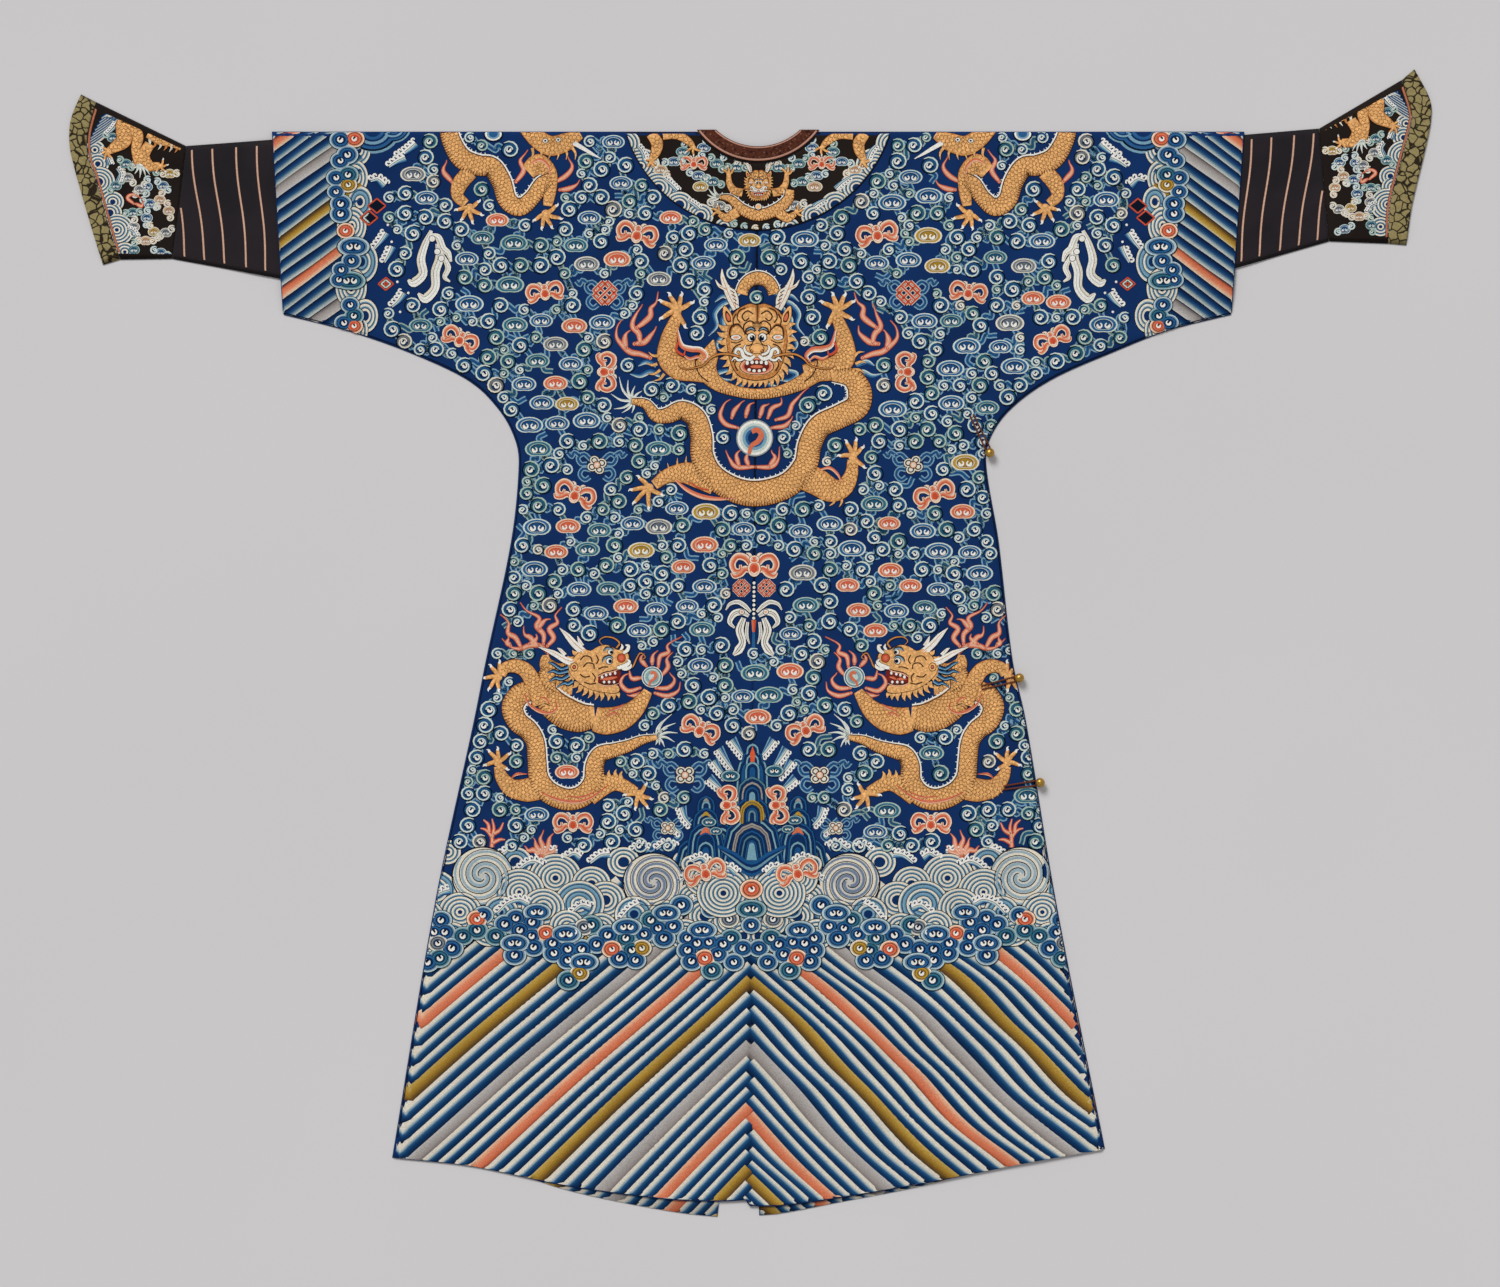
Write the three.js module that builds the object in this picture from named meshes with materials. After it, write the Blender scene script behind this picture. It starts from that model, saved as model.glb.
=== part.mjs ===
// A dragon robe laid flat with its back upwards: two back halves joined by a centre seam, the fronts
// folded under them at the shoulders, dark inner sleeves with horse-hoof cuffs, a round yoke, a
// neckband, and ball buttons held by cord loops along the wearer's right side.
// Millimetres. +Z is up, +Y runs towards the collar, and +X is the wearer's right.
// Places on the garment are given as u, the distance from the centre seam, and v, the distance
// down from the shoulder fold.
import * as THREE from "three";

// Driving sizes
const SHOULDER_Y = 674.9;
const SEAM_X_AT_SHOULDER = 10.6;
const SEAM_X_AT_HEM = -1.3;
const SEAM_LENGTH = 1354;
const CLOTH = 1.2;
const GAP = 0.3;
const LAYER = CLOTH + GAP;
const SLEEVE_REACH = 641.5;
const MOUTH_DEPTH = 241.6;
const SLIT_TOP = 1067;
const SLIT_WIDENING = 60;
const JUST_BELOW = 0.01;
const SEAM_HALF_GAP = 0.15;
const SLIT_OPENING = 1.2;

// Rolled edge where the back turns under to meet the front
const LIP = 4.5;
const FRONT_INSET = 6.2;
const FOLD_FADE = 40;
const EDGE_SAMPLES = { count: 90, crowding: 1.8, belowHem: 90, step: 0.5 };

// Neck, neckband and yoke are arcs about points above the shoulder fold.
const NECKBAND = { outerRadius: 99, outerCentre: -59.4, innerRadius: 80.5, innerCentre: -61.1 };
const BAND_THICKNESS = 1.9;
const BAND_RISE = { first: 8, second: 20 };
const BAND_ENDS = -2.6;
const FRONT_NECK = { outerWidth: 79, outerDepth: 100, innerWidth: 59, innerDepth: 80, halfAngle: 1.36 };
const YOKE = { radius: 183.2, centre: -52.5, thickness: 1, clearance: 0.15 };

// The side edge from the sleeve's lower corner, round the armpit and down to the hem
const SIDE = [
  { v: 241.6, left: 625, right: 627 },
  { v: 261, left: 547, right: 549 },
  { v: 288, left: 467, right: 479 },
  { v: 327, left: 382, right: 391 },
  { v: 367, left: 339, right: 336 },
  { v: 407, left: 317, right: 309 },
  { v: 440, left: 312, right: 305 },
  { v: 539, left: 321, right: 322 },
  { v: 697, left: 353, right: 342 },
  { v: 776, left: 368, right: 360 },
  { v: 1015, left: 417, right: 402 },
  { v: 1354, left: 471, right: 472 },
];

// How far down the hems reach, by distance from the centre seam
const HEM = [
  { u: 0, backLeft: 1410, backRight: 1418, frontLeft: 1432, frontRight: 1431 },
  { u: 40, backLeft: 1412, backRight: 1418, frontLeft: 1432, frontRight: 1428 },
  { u: 110, backLeft: 1409, backRight: 1409, frontLeft: 1424, frontRight: 1415 },
  { u: 240, backLeft: 1392, backRight: 1387, frontLeft: 1398, frontRight: 1390 },
  { u: 370, backLeft: 1366, backRight: 1362, frontLeft: 1360, frontRight: 1356 },
  { u: 472, backLeft: 1355, backRight: 1344, frontLeft: 1349, frontRight: 1338 },
];

// The front slit's two edges drift apart towards the hem.
const FRONT_SLIT = { left: 41, right: 14 };

// The outer front's curved closing edge, from the neck to the armpit
const CLOSING = [
  { v: 104, u: 30 },
  { v: 150, u: 96 },
  { v: 220, u: 150 },
  { v: 320, u: 222 },
  { v: 440, u: 297 },
];

// The inner front's free edge runs down beside the centre.
const UNDERLAP_EDGE = { top: 98, width: 34, slope: 0.02, rise: 26 };
const UNDERLAP_HEM = 1390;
const UNDERLAP_STEP = 4;
const SLEEVE_END_STEP = 1;

// Soft ridges in the back: centre u and v, direction in degrees from +X, half length, half width, height
const FOLDS = [
  { u: -470, v: 150, turn: 8, length: 120, width: 34, height: 1.6 },
  { u: 455, v: 165, turn: -6, length: 110, width: 36, height: 1.8 },
  { u: -345, v: 300, turn: 38, length: 95, width: 26, height: 2.4 },
  { u: 350, v: 292, turn: -40, length: 100, width: 28, height: 2.1 },
  { u: -215, v: 470, turn: 62, length: 130, width: 36, height: 1.7 },
  { u: 208, v: 452, turn: -58, length: 120, width: 34, height: 2.0 },
  { u: -120, v: 820, turn: 84, length: 190, width: 44, height: 1.5 },
  { u: 142, v: 900, turn: 97, length: 210, width: 42, height: 1.8 },
  { u: -290, v: 1140, turn: 99, length: 190, width: 40, height: 2.3 },
  { u: 275, v: 1190, turn: 80, length: 170, width: 38, height: 2.0 },
  { u: -130, v: 1290, turn: 93, length: 120, width: 36, height: 2.2 },
  { u: 390, v: 1300, turn: 76, length: 90, width: 34, height: 1.7 },
];

// Inner sleeve and cuff outlines, each listed from the top fold to the lower fold, in row coordinates
const SLEEVES = {
  left: {
    inner: [[-607, 666], [-600, 477]],
    joint: [[-744, 656], [-752, 590], [-763, 507]],
    trim: [[-863, 714], [-874, 672], [-873, 641], [-863, 612], [-841, 534], [-831, 506]],
    end: [[-883, 724], [-896, 692], [-898.3, 662], [-893, 632], [-873, 561], [-854, 499]],
  },
  right: {
    inner: [[620, 668], [611, 486]],
    joint: [[751, 679], [756, 620], [764, 530]],
    trim: [[860, 743], [873, 701], [871, 680], [862, 647], [845, 580], [842, 527]],
    end: [[877, 757.3], [897, 718], [898.5, 690], [890, 647], [874, 580], [866, 525]],
  },
};
const TUBE = { height: 3.0, wall: 1.1, crown: 0.7, edge: 0.04, fold: 5, across: 10 };
const MOUTH_LIFT = { rise: 3.6, from: 495, to: 572, until: 205, fade: 34 };
const SLEEVE_SLOPE = { from: 0.22, length: 0.4 };

// Over the body the right back lies on both fronts; along the sleeve it comes down to one.
const SLEEVE_DROP = { from: 330, to: 600, above: 440 };
const SEAM_SPREAD = 240;

// Ball buttons and the cord loops that hold them, by side place and the loop's free run
const BUTTONS = [
  { name: "underarm", v: 424, out: 4.6, runX: -24, runY: 50 },
  { name: "waist", v: 721, out: 4.2, runX: -50, runY: -13 },
  { name: "hip", v: 859, out: 4.8, runX: -48, runY: -7 },
];
const BALL_RADIUS = 6.2;
const NECK_RADIUS = 1.5;
const CORD_RADIUS = 1.3;
const LOOP_HALF_WIDTH = 3.2;
const LOOP_CLEARANCE = 0.3;
const LOOP_LIFT = 0.5;
const LOOP_EASE = 2;
const LOOP_TAPER = 0.9;

const COLOURS = {
  ground: 0x1d3866,
  yoke: 0x2b2119,
  neckband: 0x4a2c1e,
  inner: 0x2a2a30,
  gold: 0x8d7c4c,
  brass: 0xc39a3c,
  cord: 0x6b3a2a,
};

const lerp = (a, b, t) => a + (b - a) * t;
const clamp01 = (t) => Math.min(1, Math.max(0, t));
const smooth = (t) => {
  const c = clamp01(t);
  return c * c * (3 - 2 * c);
};

// A smooth curve through a table's rows, read at one key
function curve(rows, key, value, at) {
  const last = rows.length - 1;
  const slope = (i) => {
    const a = rows[Math.max(0, i - 1)];
    const b = rows[Math.min(last, i + 1)];
    return (b[value] - a[value]) / (b[key] - a[key]);
  };
  if (at <= rows[0][key]) return rows[0][value] + slope(0) * (at - rows[0][key]);
  if (at >= rows[last][key]) return rows[last][value] + slope(last) * (at - rows[last][key]);
  let i = 0;
  while (rows[i + 1][key] < at) i++;
  const step = rows[i + 1][key] - rows[i][key];
  const t = (at - rows[i][key]) / step;
  const a = rows[i][value];
  const b = rows[i + 1][value];
  const m = slope(i) * step;
  const n = slope(i + 1) * step;
  return (
    a * (2 * t ** 3 - 3 * t ** 2 + 1) + m * (t ** 3 - 2 * t ** 2 + t) +
    b * (3 * t ** 2 - 2 * t ** 3) + n * (t ** 3 - t ** 2)
  );
}

const seamX = (v) => lerp(SEAM_X_AT_SHOULDER, SEAM_X_AT_HEM, v / SEAM_LENGTH);
const sideName = (side) => (side < 0 ? "left" : "right");

// Distance of the garment's outer edge from the centre seam, on the side -1 (left) or 1 (right)
function outerEdge(side, v) {
  const name = sideName(side);
  if (v > MOUTH_DEPTH) return curve(SIDE, "v", name, v);
  return lerp(SLEEVE_REACH, SIDE[0][name], v / MOUTH_DEPTH);
}

// The side edge as sampled places, moved inwards by a distance
function edgeLine(side, inset) {
  const top = MOUTH_DEPTH;
  const bottom = SIDE[SIDE.length - 1].v + EDGE_SAMPLES.belowHem;
  return Array.from({ length: EDGE_SAMPLES.count + 1 }, (_, k) => {
    const v = lerp(top, bottom, (k / EDGE_SAMPLES.count) ** EDGE_SAMPLES.crowding) + JUST_BELOW;
    const lean = outerEdge(side, v + EDGE_SAMPLES.step) - outerEdge(side, v);
    const normal = new THREE.Vector2(-EDGE_SAMPLES.step, lean).normalize();
    return { u: outerEdge(side, v) + inset * normal.x, v: v + inset * normal.y };
  });
}
const EDGES = { left: edgeLine(-1, 0), right: edgeLine(1, 0) };
const INSET_EDGES = { left: edgeLine(-1, FRONT_INSET), right: edgeLine(1, FRONT_INSET) };

const arcWidth = (radius, centre, v) => Math.sqrt(Math.max(0, radius ** 2 - (v - centre) ** 2));

function ridge(u, v) {
  let z = 0;
  for (const fold of FOLDS) {
    const turn = THREE.MathUtils.degToRad(fold.turn);
    const dx = u - fold.u;
    const dy = fold.v - v;
    const along = (dx * Math.cos(turn) + dy * Math.sin(turn)) / fold.length;
    const across = (-dx * Math.sin(turn) + dy * Math.cos(turn)) / fold.width;
    z += fold.height * Math.exp(-along * along - across * across);
  }
  return z;
}

// Distance from a place to the sewn side edge
function fromSide(side, u, v) {
  const line = EDGES[sideName(side)];
  let nearest = Infinity;
  for (let k = 0; k < line.length - 1; k++) {
    const [a, b] = [line[k], line[k + 1]];
    const [du, dv] = [b.u - a.u, b.v - a.v];
    const t = clamp01(((u - a.u) * du + (v - a.v) * dv) / (du * du + dv * dv));
    nearest = Math.min(nearest, Math.hypot(u - a.u - t * du, v - a.v - t * dv));
  }
  return nearest;
}

// How far a place lies inside the folded and sewn edges
const insideBy = (side, u, v) => Math.max(0, Math.min(v, fromSide(side, u, v)));

// 1 where the inner front lies on the outer one, falling to 0 along the sleeve
const raised = (u, v) =>
  v > SLEEVE_DROP.above ? 1 : 1 - clamp01((u - SLEEVE_DROP.from) / (SLEEVE_DROP.to - SLEEVE_DROP.from));

// Lower face of the back panels; u is signed here
function backLow(u, v) {
  const side = u < 0 ? -1 : 1;
  const reach = Math.abs(u);
  const inside = insideBy(side, reach, v);
  const stack = LAYER + LAYER * (side > 0 ? raised(reach, v) : clamp01(1 - reach / SEAM_SPREAD));
  const band = smooth((reach - MOUTH_LIFT.from) / (MOUTH_LIFT.to - MOUTH_LIFT.from));
  const mouth = MOUTH_LIFT.rise * band * (1 - smooth((v - MOUTH_LIFT.until) / MOUTH_LIFT.fade));
  return (stack + mouth + ridge(u, v) * smooth(inside / FOLD_FADE)) * clamp01(inside / LIP);
}

// A closed wall between two height functions over a grid of places
function wall(name, colour, rows, cols, place) {
  const positions = [];
  const index = [];
  const grid = [];
  for (let i = 0; i <= rows; i++)
    for (let j = 0; j <= cols; j++) grid.push(place(i / rows, j / cols, i, j));
  for (const point of grid) positions.push(point.x, point.y, point.high);
  for (const point of grid) positions.push(point.x, point.y, point.low);
  const top = (i, j) => i * (cols + 1) + j;
  const under = (i, j) => top(i, j) + grid.length;
  const quad = (a, b, c, d) => index.push(a, b, c, a, c, d);
  for (let i = 0; i < rows; i++)
    for (let j = 0; j < cols; j++) {
      quad(top(i, j), top(i + 1, j), top(i + 1, j + 1), top(i, j + 1));
      quad(under(i, j), under(i, j + 1), under(i + 1, j + 1), under(i + 1, j));
    }
  for (let j = 0; j < cols; j++) {
    quad(top(0, j), top(0, j + 1), under(0, j + 1), under(0, j));
    quad(top(rows, j + 1), top(rows, j), under(rows, j), under(rows, j + 1));
  }
  for (let i = 0; i < rows; i++) {
    quad(top(i + 1, 0), top(i, 0), under(i, 0), under(i + 1, 0));
    quad(top(i, cols), top(i + 1, cols), under(i + 1, cols), under(i, cols));
  }
  return solid(name, colour, positions, index);
}

function solid(name, colour, positions, index, metal = 0, roughness = 0.85) {
  const geometry = new THREE.BufferGeometry();
  geometry.setAttribute("position", new THREE.Float32BufferAttribute(positions, 3));
  geometry.setIndex(index);
  turnOutwards(geometry);
  geometry.computeVertexNormals();
  return named(name, geometry, colour, metal, roughness);
}

// Reverses the faces if the enclosed volume comes out negative
function turnOutwards(geometry) {
  const p = geometry.getAttribute("position");
  const index = geometry.getIndex();
  const [a, b, c] = [new THREE.Vector3(), new THREE.Vector3(), new THREE.Vector3()];
  let volume = 0;
  for (let i = 0; i < index.count; i += 3) {
    a.fromBufferAttribute(p, index.getX(i));
    b.fromBufferAttribute(p, index.getX(i + 1));
    c.fromBufferAttribute(p, index.getX(i + 2));
    volume += a.dot(b.cross(c));
  }
  if (volume > 0) return;
  for (let i = 0; i < index.count; i += 3) {
    const second = index.getX(i + 1);
    index.setX(i + 1, index.getX(i + 2));
    index.setX(i + 2, second);
  }
}

function named(name, geometry, colour, metalness, roughness) {
  const material = new THREE.MeshStandardMaterial({ color: colour, metalness, roughness });
  const mesh = new THREE.Mesh(geometry, material);
  mesh.name = name;
  return mesh;
}

// Row depths: close together round the neck and the armpit, wide apart down the skirt
const ROW_DEPTHS = [
  0, 4.5, 14, 22, 29, 34, 37.2, 38.9, 39.65, 70, 105, 140, 175, 205, 222, 236, 241.6, 246, 252, 260,
  270, 282, 296, 312, 330, 350, 374, 396, 418, 440, 475, 530, 590, 660, 740, 820, 900, 980, 1060, 1130,
  1195, 1260, 1325, 1410,
];
const BACK_COLS = 14;
const HEM_FROM = 1010;

// A half of the back or front; `look` gives its edges, hem, faces and lip
function bodyPanel(name, side, rows, cols, look) {
  const last = rows[rows.length - 1];
  return wall(name, COLOURS.ground, rows.length - 1, cols, (_, __, i, j) => {
    const level = rows[i];
    const column = (v) => {
      const lean = outerEdge(side, v + 1) - outerEdge(side, v);
      const narrow = look.lip * (v < MOUTH_DEPTH ? 1 : Math.hypot(1, lean));
      if (j === cols) return look.outer(v);
      if (j === cols - 1) return look.outer(v) - narrow;
      return lerp(look.inner(v), look.outer(v) - 2.5 * narrow, j / (cols - 2));
    };
    const share = smooth((level - HEM_FROM) / (last - HEM_FROM));
    const v = level + (look.hem(column(level)) - last) * share;
    const u = column(v);
    return { x: seamX(v) + side * u, y: SHOULDER_Y - v, ...look.faces(u, v) };
  });
}

function backPanel(side) {
  const hemKey = side < 0 ? "backLeft" : "backRight";
  return bodyPanel("back_" + sideName(side), side, ROW_DEPTHS, BACK_COLS, {
    lip: LIP,
    inner: (v) => {
      const slit = SEAM_HALF_GAP + SLIT_OPENING * smooth((v - SLIT_TOP) / SLIT_WIDENING);
      return Math.max(arcWidth(NECKBAND.outerRadius, NECKBAND.outerCentre, v), slit);
    },
    outer: (v) => outerEdge(side, v),
    hem: (u) => curve(HEM, "u", hemKey, u),
    faces: (u, v) => {
      const low = backLow(side * u, v);
      return { low, high: low + CLOTH };
    },
  });
}

const neckWidth = (v, width, depth) => width * Math.sqrt(Math.max(0, 1 - (v / depth) ** 2));
const FRONT_ROWS = [
  6.2, 24, 44, 60, 74, 84, 91, 96, 99, 100, 104, 150, 190, 225, 234.8, 236, 239, 243, 248, 255, 264,
  276, 290, 306, 324, 344, 368, 400, 436, 440, 480, 540, 620, 720, 840, 960, 1067, 1160, 1250, 1340,
  1432,
];
const FRONT_HEM = FRONT_ROWS[FRONT_ROWS.length - 1];
const FRONT_LIP = 1;

// The fronts stay clear of the back's rolled lip along every folded or sewn edge.
function frontOuter(side, v) {
  const line = INSET_EDGES[sideName(side)];
  if (v <= line[0].v) return outerEdge(side, v) - SLEEVE_END_STEP;
  let k = 0;
  while (k < line.length - 2 && line[k + 1].v < v) k++;
  const share = (v - line[k].v) / (line[k + 1].v - line[k].v);
  return lerp(line[k].u, line[k + 1].u, share);
}

const frontSlit = (v, opening) => SEAM_HALF_GAP + opening * clamp01((v - SLIT_TOP) / (FRONT_HEM - SLIT_TOP));
const frontNeck = (v) => neckWidth(v, FRONT_NECK.outerWidth, FRONT_NECK.outerDepth);

function frontLeft() {
  return bodyPanel("front_left", -1, FRONT_ROWS, 3, {
    lip: FRONT_LIP,
    inner: (v) => Math.max(frontNeck(v), frontSlit(v, FRONT_SLIT.left)),
    outer: (v) => frontOuter(-1, v),
    hem: (u) => curve(HEM, "u", "frontLeft", u),
    faces: () => ({ low: 0, high: CLOTH }),
  });
}

function frontOverlap() {
  const rows = FRONT_ROWS.filter((v) => v >= CLOSING[0].v);
  const armpit = CLOSING[CLOSING.length - 1];
  return bodyPanel("front_overlap", 1, rows, 3, {
    lip: FRONT_LIP,
    inner: (v) => frontSlit(v, FRONT_SLIT.right),
    outer: (v) => {
      if (v < armpit.v) return Math.min(curve(CLOSING, "v", "u", v), frontOuter(1, v));
      return frontOuter(1, v);
    },
    hem: (u) => curve(HEM, "u", "frontRight", u),
    faces: () => ({ low: 0, high: CLOTH }),
  });
}

function underlap() {
  const rows = FRONT_ROWS.map((v) => Math.min(v, UNDERLAP_HEM));
  return bodyPanel("underlap", 1, rows, 8, {
    lip: FRONT_LIP,
    inner: (v) => {
      const free = UNDERLAP_EDGE.width * smooth(v / UNDERLAP_EDGE.top) + UNDERLAP_EDGE.slope * v;
      return Math.max(frontNeck(v), free);
    },
    outer: (v) => frontOuter(1, v + UNDERLAP_STEP) - 0.5 * UNDERLAP_STEP,
    hem: (u) => curve(HEM, "u", "backRight", u) - UNDERLAP_EDGE.rise,
    faces: (u, v) => {
      const low = LAYER * raised(u, v);
      return { low, high: low + CLOTH };
    },
  });
}

// A strip between two arcs about the neck, from one shoulder fold to the other
function neckArc(name, colour, rows, cols, inner, outer, faces) {
  return wall(name, colour, rows, cols, (s, t) => {
    const at = (arc) => {
      const lowest = arc.lowest ?? 0;
      const half = Math.acos((lowest - arc.centre) / arc.radius);
      const angle = lerp(-half, half, t);
      return [arc.radius * Math.sin(angle), arc.centre + arc.radius * Math.cos(angle)];
    };
    const [a, b] = [at(inner), at(outer)];
    const u = lerp(a[0], b[0], s);
    const v = lerp(a[1], b[1], s);
    return { x: seamX(v) + u, y: SHOULDER_Y - v, ...faces(u, Math.max(0, v)) };
  });
}

function yokeBack() {
  const inner = { radius: NECKBAND.outerRadius + 2.5, centre: NECKBAND.outerCentre, lowest: LIP + 0.5 };
  const outer = { radius: YOKE.radius, centre: YOKE.centre, lowest: LIP + 0.5 };
  return neckArc("yoke_back", COLOURS.yoke, 5, 26, inner, outer, (u, v) => {
    const low = backLow(u, v) + LAYER + YOKE.clearance;
    return { low, high: low + YOKE.thickness };
  });
}

function neckbandBack() {
  const inner = { radius: NECKBAND.innerRadius, centre: NECKBAND.innerCentre, lowest: BAND_ENDS };
  const outer = { radius: NECKBAND.outerRadius - GAP, centre: NECKBAND.outerCentre, lowest: BAND_ENDS };
  return neckArc("neckband_back", COLOURS.neckband, 2, 22, inner, outer, (u, v) => {
    const beside = LAYER * Math.min(1, 1 + u / SEAM_SPREAD);
    const low = LAYER * smooth(v / BAND_RISE.first) + beside * smooth(v / BAND_RISE.second);
    return { low, high: low + BAND_THICKNESS };
  });
}

function neckbandFront() {
  return wall("neckband_front", COLOURS.neckband, 2, 20, (s, t) => {
    const width = lerp(FRONT_NECK.innerWidth, FRONT_NECK.outerWidth - 2 * GAP, s);
    const depth = lerp(FRONT_NECK.innerDepth, FRONT_NECK.outerDepth - 2 * GAP, s);
    const angle = lerp(-1, 1, t) * FRONT_NECK.halfAngle;
    const v = depth * Math.cos(angle);
    return { x: seamX(v) + width * Math.sin(angle), y: SHOULDER_Y - v, low: 0, high: CLOTH };
  });
}

// A point at share w of the way along a polyline, by smooth interpolation
function along(points, w) {
  const path = new THREE.CatmullRomCurve3(points.map(([x, y]) => new THREE.Vector3(x, y, 0)));
  return path.getPointAt(w);
}

// A flattened cloth tube between two end lines: one ring of cloth at each station
function tube(name, colour, from, to, stations, base, crown) {
  const ring = ringShape();
  const width = along(from, 0).distanceTo(along(from, 1));
  const positions = [];
  for (const inset of [0, 1])
    for (let i = 0; i <= stations; i++)
      for (const p of ring) {
        const s = i / stations;
        const w = p.edge ? lerp(p.w, 0.5, (2 * inset * TUBE.fold) / width) : p.w;
        const spot = along(from, w).lerp(along(to, w), s);
        const bulge = crown * Math.sin(Math.PI * w) ** 2 * Math.sin(Math.PI * lerp(0.15, 0.85, s));
        const swell = p.up > 0 ? bulge : 0;
        const half = TUBE.height / 2 - inset * TUBE.wall;
        positions.push(spot.x, spot.y, base(s) + TUBE.height / 2 + p.up * half + swell);
      }
  return solid(name, colour, positions, tubeFaces(ring.length, stations));
}

// Places round the flattened section: w across the sleeve and up from -1 (under) to 1 (over)
function ringShape() {
  const across = (k) => lerp(TUBE.edge, 1 - TUBE.edge, k / TUBE.across);
  const ring = [];
  for (let k = 0; k <= TUBE.across; k++) ring.push({ w: across(k), up: 1 });
  ring.push({ w: 1, up: 0, edge: true });
  for (let k = TUBE.across; k >= 0; k--) ring.push({ w: across(k), up: -1 });
  ring.push({ w: 0, up: 0, edge: true });
  return ring;
}

function tubeFaces(count, stations) {
  const index = [];
  const at = (skin, i, k) => (skin * (stations + 1) + i) * count + (k % count);
  const quad = (a, b, c, d) => index.push(a, b, c, a, c, d);
  for (let k = 0; k < count; k++) {
    for (let i = 0; i < stations; i++) {
      quad(at(0, i, k), at(0, i + 1, k), at(0, i + 1, k + 1), at(0, i, k + 1));
      quad(at(1, i, k), at(1, i, k + 1), at(1, i + 1, k + 1), at(1, i + 1, k));
    }
    quad(at(0, 0, k), at(0, 0, k + 1), at(1, 0, k + 1), at(1, 0, k));
    quad(at(0, stations, k + 1), at(0, stations, k), at(1, stations, k), at(1, stations, k + 1));
  }
  return index;
}

// Moves an end line along the sleeve, towards the cuff for a positive distance
const shifted = (points, distance) => points.map(([x, y]) => [x + distance, y]);

function sleevePieces(side) {
  const name = sideName(side);
  const shape = SLEEVES[name];
  const seam = side * 1.15 * GAP;
  const flat = () => 0;
  const slope = (s) => LAYER * (1 - smooth((s - SLEEVE_SLOPE.from) / SLEEVE_SLOPE.length));
  return [
    tube("inner_sleeve_" + name, COLOURS.inner, shape.inner, shape.joint, 8, slope, TUBE.crown * 0.5),
    tube("cuff_" + name, COLOURS.yoke, shifted(shape.joint, seam), shape.trim, 6, flat, TUBE.crown),
    tube("cuff_border_" + name, COLOURS.gold, shifted(shape.trim, seam), shape.end, 3, flat, TUBE.crown * 0.4),
  ];
}

// Where a button stands: just outside the right side edge
function buttonPlace(button) {
  const u = outerEdge(1, button.v) + button.out;
  return new THREE.Vector2(seamX(button.v) + u, SHOULDER_Y - button.v);
}

const LOOP_Z = 2.8;
const BALL_Z = LOOP_Z + CORD_RADIUS + LOOP_CLEARANCE + BALL_RADIUS;
const KNOT = { radius: 2.8, height: 1.1 };

// A ball on a short cord neck that stands on a knot at the surface
function ballButton(button) {
  const foot = [
    [0, 0], [KNOT.radius, 0], [KNOT.radius, 0.6 * KNOT.height], [NECK_RADIUS, KNOT.height],
  ];
  const profile = foot.map(([r, z]) => new THREE.Vector2(r, z));
  for (let k = 0; k <= 8; k++) {
    const angle = lerp(-76, 90, k / 8) * THREE.MathUtils.DEG2RAD;
    const r = k === 8 ? 0 : BALL_RADIUS * Math.cos(angle);
    profile.push(new THREE.Vector2(r, BALL_Z + BALL_RADIUS * Math.sin(angle)));
  }
  const geometry = new THREE.LatheGeometry(profile, 14);
  geometry.rotateX(Math.PI / 2);
  const place = buttonPlace(button);
  geometry.translate(place.x, place.y, 0);
  return named("button_" + button.name, geometry, COLOURS.brass, 0.9, 0.35);
}

// A doubled cord from the back panel, out over the edge and round the button's neck
function cordLoop(button) {
  const place = buttonPlace(button);
  const run = new THREE.Vector2(button.runX, button.runY);
  const direction = run.clone().normalize();
  const sideways = new THREE.Vector2(-direction.y, direction.x);
  const at = (distance, offset) =>
    place.clone().addScaledVector(direction, distance).addScaledVector(sideways, offset);
  const cloth = (p) => {
    const v = SHOULDER_Y - p.y;
    const u = p.x - seamX(v);
    return u < outerEdge(1, v) ? backLow(u, v) + CLOTH + GAP + CORD_RADIUS + LOOP_LIFT : LOOP_Z;
  };
  const height = (p) =>
    Math.max(...[-LOOP_EASE, 0, LOOP_EASE].map((d) => cloth(p.clone().addScaledVector(direction, d))));
  const spots = [];
  const legs = 9;
  const bends = 6;
  const offset = (share) => LOOP_HALF_WIDTH - LOOP_TAPER * share;
  const distance = (share) => lerp(LOOP_HALF_WIDTH, run.length(), share);
  for (let k = legs; k >= 0; k--) spots.push(at(distance(k / legs), offset(k / legs)));
  for (let k = 1; k < bends; k++) {
    const angle = lerp(Math.PI / 2, -Math.PI / 2, k / bends);
    spots.push(at(-LOOP_HALF_WIDTH * Math.cos(angle), LOOP_HALF_WIDTH * Math.sin(angle)));
  }
  for (let k = 0; k <= legs; k++) spots.push(at(distance(k / legs), -offset(k / legs)));
  const path = new THREE.CatmullRomCurve3(spots.map((p) => new THREE.Vector3(p.x, p.y, height(p))));
  const section = new THREE.Shape();
  section.absarc(0, 0, CORD_RADIUS, 0, Math.PI * 2, true);
  const sweep = { steps: 44, curveSegments: 4, extrudePath: path, bevelEnabled: false };
  const geometry = new THREE.ExtrudeGeometry(section, sweep);
  return named("loop_" + button.name, geometry, COLOURS.cord, 0, 0.8);
}

const robe = new THREE.Group();
robe.add(
  backPanel(-1),
  backPanel(1),
  frontLeft(),
  frontOverlap(),
  underlap(),
  yokeBack(),
  neckbandBack(),
  neckbandFront(),
  ...sleevePieces(-1),
  ...sleevePieces(1),
  ...BUTTONS.map(ballButton),
  ...BUTTONS.map(cordLoop),
);

export default robe;
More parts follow.
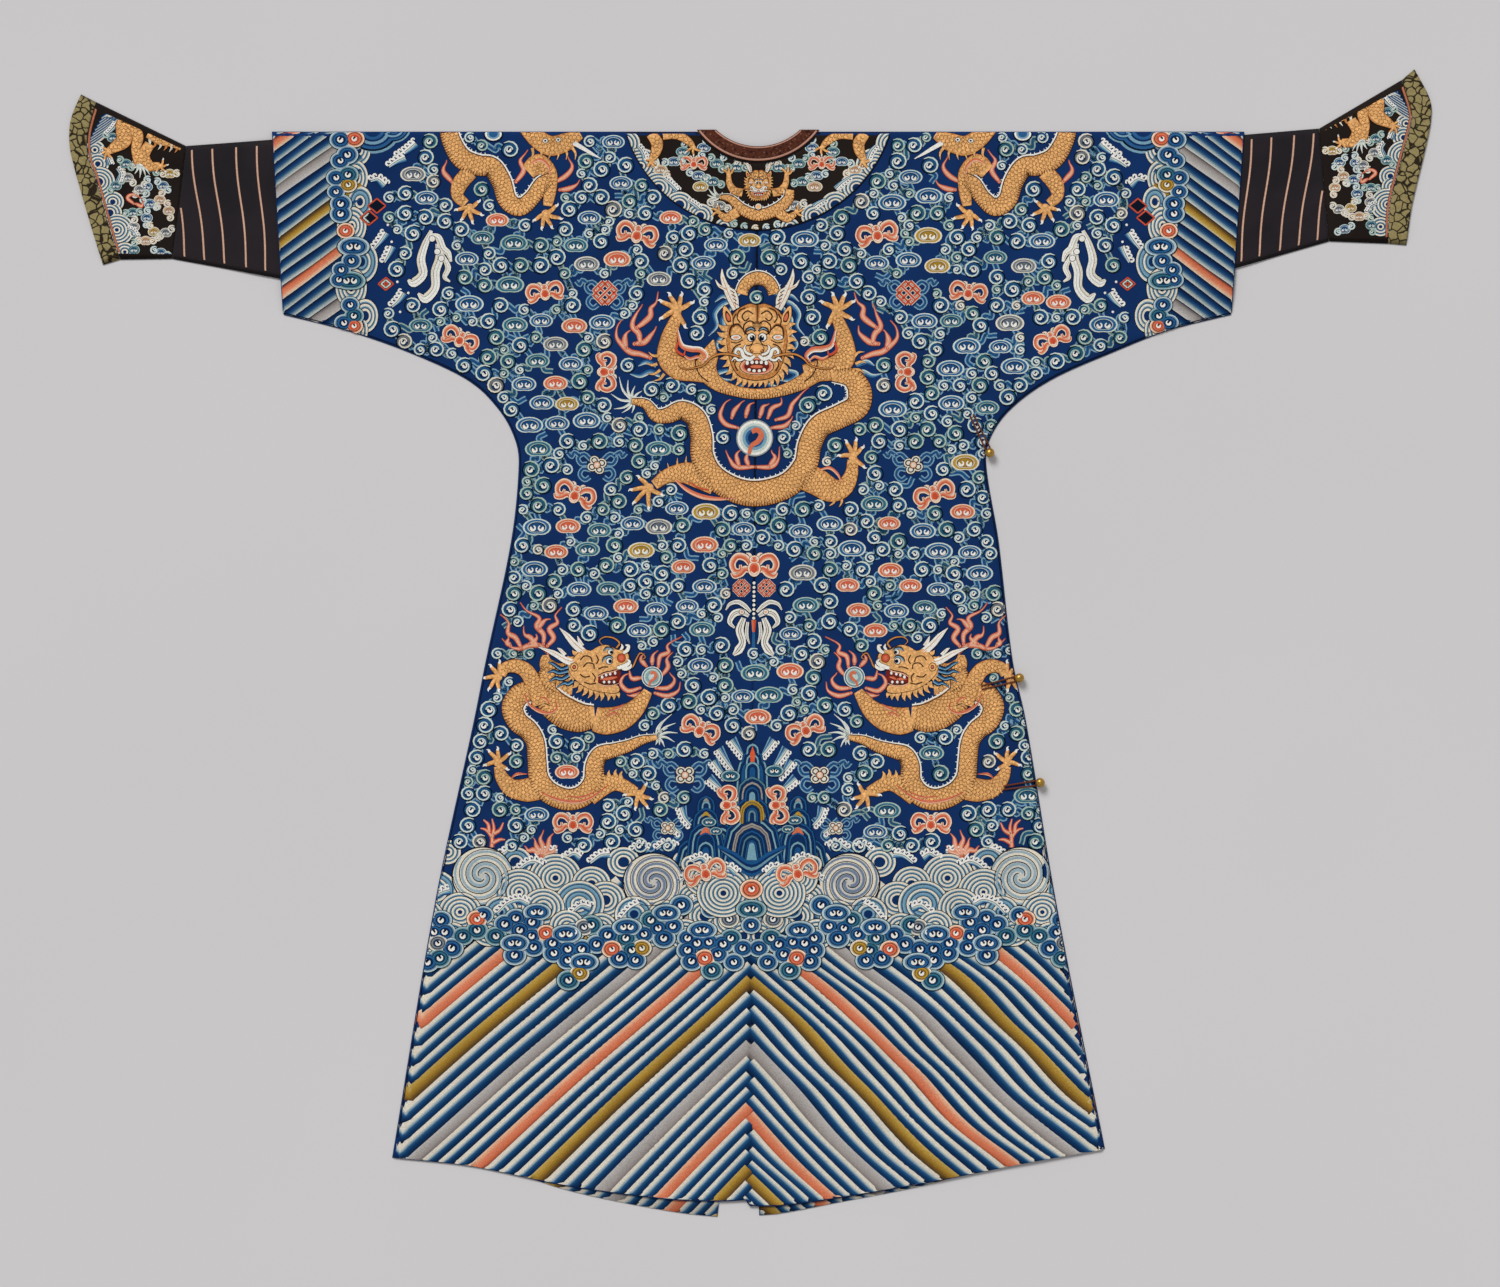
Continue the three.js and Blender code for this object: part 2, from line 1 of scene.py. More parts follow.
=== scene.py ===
import math
import random
import bpy
import numpy as np
from mathutils.geometry import tessellate_polygon
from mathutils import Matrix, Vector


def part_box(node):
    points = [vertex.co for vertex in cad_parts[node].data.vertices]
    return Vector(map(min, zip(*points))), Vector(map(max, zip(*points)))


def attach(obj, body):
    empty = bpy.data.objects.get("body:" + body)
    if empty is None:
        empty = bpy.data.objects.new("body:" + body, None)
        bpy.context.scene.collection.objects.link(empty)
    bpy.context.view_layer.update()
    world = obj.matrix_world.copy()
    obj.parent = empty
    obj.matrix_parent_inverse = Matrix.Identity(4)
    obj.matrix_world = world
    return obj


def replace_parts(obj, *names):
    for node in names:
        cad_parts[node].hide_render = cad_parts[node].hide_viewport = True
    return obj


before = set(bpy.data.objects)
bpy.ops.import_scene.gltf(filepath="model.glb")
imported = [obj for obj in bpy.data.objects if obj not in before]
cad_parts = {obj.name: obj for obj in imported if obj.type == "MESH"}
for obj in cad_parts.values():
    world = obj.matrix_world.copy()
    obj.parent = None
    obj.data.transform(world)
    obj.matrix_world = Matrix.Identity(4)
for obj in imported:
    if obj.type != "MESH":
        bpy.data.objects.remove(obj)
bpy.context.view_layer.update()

# Sizes in millimetres, as on the robe's solids; PX is one pixel of the photograph
PX = 1.32
PAGE_COLUMN, PAGE_ROW = 750, 643
SHOULDER_Y = 674.9
SHOULDER_ROW = PAGE_ROW - SHOULDER_Y / PX
SEAM_TOP, SEAM_FOOT, SEAM_LENGTH = 10.6, -1.3, 1354
CLOTH, LAYER, LIP = 1.2, 1.5, 4.5
SLEEVE_REACH, MOUTH_DEPTH = 641.5, 241.6
SLIT_TOP, FRONT_HEM = 1067, 1432
FRONT_SLIT = {-1: 41, 1: 14}
SIDE_V = [241.6, 261, 288, 327, 367, 407, 440, 539, 697, 776, 1015, 1354]
SIDE_U = {
    -1: [625, 547, 467, 382, 339, 317, 312, 321, 353, 368, 417, 471],
    1: [627, 549, 479, 391, 336, 309, 305, 322, 342, 360, 402, 472],
}
HEM_U = [0, 40, 110, 240, 370, 472]
HEM = {
    ("back", -1): [1410, 1412, 1409, 1392, 1366, 1355],
    ("back", 1): [1418, 1418, 1409, 1387, 1362, 1344],
    ("front", -1): [1432, 1432, 1424, 1398, 1360, 1349],
    ("front", 1): [1431, 1428, 1415, 1390, 1356, 1338],
}
NECKBAND = dict(outer=99, outer_centre=-59.4, inner=80.5, inner_centre=-61.1)
YOKE_RADIUS, YOKE_CENTRE = 183.2, -52.5

# Where the layers under the back end: above DROP_END they fall away from DROP_START on, over DROP_SPAN, and
# on the left they thin out over SPREAD from the seam
DROP_START, DROP_SPAN, DROP_END, SPREAD = 330, 270, 440, 240
MOUTH_LIFT = dict(height=3.6, start=495, span=77, end=205, fade=34)

# Creases in the back: u, v, direction in degrees, half length, half width, height
FOLDS = [
    (-470, 150, 8, 120, 34, 1.6), (455, 165, -6, 110, 36, 1.8), (-345, 300, 38, 95, 26, 2.4),
    (350, 292, -40, 100, 28, 2.1), (-215, 470, 62, 130, 36, 1.7), (208, 452, -58, 120, 34, 2.0),
    (-120, 820, 84, 190, 44, 1.5), (142, 900, 97, 210, 42, 1.8), (-290, 1140, 99, 190, 40, 2.3),
    (275, 1190, 80, 170, 38, 2.0), (-130, 1290, 93, 120, 36, 2.2), (390, 1300, 76, 90, 34, 1.7),
]
SOFT_FOLDS = [
    (-60, 1180, 88, 150, 16, 0.5), (92, 1120, 96, 170, 15, 0.6), (-205, 1240, 102, 120, 14, 0.5),
    (215, 1290, 84, 110, 15, 0.6), (-330, 980, 95, 130, 17, 0.4), (330, 1010, 82, 120, 16, 0.5),
    (-250, 300, 25, 90, 13, 0.4), (262, 310, -28, 100, 14, 0.5), (-520, 90, 84, 60, 12, 0.5),
    (530, 120, 95, 70, 12, 0.4), (-95, 560, 80, 140, 18, 0.35), (110, 640, 99, 150, 17, 0.4),
]


def srgb(red, green, blue):
    c = np.array([red, green, blue]) / 255
    return np.where(c <= 0.04045, c / 12.92, ((c + 0.055) / 1.055) ** 2.4)


GROUND = srgb(12, 38, 80)
INK = srgb(10, 20, 38)
NAVY = srgb(14, 48, 96)
MID = srgb(44, 96, 146)
SKY = srgb(126, 166, 188)
PALE = srgb(206, 218, 208)
TEAL = srgb(84, 126, 142)
SAGE = srgb(150, 174, 168)
CREAM = srgb(234, 226, 208)
WHITE = srgb(248, 245, 236)
CORAL = srgb(222, 118, 84)
PINK = srgb(240, 178, 146)
RED = srgb(208, 84, 56)
OCHRE = srgb(190, 150, 56)
GRAY = srgb(160, 152, 146)
GOLD = srgb(250, 188, 120)
AMBER = srgb(214, 142, 78)
UMBER = srgb(64, 38, 26)
DARK = srgb(26, 20, 18)


def smooth(t):
    t = np.clip(t, 0, 1)
    return t * t * (3 - 2 * t)


def unit(vectors):
    """The same directions, with a length of one."""
    return vectors / np.maximum(np.linalg.norm(vectors, axis=-1), 1e-6)[..., None]


def heading(line):
    """The way a line runs at each of its points, and the way across it."""
    ahead = unit(np.gradient(line, axis=0))
    return ahead, np.column_stack([-ahead[:, 1], ahead[:, 0]])


def reach_along(line):
    """How far along a line each of its points lies."""
    return np.concatenate([[0], np.cumsum(np.linalg.norm(np.diff(line, axis=0), axis=1))])


def read_at(at, reach, *lines):
    """The places of lines at a distance along the first one."""
    return [np.array([np.interp(at, reach, values) for values in line.T]) for line in lines]


def hermite(keys, values, at):
    """The smooth curve through a table, carried straight on past its ends."""
    keys, values, at = np.asarray(keys, float), np.asarray(values, float), np.asarray(at, float)
    slope = np.gradient(values, keys)
    slope[1:-1] = (values[2:] - values[:-2]) / (keys[2:] - keys[:-2])
    i = np.clip(np.searchsorted(keys, at) - 1, 0, len(keys) - 2)
    step = keys[i + 1] - keys[i]
    t = (at - keys[i]) / step
    mid = (
        values[i] * (2 * t**3 - 3 * t**2 + 1) + slope[i] * step * (t**3 - 2 * t**2 + t)
        + values[i + 1] * (3 * t**2 - 2 * t**3) + slope[i + 1] * step * (t**3 - t**2)
    )
    before = values[0] + slope[0] * (at - keys[0])
    after = values[-1] + slope[-1] * (at - keys[-1])
    return np.where(at < keys[0], before, np.where(at > keys[-1], after, mid))


def seam_x(v):
    return SEAM_TOP + (SEAM_FOOT - SEAM_TOP) * np.asarray(v) / SEAM_LENGTH


def outer_edge(side, v):
    """Distance of the side edge from the centre seam."""
    v = np.asarray(v, float)
    sleeve = SLEEVE_REACH + (SIDE_U[side][0] - SLEEVE_REACH) * v / MOUTH_DEPTH
    return np.where(v > MOUTH_DEPTH, hermite(SIDE_V, SIDE_U[side], v), sleeve)


def edge_line(side, inset=0.0):
    v = MOUTH_DEPTH + (SIDE_V[-1] + 90 - MOUTH_DEPTH) * np.linspace(0, 1, 91) ** 1.8 + 0.01
    u = outer_edge(side, v)
    lean = outer_edge(side, v + 0.5) - u
    return np.column_stack([u, v]) + inset * unit(np.column_stack([np.full_like(lean, -0.5), lean]))


EDGES = {side: edge_line(side) for side in (-1, 1)}


def nearest_on(line, spots):
    """The nearest place on a line of points to each spot, and how far it is."""
    best = np.full(len(spots), np.inf)
    place = np.array(spots, float)
    for a, b in zip(line[:-1], line[1:]):
        d = b - a
        t = np.clip(((spots - a) @ d) / max(d @ d, 1e-9), 0, 1)
        foot = a + t[:, None] * d
        far = np.linalg.norm(spots - foot, axis=1)
        closer = far < best
        best[closer] = far[closer]
        place[closer] = foot[closer]
    return place, best


def inside_by(u, v):
    """How far a place lies inside the robe's folded and sewn edges; u is signed."""
    u, v = np.broadcast_arrays(np.asarray(u, float), np.asarray(v, float))
    far = np.empty(u.shape)
    for side in (-1, 1):
        pick = (u < 0) == (side < 0)
        spots = np.column_stack([np.abs(u[pick]), v[pick]])
        far[pick] = nearest_on(EDGES[side], spots)[1]
    return np.clip(np.minimum(v, far), 0, None)


def creases(folds, u, v):
    z = np.zeros(np.shape(u))
    for fu, fv, turn, length, width, height in folds:
        turn = math.radians(turn)
        dx, dy = u - fu, fv - v
        along = (dx * math.cos(turn) + dy * math.sin(turn)) / length
        across = (-dx * math.sin(turn) + dy * math.cos(turn)) / width
        z = z + height * np.exp(-along**2 - across**2)
    return z


def underlap_share(reach, v):
    """How much of the inner front's thickness lies under a place."""
    return np.where(v > DROP_END, 1, 1 - np.clip((reach - DROP_START) / DROP_SPAN, 0, 1))


def back_low(u, v):
    """Height of the back's lower face."""
    reach = np.abs(u)
    inside = inside_by(u, v)
    spread = np.clip(1 - reach / SPREAD, 0, 1)
    stack = LAYER + LAYER * np.where(u < 0, spread, underlap_share(reach, v))
    lift, fade = (smooth((at - MOUTH_LIFT[a]) / MOUTH_LIFT[b]) for at, a,
                  b in ((reach, "start", "span"), (v, "end", "fade")))
    mouth = MOUTH_LIFT["height"] * lift * (1 - fade)
    relief = creases(FOLDS, u, v) * smooth(inside / 40)
    return (stack + mouth + relief) * np.clip(inside / LIP, 0, 1)


def back_top(u, v):
    inside = inside_by(u, v)
    ripple = 0.12 * np.sin(u / 19 + np.sin(v / 37)) * np.sin(v / 27 + 1.3 * np.sin(u / 61))
    return back_low(u, v) + CLOTH + (creases(SOFT_FOLDS, u, v) + ripple) * smooth(inside / 30)


FIELD_STEP = 3.0
field_u = np.arange(-660, 661, FIELD_STEP)
field_v = np.arange(-6, 1446, FIELD_STEP)
field_z = back_top(*np.meshgrid(field_u, field_v))


def field(u, v):
    """Height of the back's face, read between evenly spaced samples."""
    fu = np.clip((u - field_u[0]) / FIELD_STEP, 0, len(field_u) - 1.001)
    fv = np.clip((v - field_v[0]) / FIELD_STEP, 0, len(field_v) - 1.001)
    i, j = fv.astype(int), fu.astype(int)
    s, t = fv - i, fu - j
    return (
        field_z[i, j] * (1 - s) * (1 - t) + field_z[i, j + 1] * (1 - s) * t
        + field_z[i + 1, j] * s * (1 - t) + field_z[i + 1, j + 1] * s * t
    )


# Materials


class Look:
    """A material built node by node; inputs are values or the outputs of other nodes."""

    def __init__(self, name):
        self.material = bpy.data.materials.new(name)
        self.material.use_nodes = True
        self.tree = self.material.node_tree
        self.tree.nodes.clear()
        self.out = self.tree.nodes.new("ShaderNodeOutputMaterial")
        self.where = self.node("TexCoord").outputs["Object"]

    def node(self, kind, settings=None, **inputs):
        made = self.tree.nodes.new("ShaderNode" + kind)
        for key, value in (settings or {}).items():
            setattr(made, key, value)
        for key, value in inputs.items():
            numbered = key[0] == "i" and key[1:].isdigit()
            self.join(made.inputs[int(key[1:]) if numbered else key.replace("_", " ")], value)
        return made

    def join(self, slot, value):
        if isinstance(value, bpy.types.NodeSocket):
            self.tree.links.new(value, slot)
        else:
            slot.default_value = value

    def math(self, kind, *values):
        made = self.node("Math", {"operation": kind})
        for slot, value in zip(made.inputs, values):
            self.join(slot, value)
        return made.outputs[0]

    def noise(self, scale, detail=2.0, rough=0.5):
        return self.node("TexNoise", Vector=self.where, Scale=scale, Detail=detail,
                         Roughness=rough).outputs[0]

    def ribs(self, scale, direction, distort):
        settings = {"bands_direction": direction}
        made = self.node("TexWave", settings, Vector=self.where, Scale=scale, Distortion=distort, Detail=1.0)
        return made.outputs[1]

    def mix(self, share, one, two, kind="MIX"):
        made = self.node("Mix", {"data_type": "RGBA", "blend_type": kind})
        for slot, value in ((made.inputs[0], share), (made.inputs[6], one), (made.inputs[7], two)):
            self.join(slot, value)
        return made.outputs[2]

    def ramp(self, value, stops):
        made = self.node("ValToRGB", Fac=value)
        points = made.color_ramp.elements
        for k, (at, tone) in enumerate(stops):
            point = points[k] if k < 2 else points.new(at)
            point.position = at
            point.color = rgba(tone)
        return made.outputs[0]

    def shine(self, value, low, high):
        return self.node("MapRange", Value=value, To_Min=low, To_Max=high).outputs[0]

    def cloth(self, base, rough, bump=None, strength=0.3, depth=0.0005, sheen=0.03, metal=0.0):
        shader = self.node("BsdfPrincipled", Base_Color=base, Roughness=rough, Metallic=metal)
        shader.inputs["Sheen Weight"].default_value = sheen
        shader.inputs["Sheen Roughness"].default_value = 0.4
        shader.inputs["Specular IOR Level"].default_value = 0.04
        if bump is not None:
            lift = self.node("Bump", Height=bump, Strength=strength, Distance=depth)
            self.join(shader.inputs["Normal"], lift.outputs[0])
        self.tree.links.new(shader.outputs[0], self.out.inputs[0])
        return self.material


def rgba(tone):
    tone = [float(x) for x in tone]
    return tone if len(tone) == 4 else tone + [1.0]


def grey(value):
    return (value, value, value)


def thread_bump(look, scale=520):
    """Fine warp and weft, with a little slub."""
    across = look.ribs(scale, "Y", 0.6)
    along = look.ribs(scale * 0.8, "X", 0.8)
    return look.math("ADD", look.math("MULTIPLY", across, 0.6), look.math("MULTIPLY", along, 0.4))


def silk(name, tone, second, scale=520):
    look = Look(name)
    patches = look.noise(9, 4, 0.6)
    grain = look.noise(420, 2, 0.7)
    base = look.mix(look.ramp(patches, [(0.35, grey(0)), (0.7, grey(1))]), rgba(tone), rgba(second))
    worn = look.mix(look.math("MULTIPLY", grain, 0.3), base, rgba(np.minimum(tone * 2.0 + 0.004, 1)))
    return look.cloth(worn, look.shine(grain, 0.58, 0.8), thread_bump(look, scale), 0.35, 0.0004)


def threads(name, rough=0.66, grain_scale=600, contrast=0.3, cells=0.0):
    """Embroidery: the tone of each stitch area, broken up by thread grain."""
    look = Look(name)
    tone = look.node("Attribute", {"attribute_name": "tone"}).outputs[0]
    grain = look.noise(grain_scale, 2, 0.7)
    shade = look.ramp(grain, [(0.3, grey(1 - contrast)), (0.7, grey(1 + contrast * 0.3))])
    base = look.mix(1.0, tone, shade, "MULTIPLY")
    wear = look.ramp(look.noise(14, 3, 0.6), [(0.3, grey(0.9)), (0.75, grey(1.06))])
    base = look.mix(1.0, base, wear, "MULTIPLY")
    height = thread_bump(look, 620)
    if cells:
        scales = look.node("TexVoronoi", {"feature": "F1"}, Vector=look.where, Scale=cells).outputs[0]
        marks = look.ramp(scales, [(0.2, grey(1.12)), (0.66, grey(0.72))])
        base = look.mix(1.0, base, marks, "MULTIPLY")
        height = look.math("SUBTRACT", height, scales)
    return look.cloth(base, look.shine(grain, rough - 0.12, rough + 0.1), height, 0.4, 0.0004, 0.02)


GROUND_SILK = silk("blue_tapestry_silk", GROUND, srgb(15, 48, 98))
STITCHES = threads("silk_stitches")
SCALES = threads("gold_stitches", 0.55, 520, 0.22, 300)
YOKE_SILK = silk("dark_tapestry_silk", DARK, srgb(36, 28, 24))
SLEEVE_SILK = silk("dark_sleeve_silk", srgb(31, 28, 32), srgb(42, 36, 38), 430)


def brocade():
    """Olive gold, divided by dark winding lines."""
    look = Look("gold_brocade_border")
    bent = look.node("TexNoise", Vector=look.where, Scale=60).outputs[1]
    place = look.node("VectorMath", {"operation": "MULTIPLY_ADD"}, i0=bent, i1=(0.012, 0.012, 0.0),
                      i2=look.where).outputs[0]
    lines = look.node("TexVoronoi", {"feature": "DISTANCE_TO_EDGE"}, Vector=place, Scale=95).outputs[0]
    base = look.ramp(lines, [(0.05, srgb(44, 36, 26)), (0.11, srgb(150, 136, 92))])
    grain = look.ramp(look.noise(420), [(0.3, grey(0.8)), (0.7, grey(1.12))])
    base = look.mix(1.0, base, grain, "MULTIPLY")
    return look.cloth(base, 0.6, look.math("ADD", look.math("MULTIPLY", lines, 3.0), thread_bump(look)), 0.4)


def figured_band():
    """Red-brown figured silk, flecked dark and pale."""
    look = Look("neckband_figured_silk")
    flecks = look.noise(260, 3, 0.7)
    base = look.ramp(flecks, [(0.36, srgb(38, 20, 16)), (0.5, srgb(84, 44, 32))])
    cells = look.node("TexVoronoi", Vector=look.where, Scale=210).outputs[0]
    pale = look.ramp(cells, [(0.16, grey(1)), (0.3, grey(0))])
    base = look.mix(look.math("MULTIPLY", pale, 0.5), base, rgba(srgb(146, 104, 80)))
    return look.cloth(base, 0.65, look.math("ADD", flecks, thread_bump(look)), 0.4)


BORDER_SILK, BAND_SILK = brocade(), figured_band()


# Embroidery


def catmull(points, per):
    """A smooth line through points."""
    points = np.asarray(points, float)
    if len(points) < 3:
        t = np.linspace(0, 1, per + 1)[:, None]
        return points[0] * (1 - t) + points[-1] * t
    full = np.vstack([2 * points[0] - points[1], points, 2 * points[-1] - points[-2]])
    out = []
    for k in range(1, len(full) - 2):
        p0, p1, p2, p3 = full[k - 1 : k + 3]
        t = np.linspace(0, 1, per, endpoint=False)[:, None]
        out.append(
            0.5 * (2 * p1 + (p2 - p0) * t + (2 * p0 - 5 * p1 + 4 * p2 - p3) * t**2
                   + (3 * p1 - p0 - 3 * p2 + p3) * t**3)
        )
    out.append(points[-1:])
    return np.vstack(out)


def spread(values, count):
    return np.interp(np.linspace(0, 1, count), np.linspace(0, 1, len(values)), values)


class Embroidery:
    """Areas of stitches, drawn on the page: px from the seam, row, and height over the cloth in mm."""

    def __init__(self, **place):
        self.points, self.tones, self.faces, self.count = [], [], [], 0
        self.set(**place)

    def set(self, centre=(0, 0), size=1.0, origin=(0, 0), level=0.0, flip=1, turn=0.0):
        """Later areas are given about an origin, then scaled, flipped, turned and moved to a centre."""
        self.centre, self.size, self.origin = np.array(centre, float), size, np.array(origin, float)
        self.level, self.flip, self.turn = level, flip, math.radians(turn)

    def page(self, spots):
        spots = (np.asarray(spots, float) - self.origin) * self.size * [self.flip, 1]
        c, s = math.cos(self.turn), math.sin(self.turn)
        return spots @ np.array([[c, s], [-s, c]]) + self.centre

    def add(self, spots, level, tone, faces):
        spots = self.page(spots)
        n = len(spots)
        self.points.append(np.column_stack([spots, np.broadcast_to(level, n) + self.level]))
        self.tones.append(np.broadcast_to(tone, (n, 3)))
        self.faces.append(np.asarray(faces, int) + self.count)
        self.count += n

    def strip(self, one, two, levels, tones, closed):
        n = len(one)
        k = np.arange(n if closed else n - 1)
        m = (k + 1) % n
        faces = np.vstack([np.column_stack([k, m, m + n]), np.column_stack([k, m + n, k + n])])
        level = np.concatenate([np.broadcast_to(levels[0], n), np.broadcast_to(levels[1], n)])
        tone = np.vstack([np.broadcast_to(tones[0], (n, 3)), np.broadcast_to(tones[1], (n, 3))])
        self.add(np.vstack([one, two]), level, tone, faces)

    def ribbon(self, path, width, bands, level, dome=0.0, per=5):
        """A band along a path, in one tone or in tones given across it from -1 to 1."""
        bands = [(-1, 1, bands)] if isinstance(bands, np.ndarray) else bands
        line = catmull(path, per)
        half = spread(np.atleast_1d(width), len(line))
        _, side = heading(line)
        for low, high, *tones in bands:
            edges = [line + side * (half * s)[:, None] for s in (low, high)]
            heights = [level + dome * (1 - s * s) for s in (low, high)]
            self.strip(*edges, heights, (tones[0], tones[-1]), False)
        return line, side, half

    def rings(self, centre, outline, scales, tones, level, dome=0.0):
        """Nested rings of one outline, from its edge to its middle."""
        centre, outline = np.asarray(centre, float), np.asarray(outline, float)
        reach = list(scales) + [0.0]
        for k, tone in enumerate(tones):
            outer, inner = reach[k], reach[k + 1]
            heights = [level + dome * (1 - s * s) for s in (outer, inner)]
            self.strip(centre + outline * outer, centre + outline * inner, heights, (tone, tone), True)

    def fill(self, outline, tone, level):
        outline = np.asarray(outline, float)
        faces = tessellate_polygon([[(x, y, 0.0) for x, y in outline]])
        self.add(outline, level, tone, [tuple(f) for f in faces])

    def stitch(self, name, place, material, mirror=False):
        points, tones = np.vstack(self.points), np.vstack(self.tones)
        faces = np.vstack(self.faces)
        if mirror:
            faces = np.vstack([faces, faces + len(points)])
            points = np.vstack([points, points * [-1, 1, 1]])
            tones = np.vstack([tones, tones])
        xyz, outside = place(points)
        faces = faces[~outside[faces].all(axis=1)]
        a, b, c = (xyz[faces[:, k], :2] for k in range(3))
        area = (b - a)[:, 0] * (c - a)[:, 1] - (b - a)[:, 1] * (c - a)[:, 0]
        faces[area < 0] = faces[area < 0][:, ::-1]
        faces = faces[np.abs(area) > 2e-3]
        used = np.unique(faces)
        renumber = np.zeros(len(xyz), int)
        renumber[used] = np.arange(len(used))
        made = mesh_object(name, xyz[used], renumber[faces], material)
        tone = made.data.attributes.new("tone", "FLOAT_COLOR", "POINT")
        tone.data.foreach_set("color", np.column_stack([tones[used], np.ones(len(used))]).ravel())
        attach(made, "root")
        return made


def mesh_object(name, xyz, faces, material):
    """xyz is in millimetres; faces are triangles or quads."""
    faces = np.asarray(faces, int)
    corners = faces.shape[1]
    mesh = bpy.data.meshes.new(name)
    mesh.vertices.add(len(xyz))
    mesh.vertices.foreach_set("co", (np.asarray(xyz) * 0.001).astype(np.float32).ravel())
    mesh.loops.add(faces.size)
    mesh.loops.foreach_set("vertex_index", faces.ravel())
    mesh.polygons.add(len(faces))
    mesh.polygons.foreach_set("loop_start", np.arange(0, faces.size, corners))
    mesh.polygons.foreach_set("loop_total", np.full(len(faces), corners))
    mesh.polygons.foreach_set("use_smooth", np.full(len(faces), True))
    mesh.materials.append(material)
    mesh.update(calc_edges=True)
    mesh.validate()
    made = bpy.data.objects.new(name, mesh)
    bpy.context.scene.collection.objects.link(made)
    return made


def half_outline(side, inset=0.0):
    """The back half's outline just inside its edges, as u and v."""
    v = np.linspace(0.8, MOUTH_DEPTH, 12)
    end = np.column_stack([outer_edge(side, v) - 1 - inset, v])
    under = edge_line(side, 1.5 + inset)
    under = under[(under[:, 1] < 1338) & (under[:, 1] > MOUTH_DEPTH - 4)]
    u = np.linspace(under[-1, 0], 0, 24)
    hem = np.column_stack([u, hermite(HEM_U, HEM[("back", side)], u) - 1.5 - inset])
    return np.vstack([[0, 0.8], end, under, hem, [0, 0.8]])


OUTLINE = {side: half_outline(side) for side in (-1, 1)}


EDGE_INSET, DRAWN_IN_LIFT = 1.5, 0.1


def on_back(points):
    """Places page areas on the back, and draws in what lies past its outline."""
    u = points[:, 0] * PX
    v = (points[:, 1] - SHOULDER_ROW) * PX
    outside = np.zeros(len(u), bool)
    for side in (-1, 1):
        mine = (u < 0) == (side < 0)
        reach = np.abs(u)
        hem = hermite(HEM_U, HEM[("back", side)], reach) - EDGE_INSET
        past = mine & ((v < 0.8) | (v > hem) | (reach > outer_edge(side, v) - EDGE_INSET))
        if past.any():
            spots, _ = nearest_on(OUTLINE[side], np.column_stack([reach[past], v[past]]))
            u[past], v[past] = side * spots[:, 0], spots[:, 1]
        outside |= past
    z = field(u, v) + np.where(outside, DRAWN_IN_LIFT, points[:, 2])
    return np.column_stack([seam_x(v) + u, SHOULDER_Y - v, z]), outside


# Cloth shells


def closed_skin(name, xyz, quads, material):
    """A closed piece with its faces turned outward: its volume is then positive."""
    a, b, c, d = (xyz[quads[:, k]] - xyz.mean(axis=0) for k in range(4))
    volume = (a * np.cross(b, c)).sum() + (a * np.cross(c, d)).sum()
    made = mesh_object(name, xyz, quads if volume > 0 else quads[:, ::-1], material)
    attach(made, "root")
    return made


def around(grid):
    """The values round the rim of a grid, back to the first."""
    return np.concatenate([grid[0], grid[1:, -1], grid[-1, -2::-1], grid[-2::-1, 0]])


def shell(name, x, y, high, low, material):
    """A thin closed cloth over a grid of places."""
    xyz = np.vstack([np.column_stack([x.ravel(), y.ravel(), z.ravel()]) for z in (high, low)])
    at = np.arange(x.size).reshape(x.shape)
    top = np.stack([at[:-1, :-1], at[1:, :-1], at[1:, 1:], at[:-1, 1:]], -1).reshape(-1, 4)
    p, q = around(at)[:-1], around(at)[1:]
    edge = np.column_stack([p, q, q + x.size, p + x.size])
    return closed_skin(name, xyz, np.vstack([top, top[:, ::-1] + x.size, edge]), material)


HEM_EASE, LIPS_IN = 1010, 2.5


def body_grid(side, rows, cols, lip, inner, outer, hem):
    """Places from the seam to the side edge as u and v, one row to each level."""
    rows = np.asarray(rows, float)[:, None]
    share = np.concatenate([np.linspace(0, 1, cols), [1, 1, 1]])[None, :]
    lips = np.concatenate([np.full(cols, LIPS_IN), [1, 0.5, 0]])[None, :]

    def column(v):
        lean = outer_edge(side, v + 1) - outer_edge(side, v)
        narrow = lip * np.where(v < MOUTH_DEPTH, 1, np.hypot(1, lean))
        return inner(v) * (1 - share) + (outer(v) - lips * narrow) * share

    last = rows[-1, 0]
    ease = smooth((rows - HEM_EASE) / (last - HEM_EASE))
    v = rows + (hem(column(rows)) - last) * ease
    return column(v), v


def hem_of(kind, side):
    return lambda u: hermite(HEM_U, HEM[(kind, side)], u)


def arc_width(radius, centre, v):
    return np.sqrt(np.clip(radius**2 - (v - centre) ** 2, 0, None))


SEAM_GAP = 0.15
SEAM_DIP = dict(depth=0.35, width=1.6, start=44)


def back_panel(side):
    neck_rows = [0, 2, 4.5, 9, 14, 18, 22, 26, 29, 32, 34, 36, 37.2, 38.2, 38.9, 39.4, 39.65, 42]
    rows = np.unique(np.concatenate([neck_rows, np.arange(48, 236, 8), np.arange(236, 330, 6),
                                     np.arange(330, 1411, 8), [1410]]))

    def inner(v):
        slit = SEAM_GAP + 1.2 * smooth((v - SLIT_TOP) / 60)
        return np.maximum(arc_width(NECKBAND["outer"], NECKBAND["outer_centre"], v), slit)

    u, v = body_grid(side, rows, 74, LIP, inner, lambda v: outer_edge(side, v), hem_of("back", side))
    low = back_low(side * u, v)
    high = back_top(side * u, v)
    across = np.exp(-((u - SEAM_GAP) / SEAM_DIP["width"]) ** 2)
    seam_dip = SEAM_DIP["depth"] * across * (v > SEAM_DIP["start"]) * (v < SLIT_TOP)
    return seam_x(v) + side * u, SHOULDER_Y - v, high - seam_dip, low


INSET = {side: edge_line(side, 6.2) for side in (-1, 1)}


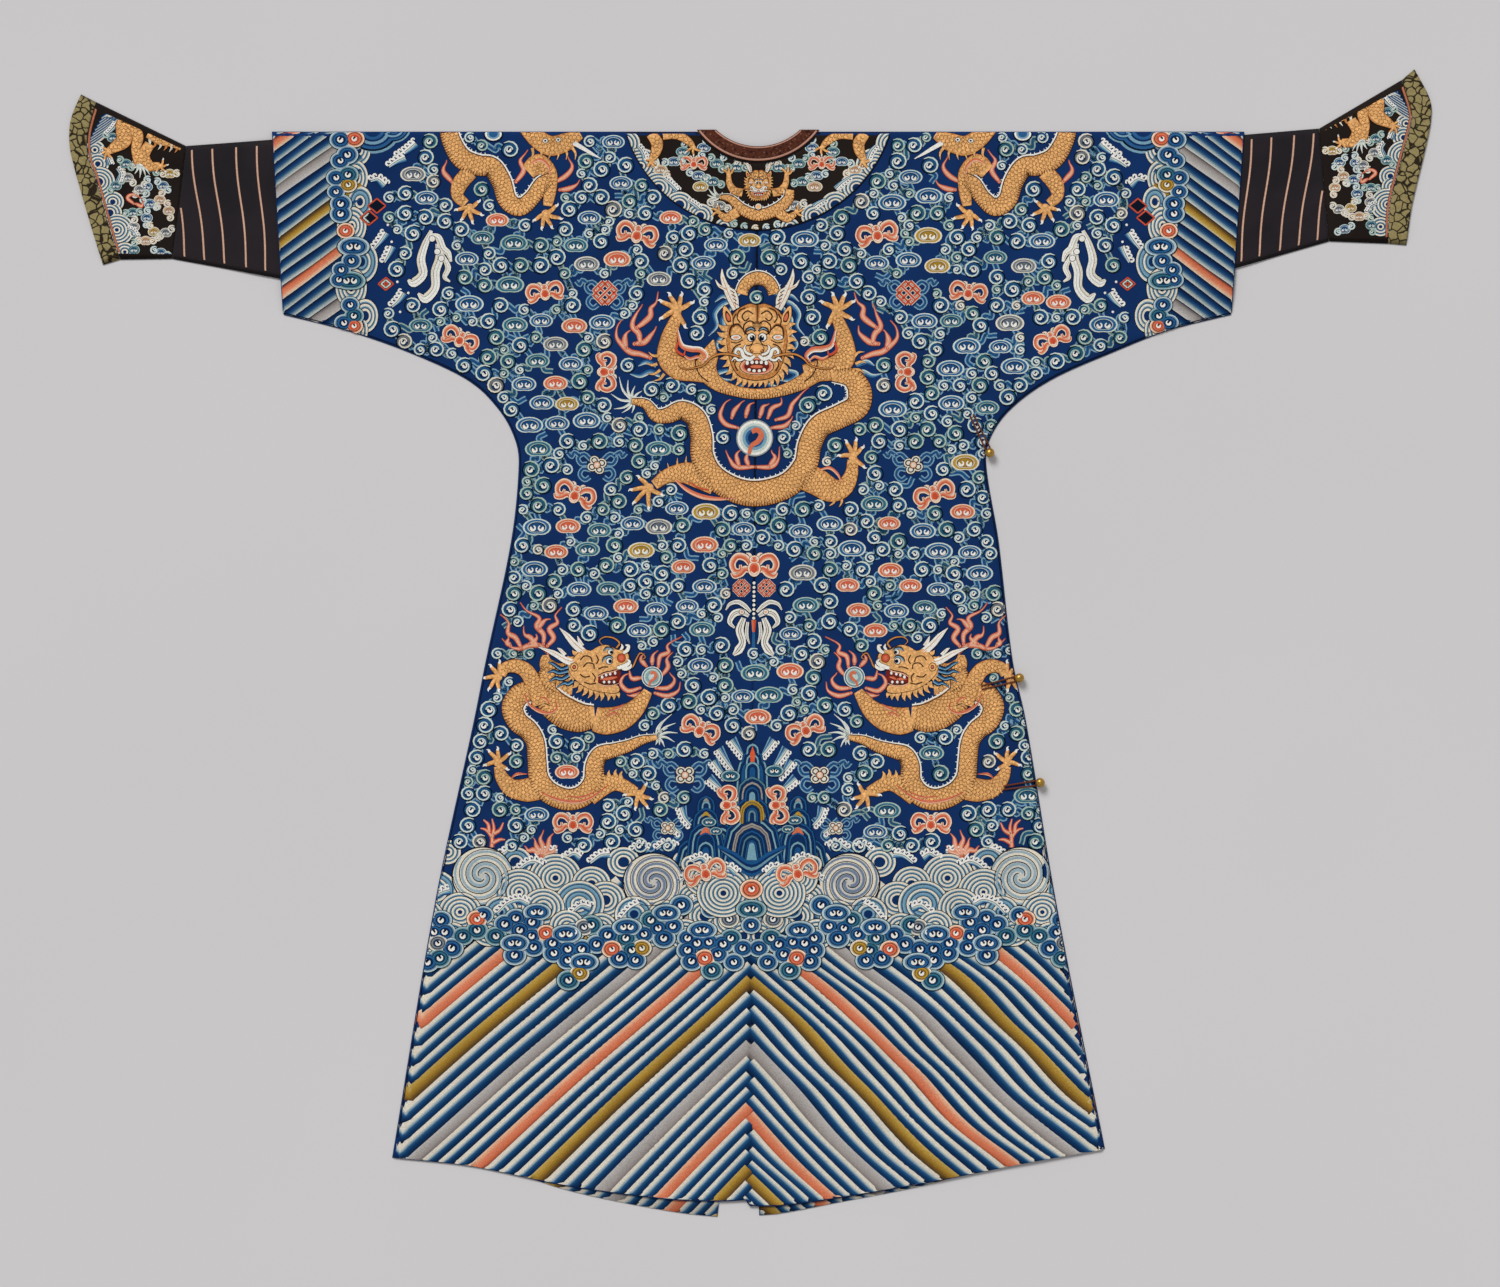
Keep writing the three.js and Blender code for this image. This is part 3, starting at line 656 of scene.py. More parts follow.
def front_outer(side, v):
    line = INSET[side]
    inset = np.interp(v, line[:, 1], line[:, 0])
    return np.where(v <= line[0, 1], outer_edge(side, v) - 1, inset)


def front_slit(side, v):
    return SEAM_GAP + FRONT_SLIT[side] * np.clip((v - SLIT_TOP) / (FRONT_HEM - SLIT_TOP), 0, 1)


FRONT_NECK = dict(reach=79, depth=100)


def front_neck(v):
    return FRONT_NECK["reach"] * np.sqrt(np.clip(1 - (v / FRONT_NECK["depth"]) ** 2, 0, None))


FRONT_ROWS = [
    6.2, 24, 44, 60, 74, 84, 91, 96, 99, 100, 104, 150, 190, 225, 234.8, 236, 239, 243, 248, 255, 264,
    276, 290, 306, 324, 344, 368, 400, 436, 440, 480, 540, 620, 720, 840, 960, 1067, 1160, 1250, 1340, 1432,
]


def dense(rows, step):
    out = []
    for a, b in zip(rows[:-1], rows[1:]):
        n = max(1, int(math.ceil((b - a) / step)))
        out.extend(np.linspace(a, b, n, endpoint=False))
    return np.array(out + [rows[-1]])


def front_panel(side):
    if side < 0:
        rows, inner = dense(FRONT_ROWS, 16), lambda v: np.maximum(front_neck(v), front_slit(side, v))
        outer = lambda v: front_outer(side, v)
    else:
        rows, inner = dense([v for v in FRONT_ROWS if v >= 104], 16), lambda v: front_slit(side, v)
        closing_v, closing_u = [104, 150, 220, 320, 440], [30, 96, 150, 222, 297]

        def outer(v):
            edge = front_outer(side, v)
            return np.where(v < closing_v[-1], np.minimum(hermite(closing_v, closing_u, v), edge), edge)
    u, v = body_grid(side, rows, 26, 1, inner, outer, hem_of("front", side))
    waver = 0.15 * np.sin(u / 31) * np.sin(v / 43)
    return seam_x(v) + side * u, SHOULDER_Y - v, CLOTH + waver * (v > 30), np.zeros_like(u)


UNDERLAP = dict(last_row=1390, neck=34, neck_run=98, slant=0.02, inset=2, above_hem=26)


def underlap_panel():
    rows = np.unique(np.minimum(dense(FRONT_ROWS, 16), UNDERLAP["last_row"]))

    def inner(v):
        edge = UNDERLAP["neck"] * smooth(v / UNDERLAP["neck_run"]) + UNDERLAP["slant"] * v
        return np.maximum(front_neck(v), edge)

    outer = lambda v: front_outer(1, v + 4) - UNDERLAP["inset"]
    hem = lambda u: hem_of("back", 1)(u) - UNDERLAP["above_hem"]
    u, v = body_grid(1, rows, 24, 1, inner, outer, hem)
    low = LAYER * underlap_share(u, v)
    return seam_x(v) + u, SHOULDER_Y - v, low + CLOTH, low


def neck_arc(rows, cols, inner, outer, lowest_inner, lowest_outer):
    """Places between two arcs about the neck, as u and v."""
    t = np.linspace(-1, 1, cols)[None, :]
    ends = []
    for (radius, centre), lowest in ((inner, lowest_inner), (outer, lowest_outer)):
        angle = math.acos((lowest - centre) / radius) * t
        ends.append((radius * np.sin(angle), centre + radius * np.cos(angle)))
    s = np.linspace(0, 1, rows)[:, None]
    u = ends[0][0] * (1 - s) + ends[1][0] * s
    v = ends[0][1] * (1 - s) + ends[1][1] * s
    return u, v, s


YOKE_CLOTH = dict(from_neck=2.5, lie=0.15, thick=0.8, face=1.4)


def yoke_panel():
    inner = (NECKBAND["outer"] + YOKE_CLOTH["from_neck"], NECKBAND["outer_centre"])
    u, v, _ = neck_arc(22, 110, inner, (YOKE_RADIUS, YOKE_CENTRE), LIP + 0.5, LIP + 0.5)
    low = back_low(u, v) + LAYER + YOKE_CLOTH["lie"]
    high = np.maximum(low + YOKE_CLOTH["thick"], back_top(u, v) + YOKE_CLOTH["face"])
    return seam_x(v) + u, SHOULDER_Y - v, high, low


def band_low(u, v):
    """Height of the neckband's lower face, as it climbs from the floor over the fronts."""
    depth = np.clip(v, 0, None)
    return LAYER * smooth(depth / 8) + LAYER * np.minimum(1, 1 + u / SPREAD) * smooth(depth / 20)


def neckband_panel():
    inner = (NECKBAND["inner"], NECKBAND["inner_centre"])
    outer = (NECKBAND["outer"] - 0.3, NECKBAND["outer_centre"])
    u, v, s = neck_arc(12, 90, inner, outer, -2.6, -2.6)
    low = band_low(u, v)
    high = low + 1.9 - 0.8 * (2 * s - 1) ** 4 + 0.12 * np.sin(v / 7 + u / 11)
    return seam_x(v) + u, SHOULDER_Y - v, high, low


# The neckband's front half: the reach and the depth of its two edges, and the angle that it turns through
UNDER_BAND = dict(inner=(59, 80), outer=(78.4, 99.4), turn=1.36)


def neckband_under():
    angle = np.linspace(-UNDER_BAND["turn"], UNDER_BAND["turn"], 60)[None, :]
    s = np.linspace(0, 1, 6)[:, None]
    width, depth = (a * (1 - s) + b * s for a, b in zip(UNDER_BAND["inner"], UNDER_BAND["outer"]))
    v = depth * np.cos(angle)
    flat = np.zeros_like(v)
    return seam_x(v) + width * np.sin(angle), SHOULDER_Y - v, flat + CLOTH, flat


SLEEVES = {
    -1: dict(
        inner=[(-607, 666), (-600, 477)],
        joint=[(-744, 656), (-752, 590), (-763, 507)],
        trim=[(-863, 714), (-874, 672), (-873, 641), (-863, 612), (-841, 534), (-831, 506)],
        end=[(-883, 724), (-896, 692), (-898.3, 662), (-893, 632), (-873, 561), (-854, 499)],
    ),
    1: dict(
        inner=[(620, 668), (611, 486)],
        joint=[(751, 679), (756, 620), (764, 530)],
        trim=[(860, 743), (873, 701), (871, 680), (862, 647), (845, 580), (842, 527)],
        end=[(877, 757.3), (897, 718), (898.5, 690), (890, 647), (874, 580), (866, 525)],
    ),
}


def along(points, shares):
    """Places at shares of the way along a smooth line."""
    line = catmull(points, 40)
    reach = reach_along(line)
    at = np.asarray(shares) * reach[-1]
    return np.column_stack([np.interp(at, reach, line[:, k]) for k in (0, 1)])


TUBE_COLUMNS = 31
TUBE_HALF, TUBE_WALL, TUBE_EDGE = 1.5, 1.1, 10


def tube_panel(start, end, stations, base, crown, soft):
    """A flattened sleeve: its outer face and its inner face, the upper half first."""
    w = np.linspace(0.04, 0.96, TUBE_COLUMNS)
    ring_w = np.concatenate([w, [1.0], w[::-1], [0.0]])
    up = np.concatenate([np.ones(TUBE_COLUMNS), [0], -np.ones(TUBE_COLUMNS), [0]])
    s = np.linspace(0, 1, stations + 1)[:, None]
    faces = []
    width = np.linalg.norm(np.subtract(start[-1], start[0]))
    for inset in (0, 1):
        pull = TUBE_EDGE * inset / width
        shares = np.where(up == 0, ring_w * (1 - pull) + 0.5 * pull, ring_w)
        first, last = along(start, shares), along(end, shares)
        spots = first[None] * (1 - s[..., None]) + last[None] * s[..., None]
        bulge = crown * np.sin(np.pi * ring_w) ** 2 * np.sin(np.pi * (0.15 + 0.7 * s))
        wrinkle = soft * np.sin(np.pi * ring_w) * np.sin(ring_w * 17 + s * 5) * np.sin(s * 9 + ring_w * 6)
        z = base(s) + TUBE_HALF + up * (TUBE_HALF - inset * TUBE_WALL) + np.where(up > 0, bulge + wrinkle, 0)
        faces.append((spots[..., 0], spots[..., 1], z + 0 * spots[..., 0]))
    return faces


def tube_shell(name, faces, material):
    n = faces[0][0].size
    xyz = np.vstack([np.column_stack([part.ravel() for part in skin]) for skin in faces])
    at = np.arange(n).reshape(faces[0][0].shape)
    at = np.column_stack([at, at[:, :1]])
    quads = np.stack([at[:-1, :-1], at[1:, :-1], at[1:, 1:], at[:-1, 1:]], -1).reshape(-1, 4)
    ends = [np.column_stack([r[:-1], r[1:], r[1:] + n, r[:-1] + n]) for r in (at[0], at[-1, ::-1])]
    return closed_skin(name, xyz, np.vstack([quads, quads[:, ::-1] + n] + ends), material)


def unrolled(x, y, z, wrap):
    """A grid's flat size, in metres: its longest row, its longest column, and its area."""
    spots = np.dstack([x, y, z]) * 0.001
    if wrap:
        spots = np.concatenate([spots, spots[:, :1]], axis=1)
    across, down = np.diff(spots, axis=1), np.diff(spots, axis=0)
    sizes = [np.linalg.norm(across, axis=2).sum(axis=1).max(), np.linalg.norm(down, axis=2).sum(axis=0).max()]
    area = 0.25 * np.linalg.norm(np.cross(across[:-1] + across[1:], down[:, :-1] + down[:, 1:]), axis=2).sum()
    return sizes, area


class Patch:
    """Lays page areas on a grid of places; x and y are read straight from the page."""

    def __init__(self, x, y, z):
        self.grid = np.column_stack([x.ravel(), y.ravel()])
        self.z = z.ravel()
        self.rim = np.column_stack([around(x), around(y)])

    def holds(self, spots):
        inside = np.zeros(len(spots), bool)
        for a, b in zip(self.rim, np.roll(self.rim, -1, axis=0)):
            crosses = (a[1] > spots[:, 1]) != (b[1] > spots[:, 1])
            reach = (b[0] - a[0]) * (spots[:, 1] - a[1]) / (b[1] - a[1] + 1e-12) + a[0]
            inside ^= crosses & (spots[:, 0] < reach)
        return inside

    def height(self, spots):
        z = np.empty(len(spots))
        for k in range(0, len(spots), 2000):
            part = spots[k : k + 2000]
            far = ((part[:, None] - self.grid[None]) ** 2).sum(-1)
            near = np.argpartition(far, 4, axis=1)[:, :4]
            weight = 1 / (np.take_along_axis(far, near, 1) + 0.05)
            z[k : k + 2000] = (self.z[near] * weight).sum(1) / weight.sum(1)
        return z

    def __call__(self, points):
        spots = points[:, :2] * [PX, -PX] + [0, PAGE_ROW * PX]
        outside = ~self.holds(spots)
        if outside.any():
            spots[outside] = nearest_on(np.vstack([self.rim, self.rim[:1]]), spots[outside])[0]
        z = self.height(spots) + np.where(outside, 0.05, points[:, 2])
        return np.column_stack([spots, z]), outside


# Motifs; their places and sizes are in pixels of the photograph


def seam_px(p):
    return PAGE_COLUMN + seam_x((np.asarray(p) - SHOULDER_ROW) * PX) / PX


def oval(width, height, count, dip=0.0):
    t = np.linspace(0, 2 * np.pi, count, endpoint=False)
    x, y = width / 2 * np.cos(t), height / 2 * np.sin(t)
    return np.column_stack([x, np.where(y > 0, y * (1 - dip * np.exp(-((x / (0.2 * width)) ** 2))), y)])


# Each cloud's tints: outline, dark line, ring, core, and the edge of its tails
TINTS = {
    "blue": (srgb(212, 224, 216), INK, srgb(40, 98, 150), srgb(12, 42, 84), SKY),
    "deep": (SKY, INK, MID, NAVY, SKY),
    "sage": (srgb(176, 198, 186), INK, srgb(48, 108, 134), srgb(14, 50, 82), SAGE),
    "gray": (CREAM, INK, srgb(128, 136, 142), srgb(40, 56, 84), SAGE),
    "coral": (srgb(246, 216, 188), UMBER, CORAL, RED, PINK),
    "ochre": (CREAM, UMBER, OCHRE, srgb(140, 104, 34), CREAM),
    "tan": (CREAM, UMBER, srgb(206, 164, 122), srgb(150, 104, 72), CREAM),
}


def comma(e, x, y, size, flip, level):
    """A small white hook, the eye of a cloud."""
    t = np.linspace(0, 1, 8)
    turn, r = -1.2 + 5.2 * t, size * (0.95 - 0.62 * t)
    path = np.column_stack([x + flip * r * np.cos(turn), y + 0.9 * r * np.sin(turn)])
    e.ribbon(path, size * np.interp(t, [0, 0.5, 1], [0.16, 0.36, 0.5]), WHITE, level, per=1)


def cloud_head(e, x, y, width, height, tint, level):
    """An oval with two white hooks in it."""
    outline, _, ring, core, _ = TINTS[tint]
    shape = oval(width, height, 20, 0.2)
    e.rings((x, y), shape, [1, 0.87, 0.68, 0.6, 0.5],
            [outline, ring, outline * 0.8, core, ring * 0.55 + core * 0.45], level, 0.25)
    for flip in (-1, 1):
        comma(e, x + flip * width * 0.15, y + height * 0.05, width * 0.115, -flip, level + 0.3)


def curl(e, x, y, size, tint, flip, level=0.4):
    """A scroll that winds in to a white eye."""
    outline, line, ring, core, _ = TINTS[tint]
    e.rings((x, y), oval(size, size * 0.92, 14), [1, 0.84, 0.5], [line * 0.8, ring * 0.72, core * 0.9], level,
            0.15)
    t = np.linspace(0, 1, 17)
    turn = 0.9 + 8.4 * t
    r = size * (0.53 - 0.38 * t)
    path = np.column_stack([x + flip * r * np.cos(turn), y - 0.94 * r * np.sin(turn)])
    e.ribbon(path, np.interp(t, [0, 0.1, 0.7, 1], [0.3, 0.88, 0.7, 0.75]), outline, level + 0.2, per=1)
    comma(e, x + flip * size * 0.04, y, size * 0.16, flip, level + 0.3)


def double_line(e, path, tint, width, level=0.2):
    edge, middle = TINTS[tint][4], TINTS[tint][2]
    e.ribbon(path, width, [(-1, -0.5, edge), (-0.5, 0.5, middle * 0.55 + NAVY * 0.45), (0.5, 1, edge)], level,
             per=3)


CLOUD_STEP = (29.5, 20.5)
CLOUD_REACH, CLOUD_ROWS = 372, (130, 852)
STEPPED = ((0, 0), (0.22, 0.3), (0.34, 1.2), (0.46, 0.2), (0.56, -1.1), (0.7, -0.1), (0.82, 0.9), (1, 0))


def cloud_field(e, curls, ground, rng):
    """Double-eyed heads in staggered rows, with curls and trailing lines packed between them."""
    low_a, high_a = -CLOUD_REACH, CLOUD_REACH
    low_p, high_p = CLOUD_ROWS
    step = CLOUD_STEP
    placed = []

    def tint_of(warm):
        draw = rng.random()
        if warm and draw < 0.24:
            return "coral" if draw < 0.17 else "ochre"
        return "blue" if rng.random() < 0.66 else "sage" if rng.random() < 0.84 else "gray"

    for j in range(int((high_p - low_p) / step[1]) + 1):
        for i in range(int((high_a - low_a) / step[0]) + 1):
            a = high_a - 12 - (i + 0.5 * (j % 2)) * step[0] + rng.uniform(-5, 5)
            p = low_p + 8 + j * step[1] + rng.uniform(-5.5, 5.5)
            width = rng.uniform(23, 29)
            if rng.random() < 0.82 and ground.free(a, p, width * 0.5):
                cloud_head(e, a, p, width, width * 0.62, tint_of(True), 0.5)
                ground.take(a, p, width * 0.5 + 1.2)
                placed.append((a, p))
    spots = [(a, p) for a in np.arange(low_a, high_a, 4.0) for p in np.arange(low_p, high_p, 4.0)]
    for size in (17.5, 15, 12.5, 10.5):
        rng.shuffle(spots)
        for a, p in spots:
            grown = size * rng.uniform(0.95, 1.08)
            if ground.free(a, p, grown * 0.53):
                curl(curls, a, p, grown, tint_of(False), rng.choice((-1, 1)))
                ground.take(a, p, grown * 0.5 + rng.uniform(0, 2.4))
                placed.append((a, p))
    placed = np.array(placed)
    for k, (a, p) in enumerate(placed):
        away = np.hypot(placed[:, 0] - a, 1.2 * (placed[:, 1] - p))
        for n in np.argsort(away)[1:4]:
            b, q = placed[n]
            if away[n] < 29 and (n > k or rng.random() < 0.3) and not ground.held((a + b) / 2, (p + q) / 2):
                side = rng.choice((-1, 1)) * 2.6
                steps = [(a + (b - a) * t + side * s * 0.6, p + (q - p) * t + side * s) for t, s in STEPPED]
                double_line(e, steps, "blue" if rng.random() < 0.75 else "sage", 2.9)
    for a, p in placed:
        for way in (rng.uniform(0, 2 * math.pi) for _ in range(3)):
            run, sway = rng.uniform(20, 30), rng.choice((-1, 1)) * rng.uniform(2, 3.2)
            t = np.linspace(0.25, 1, 7)
            x = a + run * t * math.cos(way) - sway * np.sin(7.5 * t) * math.sin(way)
            y = p + 0.8 * run * t * math.sin(way) + sway * np.sin(7.5 * t) * math.cos(way)
            clear = ground.free(x[-1], y[-1], 2.5) and ground.free(x[-2], y[-2], 2)
            if clear and not ground.held(x[2], y[2]):
                double_line(e, list(zip(x, y)), "blue" if rng.random() < 0.7 else "sage", 2.7)
                ground.take(x[-1], y[-1], 3)
                ground.take(x[-2], y[-2], 3)


# Tones across a stripe: from its pale upper edge at 1 to the dark line at -1
STRIPE = {
    "blue": [(1, srgb(234, 226, 208)), (0.34, srgb(226, 218, 202)), (0.12, srgb(142, 168, 182)),
             (-0.04, srgb(40, 90, 134)), (-0.32, srgb(14, 56, 100)), (-0.8, srgb(9, 30, 60))],
    "dusk": [(1, srgb(218, 214, 200)), (0.72, srgb(182, 192, 190)), (0.36, srgb(112, 140, 154)),
             (0.12, srgb(46, 88, 128)), (-0.3, srgb(16, 56, 104)), (-0.8, srgb(9, 30, 64))],
    "coral": [(1, srgb(230, 214, 190)), (0.6, srgb(236, 184, 150)), (0.15, srgb(228, 138, 102)),
              (-0.45, srgb(214, 112, 78)), (-0.84, srgb(130, 66, 48))],
    "ochre": [(1, srgb(216, 206, 176)), (0.6, srgb(196, 164, 84)), (0.1, srgb(172, 132, 48)),
              (-0.4, srgb(112, 82, 38)), (-0.84, srgb(50, 38, 28))],
    "gray": [(1, srgb(206, 201, 194)), (0.4, srgb(184, 178, 174)), (-0.3, srgb(160, 152, 148)),
             (-0.84, srgb(112, 104, 102))],
}


# A shade below 1 scales every tone down: painted shadow on stripes that lie in shade
def stripe(e, path, width, tint, level, per=4, shade=1.0):
    stops = [(at, tone * shade) for at, tone in STRIPE[tint] + [(-1, INK)]]
    bands = [(low, high, c, d) for (high, d), (low, c) in zip(stops[:-1], stops[1:])]
    e.ribbon(path, width, bands, level, 0.35, per)


HEM_REACH, BLUES_BETWEEN, HEM_FOLD = 365, 3, 7.0


def hem_stripes(e, starts, last, top, bend=0.0, shade=1.0):
    """Slanting stripes down from the seam, drawn for the left side; bend gives them a step half-way, and
    their last stretch turns back up where the side edge is folded. A shade below 1 darkens every tone as
    painted shadow."""
    edges = []
    for (tint, p), (_, q) in zip(starts, starts[1:] + [("", last)]):
        period = (q - p) / (BLUES_BETWEEN + 1)
        edges.append((tint, p, period))
        edges.extend(("blue", p + period * (k + 1), period) for k in range(BLUES_BETWEEN))
    for k, (tint, p, period) in enumerate(edges):
        slope = 0.865 + 0.17 * float(smooth((p - 850) / 270))
        path = []
        for a in np.arange(0, HEM_REACH, 10.0):
            row = p + slope * a + 1.5 * math.sin(a / 37 + 0.31 * k)
            row += 1.1 * math.sin(a / 15 + 1.9 * k) * bool(bend)
            step = row - 1078 + 0.3 * max(0, a - 120)
            row += bend * (0.06 * step * math.exp(-((step / 90) ** 2)) - math.tanh(step / 22))
            turn = float(outer_edge(-1, (row - SHOULDER_ROW) * PX)) / PX - HEM_FOLD
            if a > turn:
                folded = row - slope * (a - turn)
                path += [(-turn, folded), (-turn - HEM_FOLD, folded - 1.2 * HEM_FOLD)]
                break
            if row > top - 12:
                path.append((-a, row))
        if len(path) > 2:
            stripe(e, path, period * (0.585 + 0.02 * math.sin(2.3 * k)), tint, 0.15, 2, shade)


def mound(e, a, p, size, tones, level, band=4.2, shape=(2, 1.84)):
    """A round wave of pale bands with dark lines between them."""
    scales, colours = [], []
    for k in range(int(0.98 * size / band)):
        at = 1 - k * band / size
        tone = tones[k % len(tones)]
        scales += [at, at - 0.8 / size, at - 0.7 * band / size]
        colours += [INK, tone, srgb(98, 144, 174)]
    colours[-1] = NAVY
    e.rings((a, p), oval(shape[0] * size, shape[1] * size, 34), scales, colours, level, 0.04)


def whorl(e, a, p, size, deep, level):
    """A great round wave with its lines winding out from the middle."""
    shape = oval(2 * size, 2 * size * 0.96, 40)
    e.rings((a, p), shape, [1, 0.955, 0.5], [INK, CREAM, CREAM * 0.75 + deep * 0.25], level, 0.1)
    for k in range(3):
        t = np.linspace(0.12, 1, 40)
        turn = 2 * np.pi * (k / 3 + 1.5 * t)
        r = size * 0.95 * t
        wide = np.interp(t, [0, 0.5, 1], [1.1, 1.0, 0.7])
        for tone, shift, share in ((deep * 0.8 + CREAM * 0.2, 0.75, 1.3), (INK, 0.0, 0.45)):
            path = np.column_stack([a + r * np.cos(turn + shift), p + 0.96 * r * np.sin(turn + shift)])
            e.ribbon(path, wide * share, tone, level + 0.2 + 0.1 * (share < 1), per=1)


def crest(e, path, side, level, tail=3, size=1.0):
    """Breaking water: a white lip hung with hooks, and a fan of blue lines behind it."""
    line = catmull(path, 5)
    t = np.linspace(0, 1, len(line))
    ahead, across = heading(line)
    out = side * across
    for k in range(tail):
        back = line - out * (1.4 + (0.6 + 1.7 * k) * t)[:, None]
        e.ribbon(back, 1.35 * size, NAVY, level - 0.1 - 0.02 * k, per=1)
        e.ribbon(back, 0.7 * size, (PALE, SKY, MID, SKY)[k % 4], level - 0.04 - 0.02 * k, per=1)
    e.ribbon(line, np.linspace(1.0, 1.6, len(line)) * size, NAVY, level, per=1)
    e.ribbon(line, np.linspace(0.5, 1.1, len(line)) * size, WHITE, level + 0.04, 0.1, per=1)
    reach = reach_along(line)
    for at in np.arange(1.0, reach[-1] + 1, 4.4 * size):
        spot, away, along = read_at(at, reach, line, out, ahead)
        turn = np.linspace(-2.6, 1.9, 7)
        winding = np.outer(np.sin(turn), along) + np.outer(np.cos(turn), away) * 1.1
        hook = spot + away * 2.3 * size + 1.7 * size * winding
        e.rings(spot + away * 2.1 * size, oval(5 * size, 5 * size, 9), [1], [NAVY], level + 0.02)
        e.ribbon(hook, np.array([1.2, 1.1, 1, 0.9, 0.85, 0.8, 0.5]) * size, WHITE, level + 0.08, per=1)


def disc_cloud(e, a, p, size, tint, double, level, flip=1):
    """A flat round cloud of nested rings, with one white hook or two."""
    outline, line, ring, core, _ = TINTS[tint]
    width = size * (1.4 if double else 1)
    shape = oval(width, size * 0.86, 20, 0.08 if double else 0)
    pale = outline * 0.55 + SKY * 0.45 if tint in ("blue", "sage") else outline
    e.rings((a, p), shape, [1.07, 1, 0.86, 0.74, 0.66, 0.48, 0.26],
            [INK, pale * 1.08, ring * 0.75 + pale * 0.25, line, ring, core, line], level, 0.3)
    for k in (-1, 1) if double else (0,):
        comma(e, a + k * width * 0.13, p, size * 0.15, -k or flip, level + 0.4)


# Where the disc clouds of the wave border lie, from the seam, with their tints and sizes
DOUBLE_DISCS = [
    (-214, 912), (-236, 943), (-185, 934), (-167, 962), (-124, 927), (-85, 913), (-49, 930),
]
DISCS = [
    (-246, 924), (-235, 918), (-219, 922), (-231, 930), (-255, 936), (-219, 936), (-288, 936),
    (-274, 930), (-217, 947), (-236, 955), (-177, 932), (-198, 943), (-183, 949), (-169, 949),
    (-154, 944), (-197, 953), (-183, 960), (-182, 980), (-143, 935), (-125, 938), (-107, 934),
    (-119, 950), (-131, 958), (-115, 960), (-93, 928), (-78, 926), (-87, 938), (-63, 938), (-63, 950),
    (-54, 943), (-59, 961), (-42, 942), (-33, 954), (-39, 970), (-24, 901), (-40, 909), (-20, 938),
    (-28, 944), (-310, 920), (-306, 932), (-317, 932), (-299, 948), (-311, 958), (-323, 962), (-17, 962),
    (-8, 948), (-70, 905), (-100, 920), (-160, 925), (-268, 915),
]
WARM_DISCS = [(-274, 919, "coral"), (-205, 933, "coral"), (-139, 949, "coral"), (-46, 958, "coral"),
              (-171, 973, "ochre"), (-109, 948, "ochre"), (-167, 927, "gray"), (-22, 919, "gray"),
              (-313, 943, "gray")]
GREAT_WHORLS = [(-269, 876, 31, SKY), (-98, 882, 31, MID)]
MOUNDS = [
    (-322, 858, 17), (-304, 852, 14), (-236, 862, 17), (-196, 878, 27), (-232, 892, 26), (-160, 884, 20),
    (-128, 862, 17), (-172, 904, 26), (-146, 900, 21), (-117, 914, 20), (-40, 866, 24), (-66, 862, 14),
    (-22, 884, 25), (-316, 890, 22), (-291, 912, 22), (-208, 908, 22), (-250, 912, 18), (-58, 898, 18),
    (-46, 916, 17), (-86, 916, 18), (-326, 918, 20), (-262, 930, 18), (-184, 926, 18), (-232, 932, 16),
    (-150, 928, 17), (-100, 930, 18), (-66, 934, 17), (-20, 920, 18), (-8, 936, 16), (-300, 938, 18),
    (-330, 944, 18),
]
CRESTS = [
    [(-262, 872), (-256, 858), (-246, 850), (-236, 846)],
    [(-238, 874), (-228, 864), (-218, 860), (-208, 864)], [(-214, 856), (-204, 850), (-194, 850)],
    [(-254, 912), (-244, 902), (-232, 898), (-222, 902)], [(-322, 902), (-312, 892), (-302, 888)],
    [(-96, 848), (-86, 842), (-76, 846)], [(-74, 882), (-62, 874), (-54, 878), (-50, 888)],
    [(-66, 908), (-56, 898), (-46, 900), (-42, 910)], [(-34, 866), (-24, 860), (-14, 864), (-6, 872)],
    [(-132, 920), (-122, 908), (-112, 902)], [(-162, 862), (-152, 854), (-142, 852)],
    [(-188, 858), (-178, 852), (-170, 856)], [(-330, 846), (-320, 838), (-312, 840)],
    [(-120, 850), (-112, 844), (-102, 848)], [(-180, 912), (-170, 904), (-160, 906)],
]


def wave_border(e, rng):
    """Rolling waves over the stripes, with clouds heaped along the lower edge."""
    for a, p, size in sorted(MOUNDS, key=lambda m: m[1]):
        tones = (CREAM,) if rng.random() < 0.72 else (CREAM, SKY)
        mound(e, a, p, size, tones, 0.25 + (p - 850) * 0.012)
    for a, p, size, deep in GREAT_WHORLS:
        whorl(e, a, p, size, deep, 0.25 + (p - 835) * 0.012)
    for path in CRESTS:
        crest(e, path, -1, 0.32 + (path[-1][1] - 838) * 0.012)
    for a, p in DISCS:
        size, tint = rng.uniform(21, 24), "blue" if rng.random() < 0.75 else "sage"
        disc_cloud(e, a, p, size, tint, False, 1.5 + (p - 900) * 0.006, rng.choice((-1, 1)))
    for a, p, tint in WARM_DISCS:
        disc_cloud(e, a, p, rng.uniform(18, 21), tint, False, 1.6 + (p - 900) * 0.006)
    for a, p in DOUBLE_DISCS:
        disc_cloud(e, a, p, rng.uniform(20, 22), "blue", True, 1.7 + (p - 900) * 0.006)


# Dragons


HIDE_DOME, SCALE_PITCH = 0.45, 4.3


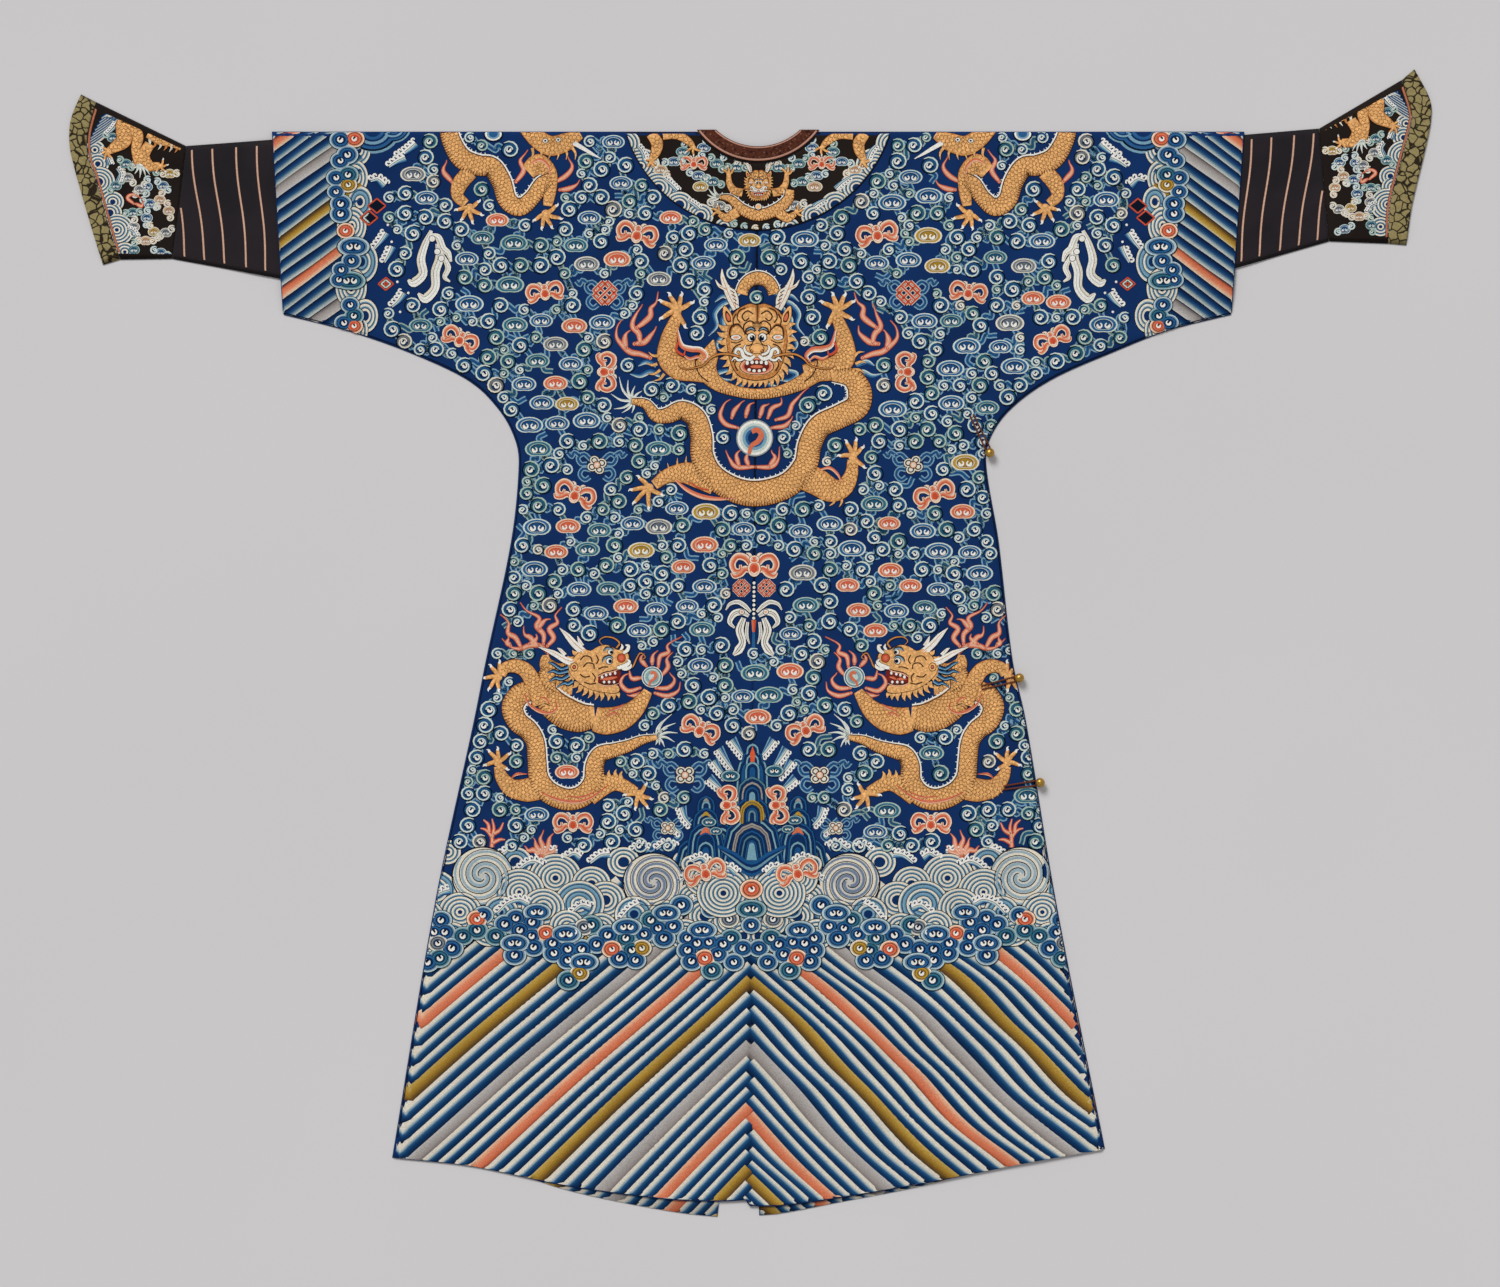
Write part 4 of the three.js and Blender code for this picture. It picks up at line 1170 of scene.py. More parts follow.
class Beast:
    """A dragon in two kinds of stitch: scaled gold, and the fine coloured parts."""

    def __init__(self):
        self.gold, self.fine = Embroidery(), Embroidery()

    def set(self, **place):
        self.gold.set(**place)
        self.fine.set(**place)

    def stitch(self, name, place, mirror=False):
        self.gold.stitch(name + "_gold", place, SCALES, mirror)
        self.fine.stitch(name + "_fine", place, STITCHES, mirror)

    def hide(self, path, width, level):
        """Gold skin along a path, dark at both edges."""
        tones = [(-1, AMBER), (-0.7, GOLD), (-0.3, GOLD * 1.05), (0.3, GOLD * 1.08), (0.72, GOLD), (1, AMBER)]
        bands = [(a, b, p, q) for (a, p), (b, q) in zip(tones[:-1], tones[1:])]
        found = self.gold.ribbon(path, width, bands, level, HIDE_DOME, 6)
        edge = np.asarray(np.atleast_1d(width), float) + 0.55
        self.fine.ribbon(path, edge, UMBER, level - 0.12, per=6)
        self.scales(*found, level)
        return found

    def scales(self, line, side, half, level):
        """Small dark arcs in rows over a skin, each row set between those of the last."""
        pitch = SCALE_PITCH
        reach = reach_along(line)
        t = np.linspace(-1, 1, 5)
        arcs, heights = [], []
        for k, at in enumerate(np.arange(pitch, reach[-1] - 0.6 * pitch, 0.78 * pitch)):
            spot, across = read_at(at, reach, line, side)
            wide = np.interp(at, reach, half)
            along = np.array([across[1], -across[0]])
            count = int(wide / pitch) + 1
            for middle in (np.arange(-count, count + 1) + 0.5 * (k % 2)) * pitch:
                if abs(middle) < wide - 1.3:
                    off = np.clip(middle + 0.5 * pitch * t, -wide, wide)
                    arcs.append(spot + off[:, None] * across + (0.5 * pitch * (1 - t**2))[:, None] * along)
                    heights.append(level + HIDE_DOME * (1 - (off / wide) ** 2) + 0.07)
        if not arcs:
            return
        arcs = np.array(arcs)
        run = np.gradient(arcs, axis=1)
        out = unit(np.stack([-run[..., 1], run[..., 0]], -1))
        spots = np.concatenate([arcs + 0.3 * out, arcs - 0.3 * out], 1)
        k = np.arange(4)
        pattern = np.vstack([np.column_stack([k, k + 1, k + 6]), np.column_stack([k, k + 6, k + 5])])
        faces = (pattern[None] + 10 * np.arange(len(arcs))[:, None, None]).reshape(-1, 3)
        levels = np.concatenate([heights, heights], 1).ravel()
        self.fine.add(spots.reshape(-1, 2), levels, AMBER * 0.45, faces)

    def body(self, path, width, level, spine=1):
        """A snaking body: pale toothed spine on one side and dark bars along the belly."""
        line, side, half = self.hide(path, width, level)
        back = line + side * (half * spine * 1.02)[:, None]
        self.fine.ribbon(back, 0.75, WHITE, level + 0.2, per=1)
        inner = line + side * (half * spine * 0.9)[:, None]
        self.fine.ribbon(inner, 0.4, UMBER, level + 0.45, per=1)
        reach = reach_along(line)
        for k, at in enumerate(np.arange(3, reach[-1], 2.3)):
            spot, across = read_at(at, reach, line, side)
            wide, across = np.interp(at, reach, half), -across * spine
            self.fine.ribbon([spot + across * wide * 0.99, spot + across * wide * 0.62], [0.42, 0.12],
                             UMBER, level + 0.5, per=1)
            if k % 3 == 0:
                tip = spot - across * (wide * 1.03 + 2.4)
                self.fine.ribbon([spot - across * wide, tip], [0.9, 0.1], WHITE, level + 0.15, per=1)

    def tuft(self, root, tips, level):
        """Pale hairs that fan out of a root."""
        for tip in tips:
            bend = (np.add(root, tip) / 2 + [0.12 * (tip[1] - root[1]), -0.12 * (tip[0] - root[0])])
            self.fine.ribbon([root, bend, tip], [1.4, 1.1, 0.2], [(-1, -0.1, WHITE), (-0.1, 1, PALE)], level,
                             per=4)

    def paw(self, centre, toes, size, level=1.0):
        """Toes given by their tips, each with a white claw."""
        centre = np.asarray(centre, float)
        self.gold.rings(centre, oval(9 * size, 9 * size, 12), [1, 0.6], [GOLD, GOLD * 1.06], level, 0.4)
        for toe in toes:
            toe = np.asarray(toe, float)
            out = toe - centre
            out /= max(np.linalg.norm(out), 1e-6)
            across = np.array([-out[1], out[0]])
            middle = (centre + toe) / 2 + across * 0.8
            widths = np.array([2.6, 2.2, 2.0, 1.6]) * size
            self.gold.ribbon([centre, middle, toe], widths, [(-1, 0, AMBER, GOLD), (0, 1, GOLD, GOLD * 1.06)],
                             level + 0.1, 0.2, 3)
            self.fine.ribbon([centre, middle, toe], widths + 0.5, UMBER, level - 0.1, per=3)
            claw = [toe - out * 0.4 * size, toe + out * 2.2 * size + across * 0.6 * size,
                    toe + out * 4 * size - across * 0.9 * size]
            self.fine.ribbon(claw, [1.5 * size, 1.1 * size, 0.2], WHITE, level + 0.3, per=3)

    def spikes(self, spots, level, tone=GOLD, width=1.5):
        """Short hair locks, each from a root to a tip."""
        for root, tip in spots:
            root, tip = np.asarray(root, float), np.asarray(tip, float)
            bend = (root + tip) / 2 + 0.16 * np.array([tip[1] - root[1], root[0] - tip[0]])
            self.gold.ribbon([root, bend, tip], [width, width * 0.7, 0.15], tone, level, per=3)
            self.fine.ribbon([root, bend, tip], [width + 0.5, width * 0.7 + 0.45, 0.3], UMBER, level - 0.1,
                             per=3)

    def mark(self, path, width, tone=UMBER, level=1.6, per=4):
        self.fine.ribbon(path, width, tone, level, per=per)


def flame(e, path, width, level=0.7):
    """A licking flame that swells, wavers and ends in a thin tip, with a curl at its root."""
    line = catmull(path, 6)
    t = np.linspace(0, 1, len(line))
    _, side = heading(line)
    line = line + side * (0.9 * np.sin(9 * t + path[0][0]) * t)[:, None]
    wide = width * (0.5 + 0.62 * np.sin(np.pi * np.clip(t * 1.25, 0, 1)) ** 0.8) * (1 - 0.9 * t**2.2)
    e.ribbon(line, wide + 0.55, srgb(178, 72, 52), level - 0.08, per=1)
    e.ribbon(line, wide, [(-1, -0.2, CORAL, PINK), (-0.2, 1, srgb(246, 198, 168), CORAL)], level, 0.15, per=1)
    e.rings(line[0], oval(width * 1.7, width * 1.7, 10), [1, 0.7, 0.4], [srgb(178, 72, 52), PINK, RED],
            level + 0.1, 0.1)


def pearl(e, x, y, size, tones):
    """A ringed ball with a hooked flame in it."""
    e.rings((x, y), oval(2 * size, 2 * size, 28), [1, 0.93, 0.8, 0.66, 0.5, 0.36], tones, 1.1, 0.5)
    swirl = [(-0.16, -0.34), (0.14, -0.44), (0.36, -0.16), (0.16, 0.2), (-0.16, 0.42), (-0.3, 0.86)]
    e.ribbon([(x + size * a, y + size * b) for a, b in swirl], [size * 0.13, size * 0.15, size * 0.09], CORAL,
             1.8, per=4)


def mirror_about(middle, flip, column):
    """Carries places of the photograph from one side of a column to either side of a middle."""
    return lambda *spots: [(middle + flip * (column - x), y) for x, y in spots]


def both(points):
    """The right half of an outline with its left half added."""
    return points + [(-x, y) for x, y in points[::-1] if abs(x) > 0.01]


def front_face(beast):
    """The full-face head, about the point between its eyes."""
    gold, fine = beast.gold, beast.fine
    mane = [
        ((28, -9), (39, -14)), ((29, -3), (40, -6)), ((29, 3), (40, 3)), ((28.5, 9), (39, 12)),
        ((27, 15), (37, 21)), ((26, 21), (34, 29)), ((24, 27), (31, 37)), ((21, 32), (26, 43)),
        ((17, 36), (21, 48)), ((12, 38), (15, 49)), ((7, 39), (8.5, 49.5)), ((2.5, 40), (2.5, 49)),
    ]
    for flip in (-1, 1):
        for horn, wide in (
            ([(21, -29), (27, -40), (32, -52), (35, -61), (35.5, -69)], [3.6, 3.4, 3, 2, 0.3]),
            ([(22, -30), (22, -38), (24.5, -46), (30, -53)], [3.2, 3.2, 2.6, 0.6]),
            ([(30, -48), (38, -52), (42, -58)], [1.8, 1.4, 0.3]),
        ):
            horn = [(flip * x, y) for x, y in horn]
            fine.ribbon(horn, np.array(wide) + 0.6, UMBER, 0.78)
            fine.ribbon(horn, wide, [(-1, 0, CREAM, WHITE), (0, 1, WHITE, CREAM)], 0.9, 0.2)
            fine.ribbon(horn[:-1], 0.35, AMBER, 1.2)
        for k in range(5):
            beast.mark([(flip * (19.5 + 1.1 * k), -33 - 4 * k), (flip * (23.5 + 1.1 * k), -35.5 - 4 * k)],
                       0.4, UMBER, 1.25)
        beast.spikes([((flip * x, y), (flip * a, b)) for (x, y), (a, b) in mane], 1.0, GOLD, 3.4)
    right = [(0, -32), (7, -34), (15, -31), (22, -26), (27, -18), (29, -8), (30, 3), (28.5, 13), (26.5, 22),
             (23, 31), (17, 38), (9, 41), (0, 42)]
    outline = catmull(both(right) + [right[0]], 3)[:-1]
    fine.rings((0, 0), outline * 1.025, [1], [UMBER], 1.0)
    gold.rings((0, 0), outline, [1, 0.9, 0.6, 0.3], [AMBER, GOLD, GOLD * 1.06, GOLD * 1.1], 1.1, 0.5)
    for flip in (-1, 1):
        at = lambda *pts: [(flip * x, y) for x, y in pts]
        ear = catmull(at((24, -14), (26, -24), (33, -32), (34, -22), (30, -13), (24, -14)), 3)[:-1]
        centre = np.array([flip * 28.5, -20.0])
        fine.rings(centre, ear - centre, [1.08, 1, 0.62, 0.4], [UMBER, GOLD, UMBER, CORAL], 1.15, 0.2)
        for path, wide in (
            (at((2, -14), (7, -17), (13, -13), (13, -6), (9, -3)), 0.7),
            (at((4, -24), (10, -27), (15, -22), (12, -17), (8, -20)), 0.65),
            (at((12, -30), (18, -27), (20, -20), (17, -15)), 0.6),
            (at((21, -24), (24, -18), (23, -11)), 0.6), (at((16, 6), (22, 9), (25, 16), (23, 24)), 0.65),
            (at((14, 2), (20, 5), (26, 4)), 0.5), (at((18, 20), (22, 26), (19, 33)), 0.6),
            (at((3, 2), (5, 6), (9, 8), (12, 7)), 0.55),
        ):
            beast.mark(path, wide)
        fine.ribbon(at((13, -7), (19, -13), (25, -11), (27, -4), (25, 2)), [0.6, 1.5, 1.5, 1.2, 0.4],
                    [(-1, 0, AMBER, UMBER), (0, 1, UMBER)], 1.55)
        fine.rings((flip * 21, -0.5), oval(12, 6, 12), [1, 0.82, 0.5], [UMBER, WHITE, PINK], 1.6, 0.15)
        fine.ribbon(at((1.5, -6.5), (5, -9.5), (10, -8), (12.5, -3)), [1, 2, 1.8, 0.4], UMBER, 1.6)
        fine.ribbon(at((2.5, -7.5), (6, -9.5), (10.5, -7.5)), [0.3, 0.7, 0.2], SKY, 1.75)
        fine.rings((flip * 5.6, -0.6), oval(9.6, 9.6, 14), [1, 0.82], [UMBER, WHITE], 1.66, 0.2)
        fine.rings((flip * 4.6, 0.2), oval(5.2, 5.6, 10), [1], [INK], 1.9)
        fine.rings((flip * 5.4, -1.2), oval(1.5, 1.5, 6), [1], [WHITE], 1.98)
        for scroll, wide in (
            (at((2, 18), (7, 21), (13, 18.5), (15.5, 12.5), (19.5, 11), (21.5, 15), (18.5, 17)),
             [1.2, 1.9, 1.9, 1.6, 1.4, 1.1, 0.5]),
            (at((5, 17), (10, 15), (12.5, 10.5), (11, 7)), [1, 1.3, 1.1, 0.4]),
            (at((13, 21), (18, 22.5), (22, 20), (25, 23)), [1.1, 1.2, 0.9, 0.4]),
        ):
            fine.ribbon(scroll, np.array(wide) + 0.55, UMBER, 1.8)
            fine.ribbon(scroll, wide, WHITE, 1.95)
        whisker = at((17, 19), (24, 17), (32, 16), (40, 17), (47, 21), (53, 27), (62, 30), (72, 31), (79, 28))
        fine.ribbon(whisker, [1.5, 1.5, 1.4, 1.3, 1.2, 1.1, 1, 0.8, 0.3], UMBER, 2.0)
        fine.ribbon(whisker, [0.9, 0.9, 0.8, 0.8, 0.7, 0.6, 0.5, 0.4, 0.1], AMBER, 2.15)
    for k in range(7):
        fine.ribbon([(-4.5 + 1.5 * k, -17 + 0.4 * abs(k - 3)), (-3 + 1.0 * k, -9)], [0.45, 0.2], UMBER, 1.62)
    fine.ribbon([(0, -33), (0.4, -26), (0, -14)], [3, 2, 1], [(-1, 0, AMBER, UMBER), (0, 1, UMBER, AMBER)],
                1.58)
    fine.rings((0, 11), oval(15, 11, 16, 0.1), [1, 0.9, 0.5], [UMBER, GOLD, GOLD * 1.12], 2.0, 0.4)
    for flip in (-1, 1):
        fine.rings((flip * 5, 13), oval(4.4, 3.2, 8), [1, 0.6], [UMBER, AMBER], 2.2, 0.1)
    fine.rings((0, 28.5), oval(35, 18, 24, 0.06), [1, 0.95, 0.84, 0.72],
               [UMBER, PINK, CORAL, srgb(112, 36, 30)], 1.7, 0.1)
    for x, y, w, h in ((-9.5, 25, 4.6, 6), (-4.6, 24.4, 4.6, 5), (0, 24.4, 4.4, 4.6), (4.6, 24.4, 4.6, 5),
                       (9.5, 25, 4.6, 6),
                       (-7.5, 32, 4.6, 4.6), (-2.6, 33, 4.6, 4.4), (2.6, 33, 4.6, 4.4), (7.5, 32, 4.6, 4.6)):
        fine.rings((x, y), oval(w, h, 8), [1, 0.76], [UMBER, WHITE], 1.9, 0.1)
    fine.rings((0, 28.8), oval(13, 3.4, 10), [1], [CORAL], 1.96)


def chest_dragon():
    """The dragon that faces out of the back, coiled about a pearl."""
    beast = Beast()
    middle = 756
    seam = float(seam_px(400))
    beast.set(centre=(middle - seam, 0), origin=(middle, 0))
    for path in (
        [(735, 300), (722, 304), (714, 314), (716, 326), (708, 336)],
        [(730, 308), (722, 320), (724, 332), (716, 344), (720, 352)],
        [(740, 292), (730, 298), (722, 296), (714, 302)],
        [(728, 370), (716, 374), (722, 380), (734, 380)], [(744, 384), (736, 388), (726, 384)],
        [(660, 376), (650, 372), (640, 376), (630, 374)], [(656, 366), (646, 362), (638, 366)],
    ):
        for flip in (-1, 1):
            turned = mirror_about(middle, flip, middle)(*path)
            beast.fine.ribbon(turned, [1.6, 2.6, 2.4, 1.8, 0.5],
                              [(-1, -0.45, PALE), (-0.45, 0.2, SKY), (0.2, 1, MID)], 0.6)
    arch = [(middle + 1 - 16.5 * math.cos(t), 296 - 18 * math.sin(t)) for t in np.linspace(0.1, math.pi - 0.1,
            9)]
    beast.body(arch, [6, 6.5, 7, 6.5, 6], 0.75, -1)
    ring = [(713, 340), (709, 355), (706, 369), (716, 383), (735, 391), (757, 394), (780, 391), (801, 383),
            (818, 372)]
    beast.hide(ring, [0.6, 9, 10.5, 7, 5.2, 5, 5.2, 7, 9], 0.8)
    for x in np.arange(720, 800, 2.6):
        dip = 394 - 10.5 * ((x - 757) / 50) ** 2
        beast.mark([(x, dip + 0.5), (x + 0.6, dip + 4.6)], 0.3, UMBER, 1.3, 1)
    for flip in (-1, 1):
        at = mirror_about(middle, flip, middle)
        beast.hide(at((708, 374), (694, 371), (678, 368), (667, 357), (668, 341), (672, 327), (677, 316)),
                   [9, 10.5, 11.5, 10, 8.5, 6.5, 5.2], 0.85)
        beast.spikes([(p, q) for p, q in zip(at((664, 374), (660, 370), (657, 364), (658, 356)),
                at((653, 381), (647, 374), (646, 363), (648, 352)))], 0.9)
        accent = at((677, 330), (681, 345), (690, 349), (700, 350), (706, 356), (702, 362))
        beast.fine.ribbon(accent, [0.8, 2.4, 3, 2.8, 2, 0.5],
                          [(-1, -0.5, WHITE), (-0.5, 0.1, PINK), (0.1, 1, CORAL)], 1.45, 0.1)
        beast.fine.ribbon(at((678, 342), (676, 350), (683, 355), (685, 349)), [1, 1.3, 1.1, 0.4], RED, 1.5)
        beast.fine.ribbon(at((684, 356), (690, 359), (698, 357), (704, 362)), [0.8, 1.6, 1.4, 0.4],
                          [(-1, 0, CORAL), (0, 1, PINK)], 1.5)
        beast.mark(at((699, 352), (695, 362), (699, 374), (708, 382)), 0.6, UMBER, 1.4)
        beast.paw(at((676, 310))[0], at((661, 302), (669, 296), (680, 296), (690, 303), (684, 325),
                                        (662, 318)), 1.12)
        for path in (
            [(650, 358), (640, 354), (630, 352), (622, 346), (616, 338), (617, 328), (622, 320)],
            [(634, 344), (644, 342), (652, 334), (655, 326)], [(626, 348), (624, 338), (630, 330)],
            [(640, 344), (638, 334), (632, 326), (636, 314), (641, 304)],
            [(636, 328), (644, 322), (650, 316), (650, 308), (655, 302), (658, 292)],
        ):
            flame(beast.fine, at(*path), 2.6)
    trunk = [
        (832, 376), (850, 378), (859, 390), (857, 406), (840, 416), (820, 426), (810, 444), (806, 464),
        (792, 482), (772, 491), (750, 493), (730, 487), (712, 474), (703, 456), (702, 436), (696, 418),
        (682, 410), (668, 415), (656, 415), (646, 404), (632, 401),
    ]
    beast.body(trunk, [6, 10, 12, 12.5, 12, 12, 12, 12, 12.5, 13, 13, 12.5, 12, 11.5, 11, 10.5, 9.5, 8, 6.5,
                       5, 3], 1.0)
    beast.hide([(716, 482), (700, 476), (684, 473), (668, 476), (655, 485)], [13, 12.5, 10, 7, 5], 0.9)
    beast.hide([(798, 474), (816, 481), (832, 490), (845, 487), (852, 474), (853, 460)],
               [13, 13.5, 12, 9, 6.5, 5], 0.9)
    beast.paw((650, 488), [(640, 478), (633, 490), (636, 502), (650, 507), (662, 494)], 1.0)
    beast.paw((853, 456), [(841, 456), (847, 443), (856, 441), (862, 448), (864, 466)], 1.0)
    beast.spikes([((676, 474), (668, 463)), ((682, 470), (678, 458)), ((690, 468), (687, 456)),
                  ((668, 478), (660, 470))], 0.95)
    beast.spikes([((836, 498), (830, 506)), ((830, 494), (822, 500)), ((842, 497), (840, 507))], 0.95)
    beast.fine.ribbon([(676, 480), (688, 490), (704, 497), (722, 499), (738, 498)], [0.8, 2, 2.4, 1.6, 0.3],
                      [(-1, 0, CORAL), (0, 1, PINK)], 1.35)
    beast.mark([(690, 482), (700, 488), (710, 490)], 0.7, RED, 1.6)
    beast.fine.ribbon([(820, 470), (830, 468), (838, 474), (842, 482)], [0.6, 1.6, 1.4, 0.4],
                      [(-1, 0, CORAL), (0, 1, PINK)], 1.45)
    beast.tuft((633, 401), [(619, 377), (628, 380), (635, 386), (611, 394), (614, 409), (622, 413),
                            (632, 413), (642, 391)], 0.85)
    for path in (
        [(738, 428), (726, 424), (720, 415), (724, 405), (731, 400)],
        [(732, 418), (736, 408), (745, 401)], [(746, 417), (748, 408), (754, 402)],
        [(760, 417), (763, 408), (769, 403)], [(768, 418), (772, 409), (780, 404), (782, 398)],
        [(772, 428), (784, 426), (790, 422), (792, 416)],
        [(776, 420), (788, 416), (792, 404), (800, 396), (809, 388)],
        [(756, 467), (738, 467), (730, 460), (727, 450)],
        [(756, 467), (772, 467), (778, 460), (781, 447)], [(740, 466), (737, 457), (741, 449)],
        [(770, 466), (775, 458), (772, 450)], [(749, 466), (747, 458), (748, 450)],
    ):
        flame(beast.fine, path, 2.0, 0.9)
    pearl(beast.fine, 755, 438, 18.5, [srgb(150, 160, 160), WHITE, PALE, SKY, MID, NAVY])
    beast.set(centre=(middle + 0.4 - seam, 338), origin=(0, 0), level=0.4)
    front_face(beast)
    return beast


def side_face(beast):
    """The head in profile, snout raised to the right, in photograph px."""
    gold, fine = beast.gold, beast.fine
    for strand in ([(568, 667), (561, 669), (553, 664), (548, 662)],
                   [(568, 671), (559, 673), (553, 671), (547, 673)],
                   [(569, 675), (562, 679), (555, 678), (549, 682)],
                   [(573, 681), (568, 684), (564, 683), (557, 687)]):
        fine.ribbon(strand, [2.6, 2.4, 2, 0.5], [(-1, -0.5, INK), (-0.5, 0, SKY), (0, 0.5, MID),
                (0.5, 1, INK)], 1.4)
    for horn, width in (
        ([(583, 652), (574, 644), (567, 636), (559, 628)], [3.6, 3.4, 2.7, 0.3]),
        ([(582, 646), (579, 641), (577, 636)], [2, 1.6, 0.3]),
        ([(574, 663), (565, 660), (553, 653), (538, 647)], [3.4, 3.2, 2.6, 0.3]),
        ([(565, 655), (560, 650), (557, 648)], [1.8, 1.5, 0.3]),
    ):
        fine.ribbon(horn, np.array(width) + 0.5, UMBER, 1.25)
        fine.ribbon(horn, width, [(-1, 0.1, WHITE), (0.1, 0.3, AMBER), (0.3, 1, WHITE)], 1.35, 0.2)
    beast.spikes([((570, 667), (562, 667)), ((570, 672), (563, 676)), ((573, 677), (567, 682)),
                  ((577, 682), (572, 688)), ((581, 685), (576, 693)), ((586, 687), (582, 696)),
                  ((591, 689), (588, 698)), ((596, 690), (595, 700)), ((601, 692), (601, 701)),
                  ((607, 692), (608, 701)), ((612, 693), (614, 700)), ((616, 692), (619, 698)),
                  ((577, 654), (572, 650)), ((573, 659), (567, 656))], 1.3, GOLD, 2.6)
    outline = [
        (577, 654), (583, 649), (590, 651), (597, 647), (605, 645), (611, 647), (617, 650), (623, 650),
        (628, 655), (628, 663), (622, 667), (617, 670), (609, 673), (603, 674), (599, 678), (598, 682),
        (603, 684), (611, 684), (618, 686), (619, 691), (614, 693), (603, 692), (593, 690), (584, 686),
        (576, 680), (570, 673), (569, 667), (572, 660),
    ]
    shape = catmull(outline + [outline[0]], 3)[:-1]
    centre = np.array((588, 669))
    fine.fill(centre + (shape - centre) * 1.03, UMBER, 1.35)
    gold.fill(shape, GOLD, 1.5)
    jaws = [(598, 677), (604, 674), (613, 672), (620, 670), (621, 674), (619, 680), (616, 683), (609, 684),
            (602, 683), (598, 682)]
    fine.fill(jaws, srgb(122, 38, 32), 1.6)
    for x, y, w, h in ((602, 677, 3.6, 4.6), (606, 675, 3.4, 4.2), (610, 674, 3.4, 4), (615, 673, 3.2, 4.6),
                       (604, 682, 3.6, 3.8), (609, 682, 3.6, 3.8), (614, 682, 3.4, 4)):
        fine.rings((x, y), oval(w, h, 8), [1, 0.76], [UMBER, WHITE], 1.7, 0.1)
    fine.ribbon([(600, 679), (606, 679), (612, 678), (617, 677)], [0.6, 1.4, 1.4, 0.4], CORAL, 1.66, 0.1)
    for lip in ([(598, 676), (604, 673), (613, 671), (620, 668)],
                [(598, 683), (604, 685), (612, 685), (619, 683)]):
        fine.ribbon(lip, [0.8, 1.2, 1.1, 0.4], [(-1, 0, UMBER), (0, 1, PINK)], 1.75)
    nose = (621, 658)
    fine.rings(nose, oval(9, 9.4, 14), [1, 0.86, 0.5], [UMBER, RED, CORAL], 1.75, 0.35)
    for scroll, width in (
        ([(617, 668), (621, 667), (626, 665), (629, 662), (627, 659)], [1.4, 2, 2, 1.6, 0.5]),
        ([(623, 653), (627, 650), (628, 646), (625, 645)], [1.4, 1.8, 1.5, 0.5]),
        ([(622, 669), (626, 669), (630, 667), (631, 664)], [1, 1.6, 1.4, 0.4]),
        ([(620, 650), (622, 647), (621, 644)], [1, 1.3, 0.3]),
    ):
        fine.ribbon(scroll, np.array(width) + 0.5, UMBER, 1.8)
        fine.ribbon(scroll, width, WHITE, 1.9)
    for spot, size in (((609, 661), 7.4), ((610, 652), 6.2)):
        fine.rings(spot, oval(size, size, 12), [1, 0.8], [UMBER, WHITE], 1.75, 0.15)
        fine.rings(np.add(spot, (0.9, 0.2)), oval(size * 0.5, size * 0.55, 9), [1], [INK], 1.95)
    for brow in ([(602, 662), (604, 658), (609, 656), (613, 658)],
                 [(603, 651), (606, 648), (610, 648), (614, 650)]):
        fine.ribbon(brow, [0.6, 1.5, 1.4, 0.4], [(-1, 0, UMBER), (0, 1, SKY)], 1.85)
    fine.rings((574, 667), oval(8, 9, 12), [1, 0.84, 0.5, 0.3], [UMBER, GOLD, UMBER, CORAL], 1.7, 0.2)
    for path in ([(580, 660), (584, 656), (590, 657), (592, 662)],
                 [(583, 667), (587, 663), (593, 664), (594, 669)], [(596, 655), (598, 660), (596, 664)],
                 [(580, 674), (584, 677), (590, 676)], [(584, 682), (590, 684), (596, 683)],
                 [(598, 669), (603, 667), (608, 667)], [(592, 673), (595, 677), (594, 682)]):
        beast.mark(path, 0.6, UMBER, 1.75)
    for path in ([(616, 648), (619, 643), (613, 638), (604, 637), (599, 641), (603, 646)],
                 [(624, 668), (632, 667), (636, 659), (640, 653), (645, 657), (641, 660)]):
        fine.ribbon(path, [1.2, 1.2, 1.1, 0.9, 0.8, 0.4], UMBER, 1.4)
        fine.ribbon(path, [0.7, 0.7, 0.6, 0.5, 0.4, 0.2], AMBER, 1.5)


